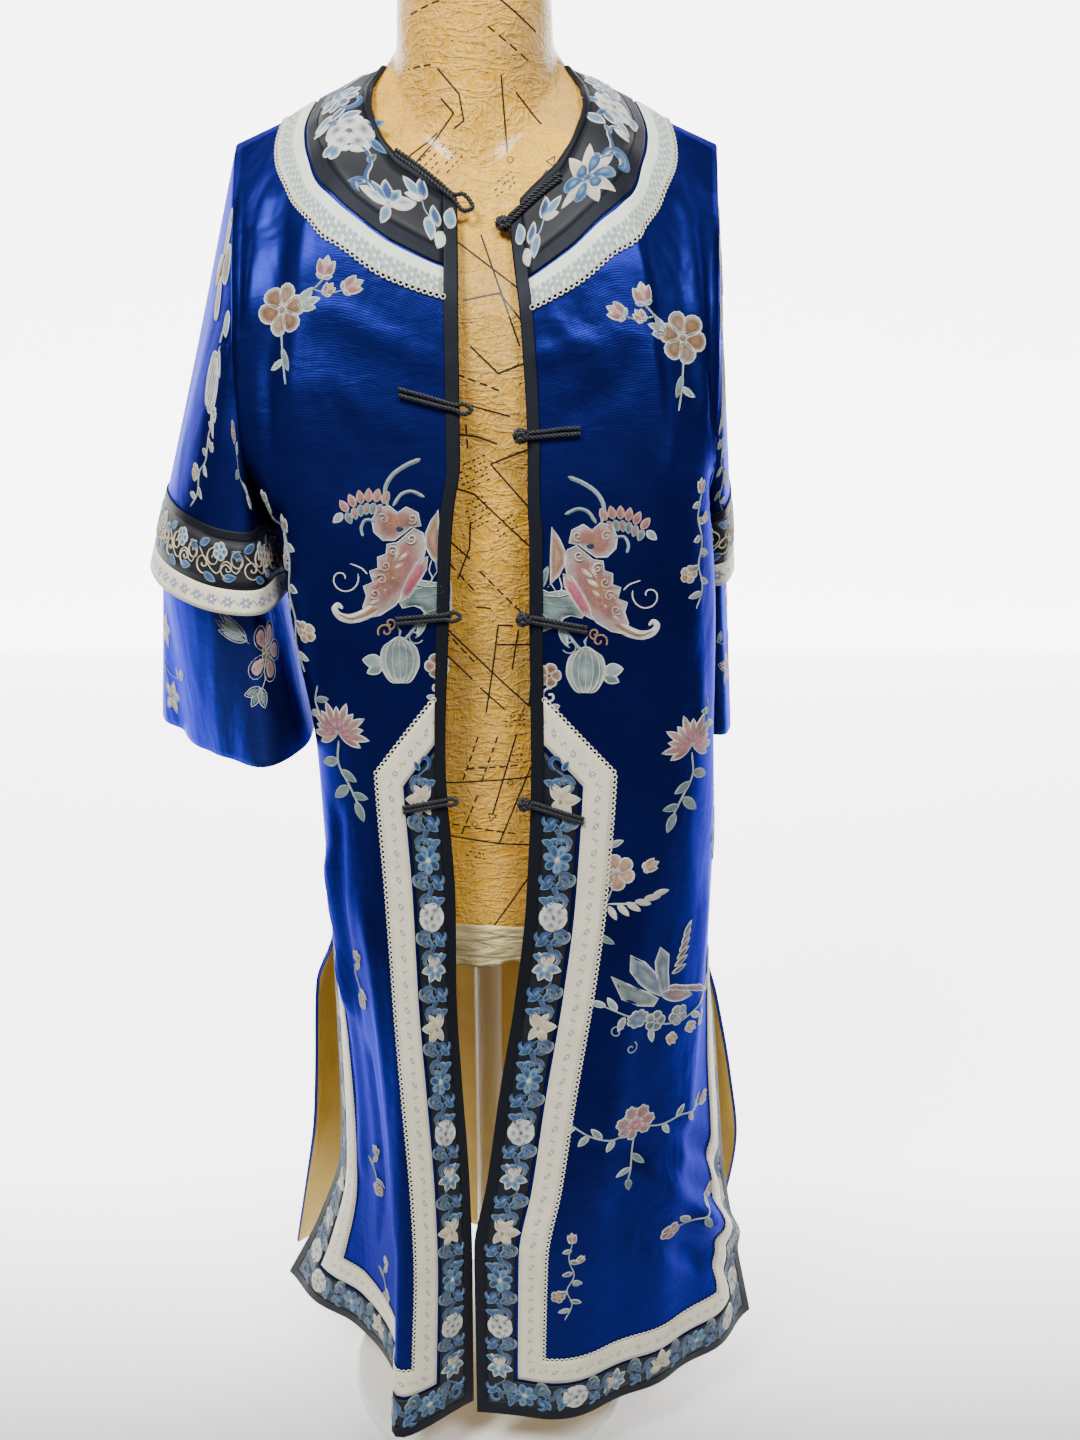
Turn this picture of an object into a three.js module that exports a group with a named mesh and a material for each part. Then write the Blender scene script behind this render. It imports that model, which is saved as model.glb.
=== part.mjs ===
// Centre-opening silk robe on a limbless dress form. Millimetres, +Z up, origin under the middle of the stand.
// The wearer's right is -X and the front faces -Y.
import * as THREE from 'three';

// ---- driving dimensions ----
const HEM_DOWN = 1105;          // cut length, shoulder ridge to hem
const HEM_HEIGHT = 65;          // hem above the ground
const WALL = 2;                 // cloth with its lining
const GAP = 0.3;                // between sewn pieces
const TRIM = 1.2;               // ribbons, bands and bindings
const SHOULDER = 177;           // half shoulder width, centre to sleeve seam
const NECK = { down: 15, radius: 76 };
const COLLAR = { down: 25, radius: 145 };
const COLLAR_WIDTHS = { piping: 4, band: 40, stripe: 10, blue: 3 };
const YOKE = { front: 205, back: 190 };
const UNDERARM_DOWN = 330;
const EDGING = { binding: 10, band: 28, blue: 4, ribbon: 24 };
const EDGING_TOP = 449;         // where the ribbon leaves the front edge
const VENT_TOP = 695;
const LINING_TOP = 600;
const PANEL_COLUMNS = 8;
const ARM_ROWS = 3;
const SKIRT_ROWS = 11;
const ARM_NODES = 6;            // along each side of the armhole
const SLEEVE = { binding: 7, band: 35, ribbon: 18, rows: 5, root: 80, under: 667 };
const LINING = 1;
const LEAST_FACING = 0.65;      // bends sharper than this are not fully mitred
const FORM = { seat: 1.3, ease: 7, neck: 56, neckTop: 1240, neckBase: 60 };
const STAND = { pole: 12.5, flange: 42, flangeThick: 6, base: 135, thick: 12 };
const CORD = 1.3;               // radius of the silk cord of the frogs

// ---- shape tables: one row for each level, plan points across a half panel ----
const PLAN = [
  'edgeX', 'edgeY', 'breastX', 'breastY', 'cornerX', 'cornerY', 'flankX', 'flankY', 'sideX', 'sideY',
];
const COLUMNS = ['down', 'z', 'midLift', 'sideLift', ...PLAN];
const named = (rows) => rows.map((row) => Object.fromEntries(COLUMNS.map((name, i) => [name, row[i]])));

const FRONT_RIGHT = named([
  [0, 1197, -43, -85, 0, 0, -44, 0, -88, 0, -132, 0, -177, 0],
  [45, 1128, 3, -50, -8, -46, -45, -44, -88, -38, -132, -33, -174, -30],
  [91, 1067, 30, -24, -11, -76, -50, -75, -90, -70, -132, -64, -172, -60],
  [130, 1033, 33, -23, -10, -98, -50, -97, -92, -92, -132, -85, -170, -80],
  [170, 998, 26, -24, -9, -115, -52, -115, -95, -108, -133, -100, -169, -92],
  [277, 893, 4, 0, -9, -124, -65, -126, -125, -119, -152, -108, -166, -98],
  [310, 860, 0, 0, -14, -125, -66, -127, -125, -119, -150, -98, -162, -52],
  [330, 840, 0, 0, -16, -125, -70, -127, -126, -117, -146, -82, -154, -8],
  [387, 783, 0, 0, -19, -125, -75, -126, -127, -115, -142, -76, -144, -8],
  [500, 670, 0, 0, -24, -125, -75, -127, -116, -108, -128, -70, -132, -5],
  [610, 560, 0, 0, -19, -124, -70, -128, -112, -104, -127, -60, -136, 4],
  [695, 475, 0, 0, -20, -123, -64, -131, -101, -98, -122, -55, -136, 4],
  [780, 390, 0, 0, -17, -122, -65, -135, -90, -97, -113, -52, -137, 8],
  [870, 300, 0, 0, -13, -121, -67, -139, -82, -96, -107, -50, -138, 12],
  [934, 236, 0, 0, -12, -120, -69, -142, -79, -96, -104, -50, -142, 16],
  [1020, 150, 0, 0, -13, -117, -72, -147, -79, -98, -103, -50, -168, 33],
  [HEM_DOWN, HEM_HEIGHT, 0, 0, -14, -113, -77, -152, -80, -100, -103, -52, -207, 49],
]);
const FRONT_LEFT = named([
  [0, 1197, -43, -85, 0, 0, 44, 0, 88, 0, 132, 0, 177, 0],
  [45, 1126, 5, -48, 16, -46, 48, -44, 89, -38, 132, -33, 175, -28],
  [91, 1057, 38, -14, 26, -76, 58, -75, 93, -70, 133, -64, 174, -55],
  [130, 1024, 40, -14, 30, -98, 62, -97, 96, -92, 134, -85, 173, -74],
  [170, 990, 32, -16, 34, -115, 68, -115, 102, -108, 138, -98, 173, -86],
  [277, 893, 4, 0, 39, -124, 95, -127, 145, -118, 162, -106, 173, -92],
  [310, 860, 0, 0, 39, -125, 97, -128, 149, -117, 169, -94, 168, -50],
  [330, 840, 0, 0, 40, -125, 98, -128, 152, -116, 173, -84, 161, -8],
  [387, 783, 0, 0, 40, -125, 100, -128, 157, -115, 178, -84, 157, -6],
  [500, 670, 0, 0, 41, -125, 100, -128, 163, -112, 182, -76, 161, 0],
  [610, 560, 0, 0, 37, -124, 95, -127, 159, -108, 187, -58, 190, 6],
  [695, 475, 0, 0, 28, -124, 90, -127, 155, -106, 187, -54, 190, 6],
  [780, 390, 0, 0, 15, -124, 82, -128, 150, -105, 187, -54, 203, 8],
  [870, 300, 0, 0, 3, -125, 72, -130, 145, -105, 189, -58, 212, 6],
  [934, 236, 0, 0, -8, -125, 62, -133, 140, -104, 190, -60, 218, 4],
  [1020, 150, 0, 0, -8, -125, 60, -132, 140, -98, 198, -55, 233, 0],
  [HEM_DOWN, HEM_HEIGHT, 0, 0, -8, -125, 60, -128, 138, -92, 205, -45, 251, -3],
]);
// the back halves run from the centre seam to the side
const BACK_LEFT = named([
  [0, 1197, -43, -85, 0, 0, 44, 0, 88, 0, 132, 0, 177, 0],
  [45, 1166, -24, -92, 0, 48, 45, 44, 88, 36, 132, 29, 175, 25],
  [91, 1129, -20, -96, 0, 76, 48, 72, 90, 64, 132, 52, 174, 42],
  [130, 1091, -16, -96, 0, 88, 50, 85, 92, 79, 133, 66, 173, 52],
  [170, 1051, -12, -95, 0, 94, 52, 92, 94, 87, 134, 75, 172, 60],
  [277, 893, 0, 0, 0, 98, 60, 97, 115, 92, 148, 80, 171, 64],
  [310, 860, 0, 0, 0, 98, 62, 97, 118, 92, 150, 74, 168, 38],
  [330, 840, 0, 0, 0, 98, 64, 98, 116, 94, 148, 64, 161, -8],
  [387, 783, 0, 0, 0, 97, 64, 98, 114, 94, 144, 64, 157, -6],
  [500, 670, 0, 0, 0, 98, 66, 101, 118, 97, 150, 68, 161, 0],
  [610, 560, 0, 0, 0, 102, 70, 106, 132, 102, 174, 70, 190, 6],
  [695, 475, 0, 0, 0, 105, 72, 111, 138, 105, 180, 74, 190, 6],
  [780, 390, 0, 0, 0, 108, 73, 115, 141, 109, 190, 78, 210, 26],
  [870, 300, 0, 0, 0, 111, 74, 119, 143, 112, 196, 84, 228, 34],
  [934, 236, 0, 0, 0, 112, 74, 121, 144, 114, 200, 86, 236, 32],
  [1020, 150, 0, 0, 0, 114, 74, 124, 145, 117, 198, 90, 228, 40],
  [HEM_DOWN, HEM_HEIGHT, 0, 0, 0, 115, 74, 126, 145, 119, 195, 94, 222, 50],
]);
const BACK_RIGHT = named([
  [0, 1197, -43, -85, 0, 0, -44, 0, -88, 0, -132, 0, -177, 0],
  [45, 1166, -24, -92, 0, 48, -45, 44, -88, 36, -132, 29, -174, 25],
  [91, 1129, -20, -96, 0, 76, -48, 72, -90, 64, -132, 52, -172, 42],
  [130, 1091, -16, -96, 0, 88, -50, 85, -92, 79, -133, 66, -170, 52],
  [170, 1051, -12, -95, 0, 94, -52, 92, -94, 87, -134, 75, -169, 60],
  [277, 893, 0, 0, 0, 98, -60, 97, -115, 92, -144, 80, -166, 64],
  [310, 860, 0, 0, 0, 98, -60, 97, -115, 92, -146, 74, -162, 38],
  [330, 840, 0, 0, 0, 98, -60, 97, -114, 93, -144, 62, -154, -8],
  [387, 783, 0, 0, 0, 97, -60, 98, -112, 94, -136, 60, -144, -8],
  [500, 670, 0, 0, 0, 98, -62, 101, -108, 95, -128, 60, -132, -5],
  [610, 560, 0, 0, 0, 102, -64, 106, -110, 100, -130, 66, -136, 4],
  [695, 475, 0, 0, 0, 105, -68, 111, -116, 106, -134, 72, -136, 4],
  [780, 390, 0, 0, 0, 108, -70, 115, -124, 112, -152, 90, -163, 50],
  [870, 300, 0, 0, 0, 111, -72, 119, -128, 116, -158, 98, -170, 58],
  [934, 236, 0, 0, 0, 112, -74, 121, -132, 118, -166, 100, -176, 66],
  [1020, 150, 0, 0, 0, 114, -74, 124, -138, 122, -174, 108, -192, 86],
  [HEM_DOWN, HEM_HEIGHT, 0, 0, 0, 115, -74, 126, -142, 126, -182, 116, -208, 92],
]);

// half width of the cut cloth at each level
const CUT = [
  { down: 0, wide: SHOULDER },
  { down: 277, wide: SHOULDER },
  { down: UNDERARM_DOWN, wide: 250 },
  { down: VENT_TOP, wide: 285 },
  { down: HEM_DOWN, wide: 345 },
];

// soft upright folds: place across at the top and at the hem, width as a share, height, level where they start
const FOLD_COLUMNS = ['table', 'from', 'to', 'share', 'height', 'start'];
const FOLDS = [
  [FRONT_LEFT, 0.34, 0.30, 0.20, 7, 560],
  [FRONT_LEFT, 0.62, 0.56, 0.20, 9, 480],
  [FRONT_LEFT, 0.80, 0.80, 0.18, 10, 700],
  [FRONT_RIGHT, 0.84, 0.84, 0.16, 8, 700],
  [BACK_LEFT, 0.24, 0.24, 0.22, 12, 430],
  [BACK_LEFT, 0.58, 0.56, 0.24, 14, 380],
  [BACK_LEFT, 0.82, 0.80, 0.16, 9, 700],
  [BACK_RIGHT, 0.26, 0.30, 0.24, 13, 400],
  [BACK_RIGHT, 0.66, 0.64, 0.24, 13, 470],
].map((row) => Object.fromEntries(FOLD_COLUMNS.map((name, i) => [name, row[i]])));

// ---- reading the tables ----
function bracket(table, down) {
  let i = 0;
  while (i < table.length - 2 && table[i + 1].down < down) i += 1;
  const span = table[i + 1].down - table[i].down;
  return [i, span, THREE.MathUtils.clamp((down - table[i].down) / span, 0, 1)];
}

function cutWidth(down) {
  const [i, , t] = bracket(CUT, down);
  return THREE.MathUtils.lerp(CUT[i].wide, CUT[i + 1].wide, t);
}

// smooth value of one column at a given level, with no overshoot
function level(table, column, down) {
  const [i, span, t] = bracket(table, down);
  const grade = (k) => (table[k + 1][column] - table[k][column]) / (table[k + 1].down - table[k].down);
  const slope = (k) => {
    if (k === 0) return grade(0);
    if (k === table.length - 1) return grade(k - 1);
    const [before, after] = [grade(k - 1), grade(k)];
    return before * after > 0 ? (2 * before * after) / (before + after) : 0;
  };
  const [t2, t3] = [t * t, t * t * t];
  return (2 * t3 - 3 * t2 + 1) * table[i][column] + (t3 - 2 * t2 + t) * span * slope(i)
    + (3 * t2 - 2 * t3) * table[i + 1][column] + (t3 - t2) * span * slope(i + 1);
}

const curves = new Map();
// the plan curve of a panel at one level, from the edge or centre to the side
function planCurve(table, down) {
  const key = `${[FRONT_RIGHT, FRONT_LEFT, BACK_LEFT, BACK_RIGHT].indexOf(table)}/${down.toFixed(4)}`;
  if (!curves.has(key)) {
    const z = level(table, 'z', down);
    const mid = level(table, 'midLift', down);
    const side = level(table, 'sideLift', down);
    const lifts = [0, mid * 0.6, mid, (mid + side) / 2, side];
    const points = lifts.map((lift, i) => new THREE.Vector3(
      level(table, PLAN[2 * i], down), level(table, PLAN[2 * i + 1], down), z + lift));
    const curve = new THREE.CatmullRomCurve3(points, false, 'centripetal');
    curve.arcLengthDivisions = 80;
    curves.set(key, curve);
  }
  return curves.get(key);
}

const bump = (distance) => (Math.abs(distance) < 1 ? (1 + Math.cos(Math.PI * distance)) / 2 : 0);

// a point of the cloth's mid surface from its place in the flat cut
function clothPoint(table, across, down) {
  const share = THREE.MathUtils.clamp(across / cutWidth(down), 0, 1);
  const curve = planCurve(table, down);
  const point = curve.getPointAt(share);
  const tangent = curve.getTangentAt(share);
  const front = table === FRONT_LEFT || table === FRONT_RIGHT;
  const turn = (table === FRONT_LEFT || table === BACK_RIGHT) ? 1 : -1;
  const outward = new THREE.Vector3(tangent.y, -tangent.x, 0).normalize().multiplyScalar(turn);
  for (const fold of FOLDS.filter((entry) => entry.table === table && down > entry.start)) {
    const grown = (down - fold.start) / (HEM_DOWN - fold.start);
    const centre = THREE.MathUtils.lerp(fold.from, fold.to, grown);
    const ease = Math.sin((Math.PI / 2) * grown);
    point.addScaledVector(outward, fold.height * ease * bump((share - centre) / fold.share));
  }
  return { across, down: front ? down : -down, point };
}

// ---- surfaces: vertices that know their place in the cut, and triangles ----
class Surface {
  constructor() {
    this.vertices = [];
    this.triangles = [];
    this.index = new Map();
  }

  add(vertex) {
    const key = `${vertex.across.toFixed(4)}/${vertex.down.toFixed(4)}`;
    if (!this.index.has(key)) {
      this.index.set(key, this.vertices.length);
      this.vertices.push(vertex);
    }
    return this.index.get(key);
  }

  triangle(a, b, c) {
    if (a !== b && b !== c && c !== a) this.triangles.push([a, b, c]);
  }

  // rows of equally many vertices become a skin; closed rows join end to end
  grid(rows, closed = false) {
    const ids = rows.map((row) => row.map((vertex) => this.add(vertex)));
    for (let j = 0; j + 1 < ids.length; j += 1) {
      const count = ids[j].length;
      for (let i = 0; i < (closed ? count : count - 1); i += 1) {
        const next = (i + 1) % count;
        this.triangle(ids[j][i], ids[j][next], ids[j + 1][next]);
        this.triangle(ids[j][i], ids[j + 1][next], ids[j + 1][i]);
      }
    }
    return this;
  }

  flip() {
    this.triangles = this.triangles.map(([a, b, c]) => [a, c, b]);
    return this;
  }

  // outward directions, averaged at each vertex and lengthened at bends so that walls keep their thickness
  directions() {
    for (const vertex of this.vertices) Object.assign(vertex, { normal: new THREE.Vector3(), faces: [] });
    for (const corners of this.triangles) {
      const [a, b, c] = corners.map((id) => this.vertices[id]);
      const face = b.point.clone().sub(a.point).cross(c.point.clone().sub(a.point));
      for (const vertex of [a, b, c]) {
        vertex.normal.add(face);
        vertex.faces.push(face.clone().normalize());
      }
    }
    for (const vertex of this.vertices) {
      vertex.normal.normalize();
      const facing = vertex.faces.reduce((sum, face) => sum + face.dot(vertex.normal), 0) / vertex.faces.length;
      vertex.normal.divideScalar(Math.max(facing, LEAST_FACING));
      delete vertex.faces;
    }
    return this;
  }

  // the part of the skin inside a convex outline: lines [a, b, c] keep a*across + b*down + c >= 0
  inside(lines) {
    const cut = new Surface();
    for (const corners of this.triangles) {
      let outline = corners.map((id) => this.vertices[id]);
      for (const line of lines) outline = clipOutline(outline, line);
      if (outline.length >= 3) {
        const ids = outline.map((vertex) => cut.add(vertex));
        for (let i = 1; i + 1 < ids.length; i += 1) cut.triangle(ids[0], ids[i], ids[i + 1]);
      }
    }
    return cut;
  }

  // another skin is taken in; side -1 is the wearer's right half, whose across counts the other way
  join(other, side = 1) {
    for (const corners of other.triangles) {
      const [a, b, c] = corners.map((id) => {
        const vertex = other.vertices[id];
        return this.add({ ...vertex, across: side * vertex.across || 0 });
      });
      this.triangle(a, b, c);
    }
    return this;
  }

  // border edges, each with the skin on its left
  borders() {
    const open = new Map();
    for (const [a, b, c] of this.triangles) {
      for (const [from, to] of [[a, b], [b, c], [c, a]]) {
        if (!open.delete(`${to}/${from}`)) open.set(`${from}/${to}`, [from, to]);
      }
    }
    return [...open.values()];
  }

  // a closed wall between two heights over the skin, drawn in from its border by half a seam gap
  wall(low, high, inset = GAP / 2) {
    const borders = this.borders();
    const inward = this.vertices.map(() => new THREE.Vector3());
    for (const [from, to] of borders) {
      const along = this.vertices[to].point.clone().sub(this.vertices[from].point).normalize();
      for (const id of [from, to]) {
        inward[id].add(this.vertices[id].normal.clone().cross(along).normalize());
      }
    }
    const position = [];
    for (const height of [high, low]) {
      this.vertices.forEach(({ point, normal }, id) => {
        const length = inward[id].length();
        const moved = point.clone().addScaledVector(normal, height);
        if (length > 0.2) moved.addScaledVector(inward[id], (2 * inset) / (length * length));
        position.push(...moved.toArray());
      });
    }
    const count = this.vertices.length;
    const faces = [];
    for (const [a, b, c] of this.triangles) faces.push(a, b, c, a + count, c + count, b + count);
    for (const [from, to] of borders) {
      faces.push(from, from + count, to + count, from, to + count, to);
    }
    const geometry = new THREE.BufferGeometry();
    geometry.setAttribute('position', new THREE.Float32BufferAttribute(position, 3));
    geometry.setIndex(faces);
    return geometry;
  }
}

// skins that meet at a seam take one common direction there
function shareDirections(skins) {
  const sums = new Map();
  const key = ({ point }) => point.toArray().map((value) => Math.round(value * 100) + 0).join('/');
  for (const skin of skins) {
    for (const vertex of skin.vertices) {
      if (!sums.has(key(vertex))) sums.set(key(vertex), []);
      sums.get(key(vertex)).push(vertex.normal);
    }
  }
  for (const skin of skins) {
    for (const vertex of skin.vertices) {
      const own = sums.get(key(vertex));
      const length = own.reduce((sum, normal) => sum + normal.length(), 0) / own.length;
      const common = own.reduce((sum, normal) => sum.add(normal), new THREE.Vector3());
      vertex.shared = common.setLength(length);
    }
  }
  for (const skin of skins) {
    for (const vertex of skin.vertices) vertex.normal = vertex.shared;
  }
}

function clipOutline(outline, [a, b, c]) {
  const side = (vertex) => a * vertex.across + b * vertex.down + c;
  const kept = [];
  outline.forEach((vertex, i) => {
    const next = outline[(i + 1) % outline.length];
    const here = side(vertex);
    const there = side(next);
    if (here >= 0) kept.push(vertex);
    if ((here > 0 && there < 0) || (here < 0 && there > 0)) {
      const ordered = vertex.across < next.across
        || (vertex.across === next.across && vertex.down < next.down);
      const [first, second] = ordered ? [vertex, next] : [next, vertex];
      kept.push(between(first, second, side(first) / (side(first) - side(second))));
    }
  });
  return kept;
}

function between(first, second, t) {
  return {
    across: THREE.MathUtils.lerp(first.across, second.across, t),
    down: THREE.MathUtils.lerp(first.down, second.down, t),
    point: first.point.clone().lerp(second.point, t),
    normal: first.normal.clone().lerp(second.normal, t),
  };
}

// ---- the body: skirt rows below a yoke whose rays leave the neck ----
const steps = (count) => Array.from({ length: count + 1 }, (_, i) => i / count);
const spread = (from, to, count) => steps(count).map((t) => THREE.MathUtils.lerp(from, to, t));

function skirtRows(table, top) {
  const skirt = spread(UNDERARM_DOWN, HEM_DOWN, SKIRT_ROWS);
  const downs = [...spread(top, UNDERARM_DOWN, ARM_ROWS), ...skirt.slice(1)];
  return downs.map((down) => steps(PANEL_COLUMNS).map((t) => clothPoint(table, t * cutWidth(down), down)));
}

// distance along a yoke ray where it leaves the collar's outer circle
function collarReach(cosine) {
  const shift = COLLAR.down - NECK.down;
  const along = cosine * shift;
  return along + Math.sqrt(along * along + COLLAR.radius ** 2 - shift ** 2);
}

function yokeRays(front, back) {
  const ends = spread(0, SHOULDER, PANEL_COLUMNS).map((across) => [across, YOKE.front]);
  for (const down of spread(YOKE.front, 0, ARM_NODES).slice(1)) ends.push([SHOULDER, down]);
  for (const down of spread(0, -YOKE.back, ARM_NODES).slice(1)) ends.push([SHOULDER, down]);
  for (const across of spread(SHOULDER, 0, PANEL_COLUMNS).slice(1)) ends.push([across, -YOKE.back]);
  const { piping, band, stripe, blue } = COLLAR_WIDTHS;
  const full = COLLAR.radius - NECK.radius;
  const marks = [0, piping, piping + band, piping + band + stripe, piping + band + stripe + blue, full];
  return ends.map(([across, down]) => {
    const far = Math.hypot(across, down - NECK.down);
    const reach = collarReach((down - NECK.down) / far);
    const radii = marks.map((mark) => NECK.radius + (mark / full) * (reach - NECK.radius));
    return [...radii, far].map((radius) => {
      const place = NECK.down + ((down - NECK.down) * radius) / far;
      const side = place >= -1e-9 ? front : back;
      return clothPoint(side, (across * radius) / far, Math.abs(place) < 1e-9 ? 0 : Math.abs(place));
    });
  });
}

function bodyHalf(front, back) {
  const rays = yokeRays(front, back);
  const rings = rays[0].map((_, ring) => rays.map((ray) => ray[ring]));
  const skin = new Surface().grid(rings).grid(skirtRows(front, YOKE.front));
  skin.grid(skirtRows(back, YOKE.back).map((row) => row.reverse()));
  const turned = front === FRONT_LEFT;
  if (turned) skin.flip();
  skin.directions();
  const strips = (first, last) => {
    const part = new Surface();
    part.vertices = skin.vertices;
    part.index = skin.index;
    part.grid(rings.slice(first, last + 1));
    return turned ? part.flip() : part;
  };
  return { skin, strips, rings, front, back };
}

const right = bodyHalf(FRONT_RIGHT, BACK_RIGHT);
const left = bodyHalf(FRONT_LEFT, BACK_LEFT);

// ---- strips of the edging, from linear measures in the cut ----
const VENT_SLANT = (CUT[4].wide - CUT[3].wide) / (HEM_DOWN - VENT_TOP);
const minus = (form, other) => form.map((value, i) => value - other[i]);
const atLeast = (form, width) => [form[0], form[1], form[2] - width];
const atMost = (form, width) => [-form[0], -form[1], width - form[2]];

function measures(sign) {
  const slope = Math.hypot(1, VENT_SLANT);
  const top = Math.SQRT1_2;
  return {
    edge: [1, 0, 0],
    hem: [0, -sign, HEM_DOWN],
    vent: [-1, VENT_SLANT * sign, CUT[3].wide - VENT_SLANT * VENT_TOP].map((value) => value / slope),
    slant: [-top, top, (EDGING.binding - EDGING_TOP) * top],
    below: [0, sign, -VENT_TOP],
    own: [0, sign, 0],
  };
}

// the strip between two distances from the border of a panel, mitred at its corners
function edgingStrip(half, sign, near, far) {
  const { edge, hem, vent, slant, below, own } = measures(sign);
  const strip = new Surface();
  const add = (...lines) => strip.join(half.skin.inside([own, ...lines]));
  if (sign > 0 && near === 0) {
    add(atMost(edge, far), minus(hem, edge));
  } else if (sign > 0) {
    const total = EDGING.binding + EDGING.band + EDGING.blue + EDGING.ribbon;
    const inner = atMost(edge, total);
    const ribbon = far === total;
    const turned = ribbon ? minus(slant, inner) : atLeast(slant, total - EDGING.binding - EDGING.band);
    add(atLeast(edge, near), atMost(edge, far), minus(hem, edge), turned);
    if (ribbon) add(slant, atMost(slant, far - near), minus(inner, slant), atLeast(edge, EDGING.binding));
  }
  add(atLeast(hem, near), atMost(hem, far), sign > 0 ? minus(edge, hem) : edge, minus(vent, hem));
  add(atLeast(vent, near), atMost(vent, far), minus(hem, vent), below);
  return strip;
}

const onTop = (skin, thick = TRIM, gap = GAP) => skin.wall(WALL / 2 + gap, WALL / 2 + gap + thick);
const bothHalves = (make) => new Surface().join(make(right), -1).join(make(left));

// a ring of the collar, cut back to the front binding
function collarRing(first, last) {
  return bothHalves((half) => {
    const ring = half.strips(first, last);
    const front = ring.inside([atLeast([1, 0, 0], EDGING.binding), [0, 1, 0]]);
    return front.join(ring.inside([[0, -1, 0]]));
  });
}

const backStrip = (near, far) => bothHalves((half) => edgingStrip(half, -1, near, far));

function backLining() {
  return bothHalves((half) => {
    const { hem, vent } = measures(-1);
    return half.skin.inside([[0, -1, -LINING_TOP], atLeast(hem, 3), atLeast(vent, 3)]);
  });
}

// ---- sleeves: tubes from the armhole to a level ring ----
const point3 = ([x, y, z]) => new THREE.Vector3(x, y, z);
const SLEEVE_ENDS = {
  right: {
    upper: [[-262, 0, 808], [-248, -60, 803], [-225, -98, 795], [-190, -120, 786], [-160, -120, 783],
      [-152, -60, 786], [-154, 0, 790], [-158, 50, 794], [-176, 92, 800], [-215, 104, 804], [-250, 70, 808]],
    lower: [[-280, 40], [-262, -12], [-226, -58], [-192, -102], [-160, -121], [-140, -74],
      [-143, 0], [-149, 52], [-176, 100], [-225, 112], [-268, 88]],
  },
  left: {
    upper: [[206, 45, 808], [203, 5, 804], [198, -26, 798], [189, -44, 792], [178, -36, 789],
      [171, 0, 790], [168, 60, 792], [162, 108, 796], [176, 148, 800], [200, 144, 804], [209, 98, 808]],
    lower: [[212, 50], [208, 8], [203, -22], [195, -40], [184, -34],
      [176, 5], [171, 64], [164, 116], [178, 158], [205, 152], [216, 104]],
  },
};

// the sleeve's seam steps off the body where both hang down from the underarm
const UNDERARM_STEP = { from: 172, to: 190, width: 4.5 };
const TIER_DRAWN = [0.02, 0.05, 0.07];  // the lower tier's top rings, drawn towards their middle

function armhole({ front, back }) {
  const seam = (table, down) => {
    const { point } = clothPoint(table, cutWidth(down), down);
    const away = THREE.MathUtils.smoothstep(down, UNDERARM_STEP.from, UNDERARM_STEP.to);
    point.x += Math.sign(point.x) * UNDERARM_STEP.width * away;
    return point;
  };
  const chest = spread(0, YOKE.front, ARM_NODES);
  const forward = [...chest, ...spread(YOKE.front, UNDERARM_DOWN, ARM_ROWS).slice(1)];
  const shoulder = spread(YOKE.back, 0, ARM_NODES);
  const upward = [...spread(UNDERARM_DOWN, YOKE.back, ARM_ROWS), ...shoulder.slice(1)];
  return [
    ...forward.map((down) => seam(front, down)),
    ...upward.slice(1, -1).map((down) => seam(back, down)),
  ];
}

// shares of the way round a closed loop at each of its points
function shares(loop) {
  const sides = loop.map((point, i) => point.distanceTo(loop[(i + 1) % loop.length]));
  const total = sides.reduce((sum, side) => sum + side, 0);
  let gone = 0;
  return sides.map((side) => {
    const here = gone / total;
    gone += side;
    return here;
  });
}

function ringAt(points, places) {
  const curve = new THREE.CatmullRomCurve3(points.map(point3), true, 'centripetal');
  return places.map((share) => curve.getPointAt(share));
}

const ringRow = (points, down) => points.map((point, across) => ({ across, down, point }));

function sleeve(half, name) {
  const root = armhole(half);
  const places = shares(root);
  const end = ringAt(SLEEVE_ENDS[name].upper, places);
  const trims = [SLEEVE.ribbon + SLEEVE.band + SLEEVE.binding, SLEEVE.ribbon + SLEEVE.band, SLEEVE.ribbon, 0];
  const rise = (k, height) => {
    const length = root[k].distanceTo(end[k]);
    return end[k].clone().lerp(root[k], Math.min(height / length, (0.9 * height) / SLEEVE.root));
  };
  const start = root.map((_, k) => rise(k, SLEEVE.root));
  const rows = spread(0, 1, SLEEVE.rows).map(
    (t, j) => ringRow(root.map((from, k) => from.clone().lerp(start[k], t)), j));
  trims.forEach((height, j) => rows.push(ringRow(root.map((_, k) => rise(k, height)), SLEEVE.rows + 1 + j)));
  const turned = name === 'right';
  const skinOf = (some) => {
    const skin = new Surface().grid(some, true);
    return turned ? skin.flip() : skin;
  };
  const skin = skinOf(rows).directions();
  const part = (first, last) => {
    const some = skinOf(rows.slice(first, last + 1));
    some.vertices = some.vertices.map((vertex) => skin.vertices[skin.add(vertex)]);
    return some;
  };
  const first = SLEEVE.rows;
  return { skin, part, rows, first, places, skinOf };
}

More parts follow.
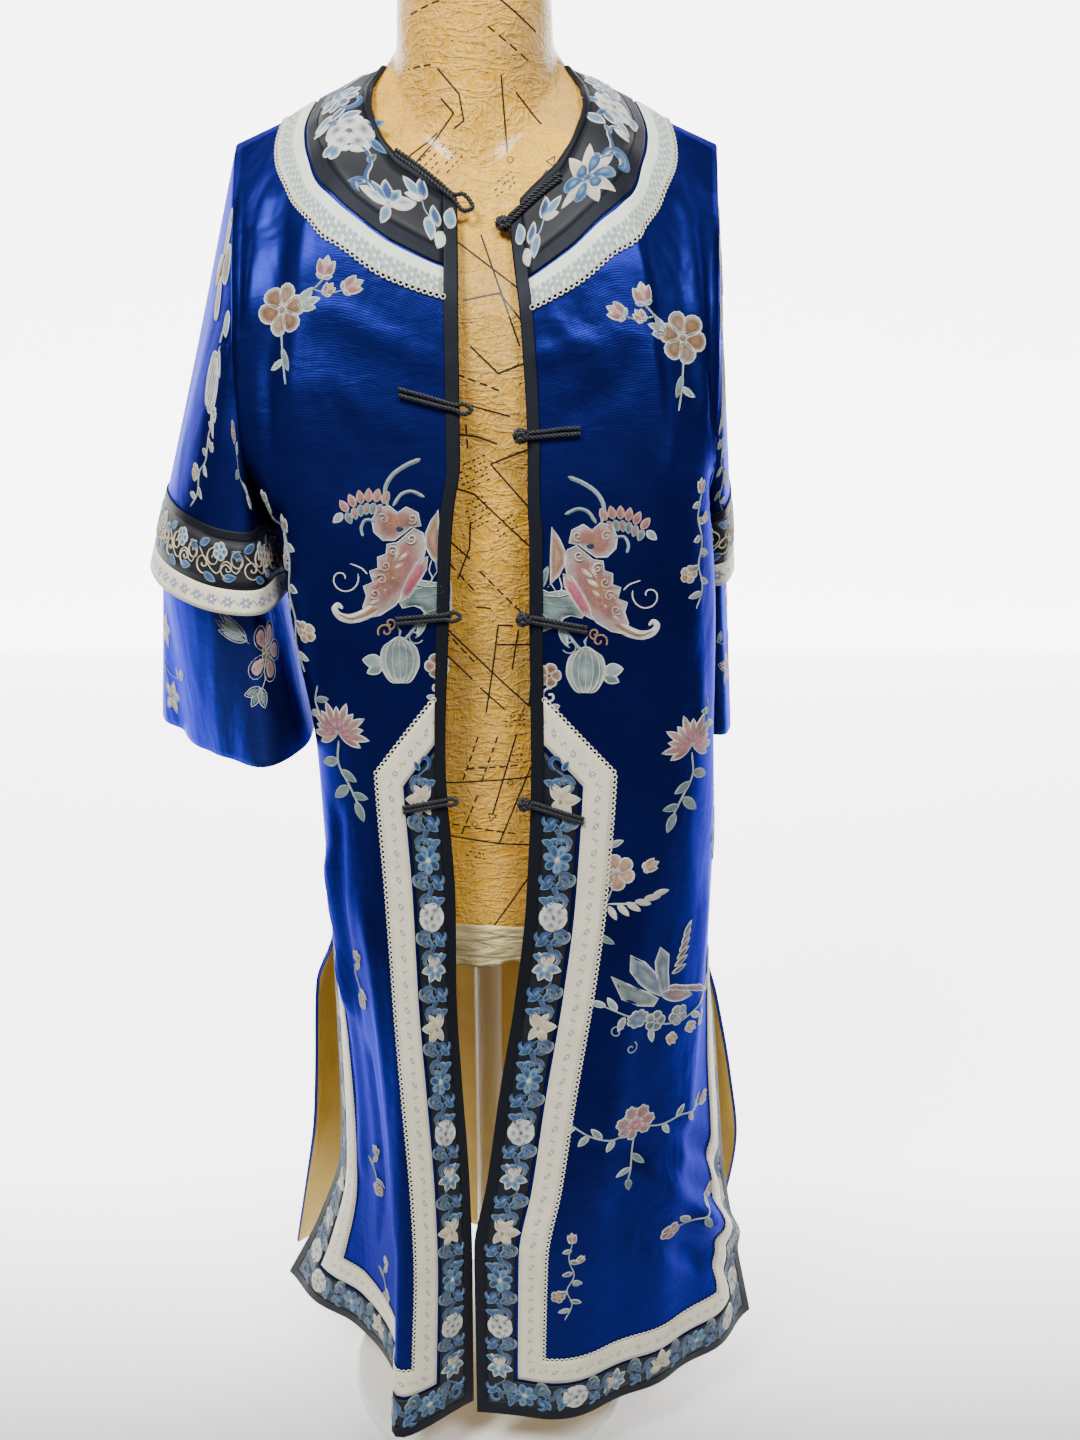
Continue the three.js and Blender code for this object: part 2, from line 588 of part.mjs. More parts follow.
// the lower tier hangs inside the upper one from just above its band
function underSleeve(tier, name) {
  const inward = (row, depth, drawn) => {
    const moved = row.map((vertex) => {
      const { point, normal } = tier.skin.vertices[tier.skin.add(vertex)];
      return point.clone().addScaledVector(normal, -depth);
    });
    const middle = moved.reduce((sum, point) => sum.add(point), new THREE.Vector3());
    const { x, y } = middle.divideScalar(moved.length);
    return moved.map((point) => point.lerp(new THREE.Vector3(x, y, point.z), drawn));
  };
  const hung = WALL + GAP;
  const inner = hung + LINING + 3 * GAP;
  const end = ringAt(SLEEVE_ENDS[name].lower.map(([x, y]) => [x, y, SLEEVE.under]), tier.places);
  const [near, middle, far] = TIER_DRAWN;
  const last = inward(tier.rows[tier.first + 4], inner, far);
  const top = inward(tier.rows[tier.first], hung, near);
  const rings = [top, inward(tier.rows[tier.first + 1], inner, middle), last];
  for (const t of [0.33, 0.66, 1]) rings.push(last.map((point, k) => point.clone().lerp(end[k], t)));
  return tier.skinOf(rings.map(ringRow)).directions();
}

const sleeves = { right: sleeve(right, 'right'), left: sleeve(left, 'left') };
shareDirections([right.skin, left.skin, sleeves.right.skin, sleeves.left.skin]);

// ---- frogs: a folded cord on each front, with an eye on one and a ball knot on the other ----
const FROGS = [
  { loop: 98, knot: 98, eye: 9 },
  { loop: 241, knot: 258, eye: 5 },
  { loop: 386, knot: 388, eye: 5 },
  { loop: 528, knot: 530, eye: 4 },
];
const FROG = { length: 44, half: 1.55, lift: WALL / 2 + GAP + TRIM + 3 * GAP + CORD, ball: 5 };
const FROG_TURNS = [28, 13, 2];  // where the cord is held down, from the fold to the front edge

// a place over a front; a negative distance lies beyond its edge
function overFront(table, across, down, lift) {
  const inside = Math.max(across, 0.5);
  const here = clothPoint(table, inside, down).point;
  const beside = clothPoint(table, inside + 4, down).point;
  const below = clothPoint(table, inside, down + 4).point;
  const along = beside.sub(here).normalize();
  const normal = along.clone().cross(below.sub(here)).normalize();
  if (normal.y > 0) normal.negate();
  return here.addScaledVector(along, across - inside).addScaledVector(normal, lift);
}

function cordAlong(points) {
  const curve = new THREE.CatmullRomCurve3(points, false, 'centripetal');
  const section = new THREE.Shape();
  section.absarc(0, 0, CORD, 0, 2 * Math.PI);
  return new THREE.ExtrudeGeometry(section, {
    steps: 17, curveSegments: 3, bevelEnabled: false, extrudePath: curve,
  });
}

function foldedCord(table, down, reach, eye) {
  const out = [FROG.length, ...FROG_TURNS].map((across) => [across, FROG.half]);
  out.push([-0.4 * reach, 0.7 * eye]);
  const places = [...out.map(([across, aside]) => [across, -aside]), [-reach, 0], ...out.reverse()];
  return cordAlong(places.map(([across, aside]) => overFront(table, across, down + aside, FROG.lift)));
}

function ballKnot(table, down) {
  const centre = overFront(table, GAP * 2 - FROG.ball, down, FROG.lift);
  return new THREE.SphereGeometry(FROG.ball - GAP, 8, 6).translate(...centre.toArray());
}

// ---- the dress form and its stand ----
const FORM_COLUMNS = ['z', 'halfWidth', 'front', 'back'];
const TORSO = [
  [893, 150, -110, 84], [840, 130, -108, 82], [720, 116, -100, 74], [610, 121, -98, 79],
  [524, 128, -99, 85], [495, 127, -98, 84],
].map((row) => Object.fromEntries(FORM_COLUMNS.map((name, i) => [name, row[i]])));

// directions round the form, one for each yoke ray, from the right front round the back to the left front
function formAngles(count) {
  const open = 0.1;
  const half = spread(open, Math.PI, count - 1);
  return [...half, ...half.slice(0, -1).reverse().map((angle) => 2 * Math.PI - angle)];
}

const everySecond = (row) => row.filter((_, i) => i % 2 === 0);

function seatRing(ring) {
  const seat = ({ down, point, normal }) => {
    const ease = FORM.seat + FORM.ease * Math.sqrt(Math.min(Math.abs(down) / YOKE.back, 1));
    return point.clone().addScaledVector(normal, -ease);
  };
  const own = ({ rings, skin }) => everySecond(rings[ring])
    .map((vertex) => seat(skin.vertices[skin.add(vertex)]));
  return [...own(right), ...own(left).reverse().slice(1)];
}

const torsoRing = ({ z, halfWidth, front, back }, angles, grow = 0) => angles.map((angle) => {
  const depth = (back - front) / 2 + grow;
  const middle = (back + front) / 2;
  return new THREE.Vector3(-(halfWidth + grow) * Math.sin(angle), middle - depth * Math.cos(angle), z);
});

function neckRing(angles, radius, height) {
  return angles.map((angle) => new THREE.Vector3(
    -radius * Math.sin(angle), -radius * Math.cos(angle), height(angle)));
}

function lofted(rings) {
  const count = rings[0].length;
  const position = rings.flat();
  const faces = [];
  for (let j = 0; j + 1 < rings.length; j += 1) {
    for (let i = 0; i < count; i += 1) {
      const [a, b] = [j * count + i, j * count + ((i + 1) % count)];
      if (2 * i < count) faces.push(a, b, b + count, a, b + count, a + count);
      else faces.push(a, b, a + count, b, b + count, a + count);
    }
  }
  const middle = (ring) => ring.reduce((sum, point) => sum.add(point), new THREE.Vector3()).divideScalar(count);
  position.push(middle(rings[0]), middle(rings.at(-1)));
  const [top, bottom] = [position.length - 2, position.length - 1];
  const last = (rings.length - 1) * count;
  for (let i = 0; i < count; i += 1) {
    const next = (i + 1) % count;
    faces.push(top, next, i, bottom, last + i, last + next);
  }
  const geometry = new THREE.BufferGeometry().setFromPoints(position);
  geometry.setIndex(faces);
  return geometry;
}

const angles = formAngles(everySecond(right.rings[0]).length);
// the foot of the neck is low in front and high at the sides and back
const NECK_FOOT = { height: 1130, tilt: 38, back: 36, sides: 20 };
const neckFoot = (angle) => {
  const { height, tilt, back, sides } = NECK_FOOT;
  return height - tilt * Math.cos(angle) + back * Math.sin(angle / 2) ** 2 + sides * Math.sin(angle) ** 2;
};

function formBody() {
  const rings = [
    neckRing(angles, FORM.neck - 8, () => FORM.neckTop),
    neckRing(angles, FORM.neck - 1, () => FORM.neckTop - 6),
    neckRing(angles, FORM.neck, () => FORM.neckTop - 40),
    neckRing(angles, FORM.neckBase, neckFoot),
  ];
  for (const ring of [0, 2, 5, 6]) rings.push(seatRing(ring));
  for (const row of TORSO) rings.push(torsoRing(row, angles));
  return lofted(rings);
}

// the paper's lower edge is torn: a mean drop with two waves of different length
const TORN = { drop: 7, waves: [[3, 1.7], [2, 0.6]] };

function paperWrap() {
  const [upper, lower] = TORSO.slice(-2);
  const ragged = (ring) => ring.map((point, i) => {
    point.z -= TORN.waves.reduce((drop, [height, turn]) => drop + height * Math.sin(i * turn), TORN.drop);
    return point;
  });
  const rows = [torsoRing(upper, angles), torsoRing(lower, angles), ragged(torsoRing(lower, angles, 1))];
  return new Surface().grid(rows.map(ringRow), true).directions().wall(GAP, GAP + TRIM, 0);
}

const disc = (radius, thick, rim) => new THREE.LatheGeometry([
  [0, 0], [radius - rim, 0], [radius, rim], [radius, thick - rim], [radius - rim, thick], [0, thick],
].map(([x, y]) => new THREE.Vector2(x, y)), 24);

// ---- the object ----
const COLOURS = {
  silk: ['#141c96', 0.38, 0],
  mustard: ['#c49a22', 0.5, 0],
  black: ['#171a22', 0.6, 0],
  ribbon: ['#dcd6c0', 0.6, 0],
  cord: ['#1c1f26', 0.5, 0],
  paper: ['#d9a247', 0.3, 0],
  tissue: ['#c9b67e', 0.6, 0],
  steel: ['#e8e8e4', 0.35, 0.4],
};
const robe = new THREE.Group();
robe.name = 'silk_robe_on_form';

function addPiece(name, finish, geometry, height = 0) {
  const [color, roughness, metalness] = COLOURS[finish];
  const mesh = new THREE.Mesh(geometry, new THREE.MeshStandardMaterial({ color, roughness, metalness }));
  mesh.name = name;
  mesh.position.z = height;
  robe.add(mesh);
  return mesh;
}

const { binding, band, blue, ribbon } = EDGING;
const bandEdge = binding + band;
for (const [side, half] of Object.entries({ right, left })) {
  addPiece(`body_${side}`, 'silk', half.skin.wall(-WALL / 2, WALL / 2));
  addPiece(`front_binding_${side}`, 'black', onTop(edgingStrip(half, 1, 0, binding)));
  addPiece(`front_band_${side}`, 'black', onTop(edgingStrip(half, 1, binding, bandEdge)));
  const ribbonStrip = edgingStrip(half, 1, bandEdge + blue, bandEdge + blue + ribbon);
  addPiece(`front_ribbon_${side}`, 'ribbon', onTop(ribbonStrip));
  const tier = sleeves[side];
  const { first } = tier;
  addPiece(`sleeve_${side}`, 'silk', tier.skin.wall(-WALL / 2, WALL / 2, GAP));
  addPiece(`sleeve_binding_${side}`, 'black', onTop(tier.part(first + 1, first + 2), TRIM, GAP * 1.5));
  addPiece(`sleeve_band_${side}`, 'black', onTop(tier.part(first + 2, first + 3), TRIM, GAP * 1.5));
  addPiece(`sleeve_ribbon_${side}`, 'ribbon', onTop(tier.part(first + 3, first + 4), TRIM, GAP * 1.5));
  const inside = -WALL / 2 - GAP;
  addPiece(`sleeve_lining_${side}`, 'mustard', tier.part(first + 2, first + 4).wall(inside - LINING, inside));
  addPiece(`undersleeve_${side}`, 'silk', underSleeve(tier, side).wall(-WALL / 2, WALL / 2, 0));
}
addPiece('back_binding', 'black', onTop(backStrip(0, binding)));
addPiece('back_band', 'black', onTop(backStrip(binding, bandEdge)));
addPiece('back_ribbon', 'ribbon', onTop(backStrip(bandEdge + blue, bandEdge + blue + ribbon)));
addPiece('back_lining', 'mustard', backLining().wall(-WALL / 2 - GAP - LINING, -WALL / 2 - GAP));
addPiece('neck_piping', 'black', onTop(collarRing(0, 1), 1.8));
addPiece('collar_band', 'black', onTop(collarRing(1, 2)));
addPiece('collar_stripe', 'black', onTop(collarRing(2, 3)));
addPiece('collar_ribbon', 'ribbon', onTop(collarRing(4, 5)));
FROGS.forEach(({ loop, knot, eye }, i) => {
  addPiece(`frog_loop_${i + 1}`, 'cord', foldedCord(FRONT_RIGHT, loop, eye + 4, eye));
  addPiece(`frog_cord_${i + 1}`, 'cord', foldedCord(FRONT_LEFT, knot, 0, FROG.half));
  addPiece(`frog_knot_${i + 1}`, 'cord', ballKnot(FRONT_LEFT, knot));
});
addPiece('form_body', 'paper', formBody());
addPiece('form_wrap', 'tissue', paperWrap());
const underside = TORSO.at(-1).z;
const flangeFoot = underside - GAP - STAND.flangeThick;
const poleLength = flangeFoot - STAND.thick - 2 * GAP;
const upright = (geometry) => geometry.rotateX(Math.PI / 2);
addPiece('stand_base', 'steel', upright(disc(STAND.base, STAND.thick, 3)));
addPiece('stand_pole', 'steel', upright(new THREE.CylinderGeometry(STAND.pole, STAND.pole, poleLength, 24)),
  STAND.thick + GAP + poleLength / 2);
addPiece('stand_flange', 'steel', upright(disc(STAND.flange, STAND.flangeThick, 1)), flangeFoot);

export default robe;
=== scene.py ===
"""Dresses the packed silk robe and its form: cloth, trims, embroidery, frogs, form, stand and stage."""

import math

import bmesh
import bpy
import numpy as np
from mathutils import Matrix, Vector
from mathutils.bvhtree import BVHTree


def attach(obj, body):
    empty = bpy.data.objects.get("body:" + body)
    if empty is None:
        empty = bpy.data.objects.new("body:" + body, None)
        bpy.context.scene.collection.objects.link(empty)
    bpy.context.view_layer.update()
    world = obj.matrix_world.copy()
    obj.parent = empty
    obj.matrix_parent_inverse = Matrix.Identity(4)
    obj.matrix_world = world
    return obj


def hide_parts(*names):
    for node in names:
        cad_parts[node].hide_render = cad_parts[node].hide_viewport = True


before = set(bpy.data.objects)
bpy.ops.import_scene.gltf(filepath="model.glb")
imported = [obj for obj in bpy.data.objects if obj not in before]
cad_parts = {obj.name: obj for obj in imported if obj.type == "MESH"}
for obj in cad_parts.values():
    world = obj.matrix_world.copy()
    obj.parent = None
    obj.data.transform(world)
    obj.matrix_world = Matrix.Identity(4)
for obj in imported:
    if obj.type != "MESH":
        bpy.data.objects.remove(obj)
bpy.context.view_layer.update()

bl_info = {
    "name": "Silk robe on a dress form",
    "version": (1, 0, 0),
    "blender": (4, 5, 0),
    "location": "3D View > Sidebar > Robe",
    "description": "Builds an embroidered silk robe that rests on a limbless dress form",
    "category": "Object",
}

# ---- the cut, in millimetres: across from the front edge or the back's centre, down from the shoulder
MM = 0.001
HEM_DOWN, SHOULDER, UNDERARM_DOWN, VENT_TOP = 1105, 177, 330, 695
YOKE_FRONT, YOKE_BACK = 205, 190
NECK_DOWN, NECK_RADIUS, COLLAR_DOWN, COLLAR_RADIUS = 15, 76, 25, 145
BINDING, BAND, BLUE, RIBBON = 10, 28, 4, 24
EDGING = BINDING + BAND + BLUE + RIBBON
EDGING_TOP = 449
LINING_TOP, LINING_THICK, LINING_DEPTH, LINING_CLEAR = 600, 0.9, -1.4, 3
UNDERARM_FROM, UNDERARM_RUN, UNDERARM_GAP = 172, 18, 0.6    # where sleeve and side seam part
SLEEVE_GAUGE = 160                                          # mean length of the upper tier
CUT = np.array([(0, 177), (277, 177), (330, 250), (695, 285), (1105, 345)], float)
PLAN_POINTS = 5

# columns: down, z, middle lift, side lift, then x and y of five points from the edge or centre to the side
FRONT_RIGHT = np.array([
    (0, 1197, -43, -85, 0, 0, -44, 0, -88, 0, -132, 0, -177, 0),
    (45, 1128, 3, -50, -8, -46, -45, -44, -88, -38, -132, -33, -174, -30),
    (91, 1067, 30, -24, -11, -76, -50, -75, -90, -70, -132, -64, -172, -60),
    (130, 1033, 33, -23, -10, -98, -50, -97, -92, -92, -132, -85, -170, -80),
    (170, 998, 26, -24, -9, -115, -52, -115, -95, -108, -133, -100, -169, -92),
    (277, 893, 4, 0, -9, -124, -65, -126, -125, -119, -152, -108, -166, -98),
    (310, 860, 0, 0, -14, -125, -66, -127, -125, -119, -150, -98, -162, -52),
    (330, 840, 0, 0, -16, -125, -70, -127, -126, -117, -146, -82, -154, -8),
    (387, 783, 0, 0, -19, -125, -75, -126, -127, -115, -142, -76, -144, -8),
    (500, 670, 0, 0, -24, -125, -75, -127, -116, -108, -128, -70, -132, -5),
    (610, 560, 0, 0, -19, -124, -70, -128, -112, -104, -127, -60, -136, 4),
    (695, 475, 0, 0, -20, -123, -64, -131, -101, -98, -122, -55, -136, 4),
    (780, 390, 0, 0, -17, -122, -65, -135, -90, -97, -113, -52, -137, 8),
    (870, 300, 0, 0, -13, -121, -67, -139, -82, -96, -107, -50, -138, 12),
    (934, 236, 0, 0, -12, -120, -69, -142, -79, -96, -104, -50, -142, 16),
    (1020, 150, 0, 0, -13, -117, -72, -147, -79, -98, -103, -50, -168, 33),
    (1105, 65, 0, 0, -14, -113, -77, -152, -80, -100, -103, -52, -207, 49),
], float)
FRONT_LEFT = np.array([
    (0, 1197, -43, -85, 0, 0, 44, 0, 88, 0, 132, 0, 177, 0),
    (45, 1126, 5, -48, 16, -46, 48, -44, 89, -38, 132, -33, 175, -28),
    (91, 1057, 38, -14, 26, -76, 58, -75, 93, -70, 133, -64, 174, -55),
    (130, 1024, 40, -14, 30, -98, 62, -97, 96, -92, 134, -85, 173, -74),
    (170, 990, 32, -16, 34, -115, 68, -115, 102, -108, 138, -98, 173, -86),
    (277, 893, 4, 0, 39, -124, 95, -127, 145, -118, 162, -106, 173, -92),
    (310, 860, 0, 0, 39, -125, 97, -128, 149, -117, 169, -94, 168, -50),
    (330, 840, 0, 0, 40, -125, 98, -128, 152, -116, 173, -84, 161, -8),
    (387, 783, 0, 0, 40, -125, 100, -128, 157, -115, 178, -84, 157, -6),
    (500, 670, 0, 0, 41, -125, 100, -128, 163, -112, 182, -76, 161, 0),
    (610, 560, 0, 0, 37, -124, 95, -127, 159, -108, 187, -58, 190, 6),
    (695, 475, 0, 0, 28, -124, 90, -127, 155, -106, 187, -54, 190, 6),
    (780, 390, 0, 0, 15, -124, 82, -128, 150, -105, 187, -54, 203, 8),
    (870, 300, 0, 0, 3, -125, 72, -130, 145, -105, 189, -58, 212, 6),
    (934, 236, 0, 0, -8, -125, 62, -133, 140, -104, 190, -60, 218, 4),
    (1020, 150, 0, 0, -8, -125, 60, -132, 140, -98, 198, -55, 233, 0),
    (1105, 65, 0, 0, -8, -125, 60, -128, 138, -92, 205, -45, 251, -3),
], float)
BACK_LEFT = np.array([
    (0, 1197, -43, -85, 0, 0, 44, 0, 88, 0, 132, 0, 177, 0),
    (45, 1166, -24, -92, 0, 48, 45, 44, 88, 36, 132, 29, 175, 25),
    (91, 1129, -20, -96, 0, 76, 48, 72, 90, 64, 132, 52, 174, 42),
    (130, 1091, -16, -96, 0, 88, 50, 85, 92, 79, 133, 66, 173, 52),
    (170, 1051, -12, -95, 0, 94, 52, 92, 94, 87, 134, 75, 172, 60),
    (277, 893, 0, 0, 0, 98, 60, 97, 115, 92, 148, 80, 171, 64),
    (310, 860, 0, 0, 0, 98, 62, 97, 118, 92, 150, 74, 168, 38),
    (330, 840, 0, 0, 0, 98, 64, 98, 116, 94, 148, 64, 161, -8),
    (387, 783, 0, 0, 0, 97, 64, 98, 114, 94, 144, 64, 157, -6),
    (500, 670, 0, 0, 0, 98, 66, 101, 118, 97, 150, 68, 161, 0),
    (610, 560, 0, 0, 0, 102, 70, 106, 132, 102, 174, 70, 190, 6),
    (695, 475, 0, 0, 0, 105, 72, 111, 138, 105, 180, 74, 190, 6),
    (780, 390, 0, 0, 0, 108, 73, 115, 141, 109, 190, 78, 210, 26),
    (870, 300, 0, 0, 0, 111, 74, 119, 143, 112, 196, 84, 228, 34),
    (934, 236, 0, 0, 0, 112, 74, 121, 144, 114, 200, 86, 236, 32),
    (1020, 150, 0, 0, 0, 114, 74, 124, 145, 117, 198, 90, 228, 40),
    (1105, 65, 0, 0, 0, 115, 74, 126, 145, 119, 195, 94, 222, 50),
], float)
BACK_RIGHT = np.array([
    (0, 1197, -43, -85, 0, 0, -44, 0, -88, 0, -132, 0, -177, 0),
    (45, 1166, -24, -92, 0, 48, -45, 44, -88, 36, -132, 29, -174, 25),
    (91, 1129, -20, -96, 0, 76, -48, 72, -90, 64, -132, 52, -172, 42),
    (130, 1091, -16, -96, 0, 88, -50, 85, -92, 79, -133, 66, -170, 52),
    (170, 1051, -12, -95, 0, 94, -52, 92, -94, 87, -134, 75, -169, 60),
    (277, 893, 0, 0, 0, 98, -60, 97, -115, 92, -144, 80, -166, 64),
    (310, 860, 0, 0, 0, 98, -60, 97, -115, 92, -146, 74, -162, 38),
    (330, 840, 0, 0, 0, 98, -60, 97, -114, 93, -144, 62, -154, -8),
    (387, 783, 0, 0, 0, 97, -60, 98, -112, 94, -136, 60, -144, -8),
    (500, 670, 0, 0, 0, 98, -62, 101, -108, 95, -128, 60, -132, -5),
    (610, 560, 0, 0, 0, 102, -64, 106, -110, 100, -130, 66, -136, 4),
    (695, 475, 0, 0, 0, 105, -68, 111, -116, 106, -134, 72, -136, 4),
    (780, 390, 0, 0, 0, 108, -70, 115, -124, 112, -152, 90, -163, 50),
    (870, 300, 0, 0, 0, 111, -72, 119, -128, 116, -158, 98, -170, 58),
    (934, 236, 0, 0, 0, 112, -74, 121, -132, 118, -166, 100, -176, 66),
    (1020, 150, 0, 0, 0, 114, -74, 124, -138, 122, -174, 108, -192, 86),
    (1105, 65, 0, 0, 0, 115, -74, 126, -142, 126, -182, 116, -208, 92),
], float)

# soft upright folds: share across at the top and the hem, width as a share, height, level where they start
FOLDS = {
    "front_left": [(0.34, 0.30, 0.20, 7, 560), (0.62, 0.56, 0.20, 9, 480), (0.80, 0.80, 0.18, 10, 700)],
    "front_right": [(0.84, 0.84, 0.16, 8, 700)],
    "back_left": [(0.24, 0.24, 0.22, 12, 430), (0.58, 0.56, 0.24, 14, 380), (0.82, 0.80, 0.16, 9, 700)],
    "back_right": [(0.26, 0.30, 0.24, 13, 400), (0.66, 0.64, 0.24, 13, 470)],
}
# creases, given one by one: from (across, down) to (across, down), half width, height; a minus height is a
# furrow
CREASES = {
    "front_right": [
        (148, 78, 158, 150, 9, 3.0), (170, 70, 172, 150, 11, -3.5), (132, 120, 146, 230, 12, -2.2),
        (96, 196, 18, 212, 8, 1.6), (104, 216, 26, 228, 7, -1.4), (118, 236, 44, 256, 9, 1.2),
        (112, 140, 122, 236, 14, 1.8), (146, 250, 150, 330, 9, -2.5), (96, 300, 104, 430, 16, -1.8),
        (120, 560, 150, 720, 14, -5.0), (148, 600, 176, 720, 12, 5.0), (96, 640, 100, 900, 14, 2.6),
        (176, 700, 232, 900, 16, 4.0), (150, 780, 196, 960, 16, -4.0), (60, 300, 70, 430, 18, 1.4),
    ],
    "front_left": [
        (96, 150, 122, 286, 12, 3.0), (122, 286, 140, 470, 11, 3.2), (112, 200, 134, 420, 10, -2.2),
        (150, 100, 160, 230, 12, 3.0), (168, 120, 172, 240, 9, -3.0), (88, 210, 20, 204, 9, 1.6),
        (80, 232, 26, 250, 8, -1.6), (66, 222, 30, 190, 10, 1.2), (58, 250, 66, 420, 18, -1.6),
        (150, 866, 232, 940, 20, 9.0), (232, 940, 318, 1008, 17, 9.0), (130, 900, 226, 980, 18, -6.0),
        (196, 850, 290, 930, 16, -5.0), (226, 980, 300, 1040, 14, -4.0), (176, 640, 190, 850, 18, 3.0),
        (96, 620, 110, 860, 22, 2.0),
    ],
    "back_right": [
        (30, 200, 60, 420, 22, 3.0), (90, 150, 120, 300, 16, -3.0), (140, 120, 150, 320, 13, 3.0),
        (100, 420, 60, 300, 14, -2.5), (50, 520, 90, 800, 22, 3.5),
    ],
    "back_left": [
        (30, 220, 66, 400, 20, 3.0), (96, 160, 124, 330, 15, -3.0), (144, 120, 152, 320, 13, 3.0),
        (60, 500, 84, 820, 22, 3.5), (118, 380, 80, 300, 13, -2.5),
    ],
}

SLEEVE_ENDS = {
    "right": {
        "upper": [(-262, 0, 808), (-248, -60, 803), (-225, -98, 795), (-190, -120, 786), (-160, -120, 783),
                  (-152, -60, 786), (-154, 0, 790), (-158, 50, 794), (-176, 92, 800), (-215, 104, 804),
                  (-250, 70, 808)],
        "lower": [(-280, 40), (-262, -12), (-226, -58), (-192, -102), (-160, -121), (-140, -74),
                  (-143, 0), (-149, 52), (-176, 100), (-225, 112), (-268, 88)],
    },
    "left": {
        "upper": [(206, 45, 808), (203, 5, 804), (198, -26, 798), (189, -44, 792), (178, -36, 789),
                  (171, 0, 790), (168, 60, 792), (162, 108, 796), (176, 148, 800), (200, 144, 804),
                  (209, 98, 808)],
        "lower": [(212, 50), (208, 8), (203, -22), (195, -40), (184, -34),
                  (176, 5), (171, 64), (164, 116), (178, 158), (205, 152), (216, 104)],
    },
}
SLEEVE_BINDING, SLEEVE_BAND, SLEEVE_RIBBON = 7, 35, 18
# folds of the lower tiers: share of the way round, half width as a share, height at the edge
TIER_FOLDS = {
    "right": [(0.12, 0.05, -6), (0.20, 0.05, 5), (0.30, 0.05, -5), (0.72, 0.06, 5), (0.84, 0.05, -5)],
    "left": [(0.10, 0.05, -3), (0.55, 0.06, 4), (0.70, 0.05, -4), (0.85, 0.06, 4)],
}
SLEEVE_ROOT, UNDER_FOOT = 80, 667


def levels(table, downs):
    """Every column of a shape table at the given levels, smooth and with no overshoot."""
    at, values = table[:, 0], table[:, 1:]
    grade = np.diff(values, axis=0) / np.diff(at)[:, None]
    slope = np.zeros_like(values)
    slope[0], slope[-1] = grade[0], grade[-1]
    before, after = grade[:-1], grade[1:]
    same = before * after > 0
    slope[1:-1] = np.where(same, 2 * before * after / np.where(same, before + after, 1), 0)
    i = np.clip(np.searchsorted(at, downs) - 1, 0, len(at) - 2)
    span = at[i + 1] - at[i]
    t = np.clip((downs - at[i]) / span, 0, 1)[:, None]
    span = span[:, None]
    return ((2 * t**3 - 3 * t**2 + 1) * values[i] + (t**3 - 2 * t**2 + t) * span * slope[i]
            + (3 * t**2 - 2 * t**3) * values[i + 1] + (t**3 - t**2) * span * slope[i + 1])


def cut_width(down):
    """Half width of the flat cloth at a level."""
    return np.interp(np.abs(down), CUT[:, 0], CUT[:, 1])


def centripetal(points, closed=False, fine=24):
    """Samples of a centripetal curve through points (rows, n, 3), fine to each span."""
    if closed:
        points = np.concatenate([points[:, -1:], points, points[:, :2]], axis=1)
    else:
        first = 2 * points[:, :1] - points[:, 1:2]
        last = 2 * points[:, -1:] - points[:, -2:-1]
        points = np.concatenate([first, points, last], axis=1)
    a, b, c, d = points[:, :-3], points[:, 1:-2], points[:, 2:-1], points[:, 3:]
    gaps = [np.maximum(np.linalg.norm(q - p, axis=2, keepdims=True) ** 0.5, 1e-4)
            for p, q in ((a, b), (b, c), (c, d))]
    start = ((b - a) / gaps[0] - (c - a) / (gaps[0] + gaps[1]) + (c - b) / gaps[1]) * gaps[1]
    end = ((c - b) / gaps[1] - (d - b) / (gaps[1] + gaps[2]) + (d - c) / gaps[2]) * gaps[1]
    t = (np.arange(fine) / fine)[None, None, :, None]
    b, c, start, end = (value[:, :, None] for value in (b, c, start, end))
    samples = ((2 * t**3 - 3 * t**2 + 1) * b + (t**3 - 2 * t**2 + t) * start
               + (3 * t**2 - 2 * t**3) * c + (t**3 - t**2) * end)
    rows = samples.reshape(len(points), -1, 3)
    tail = points[:, -2:-1] if not closed else rows[:, :1]
    return np.concatenate([rows, tail], axis=1)


def along(row, shares):
    """Points of one sampled curve at shares of its length."""
    steps = np.linalg.norm(np.diff(row, axis=0), axis=1)
    gone = np.concatenate([[0], np.cumsum(steps)]) / steps.sum()
    return np.stack([np.interp(shares, gone, row[:, k]) for k in range(3)], axis=1)


def unit(vectors):
    """Vectors of length one."""
    return vectors / np.maximum(np.linalg.norm(vectors, axis=-1, keepdims=True), 1e-9)


def swell(distance):
    """A soft bump that falls to nothing at distance one."""
    return np.where(np.abs(distance) < 1, (1 + np.cos(np.pi * np.clip(distance, -1, 1))) / 2, 0)


def crease(across, down, line):
    """Height that one hand-placed crease adds at places of the cut."""
    x0, y0, x1, y1, width, height = line
    length = math.hypot(x1 - x0, y1 - y0)
    ux, uy = (x1 - x0) / length, (y1 - y0) / length
    far = (across - x0) * ux + (down - y0) * uy
    aside = (across - x0) * uy - (down - y0) * ux
    over = np.maximum(np.maximum(-far, far - length), 0)
    fade = swell(over / (width * 2.5))
    return height * swell(aside / width) * fade


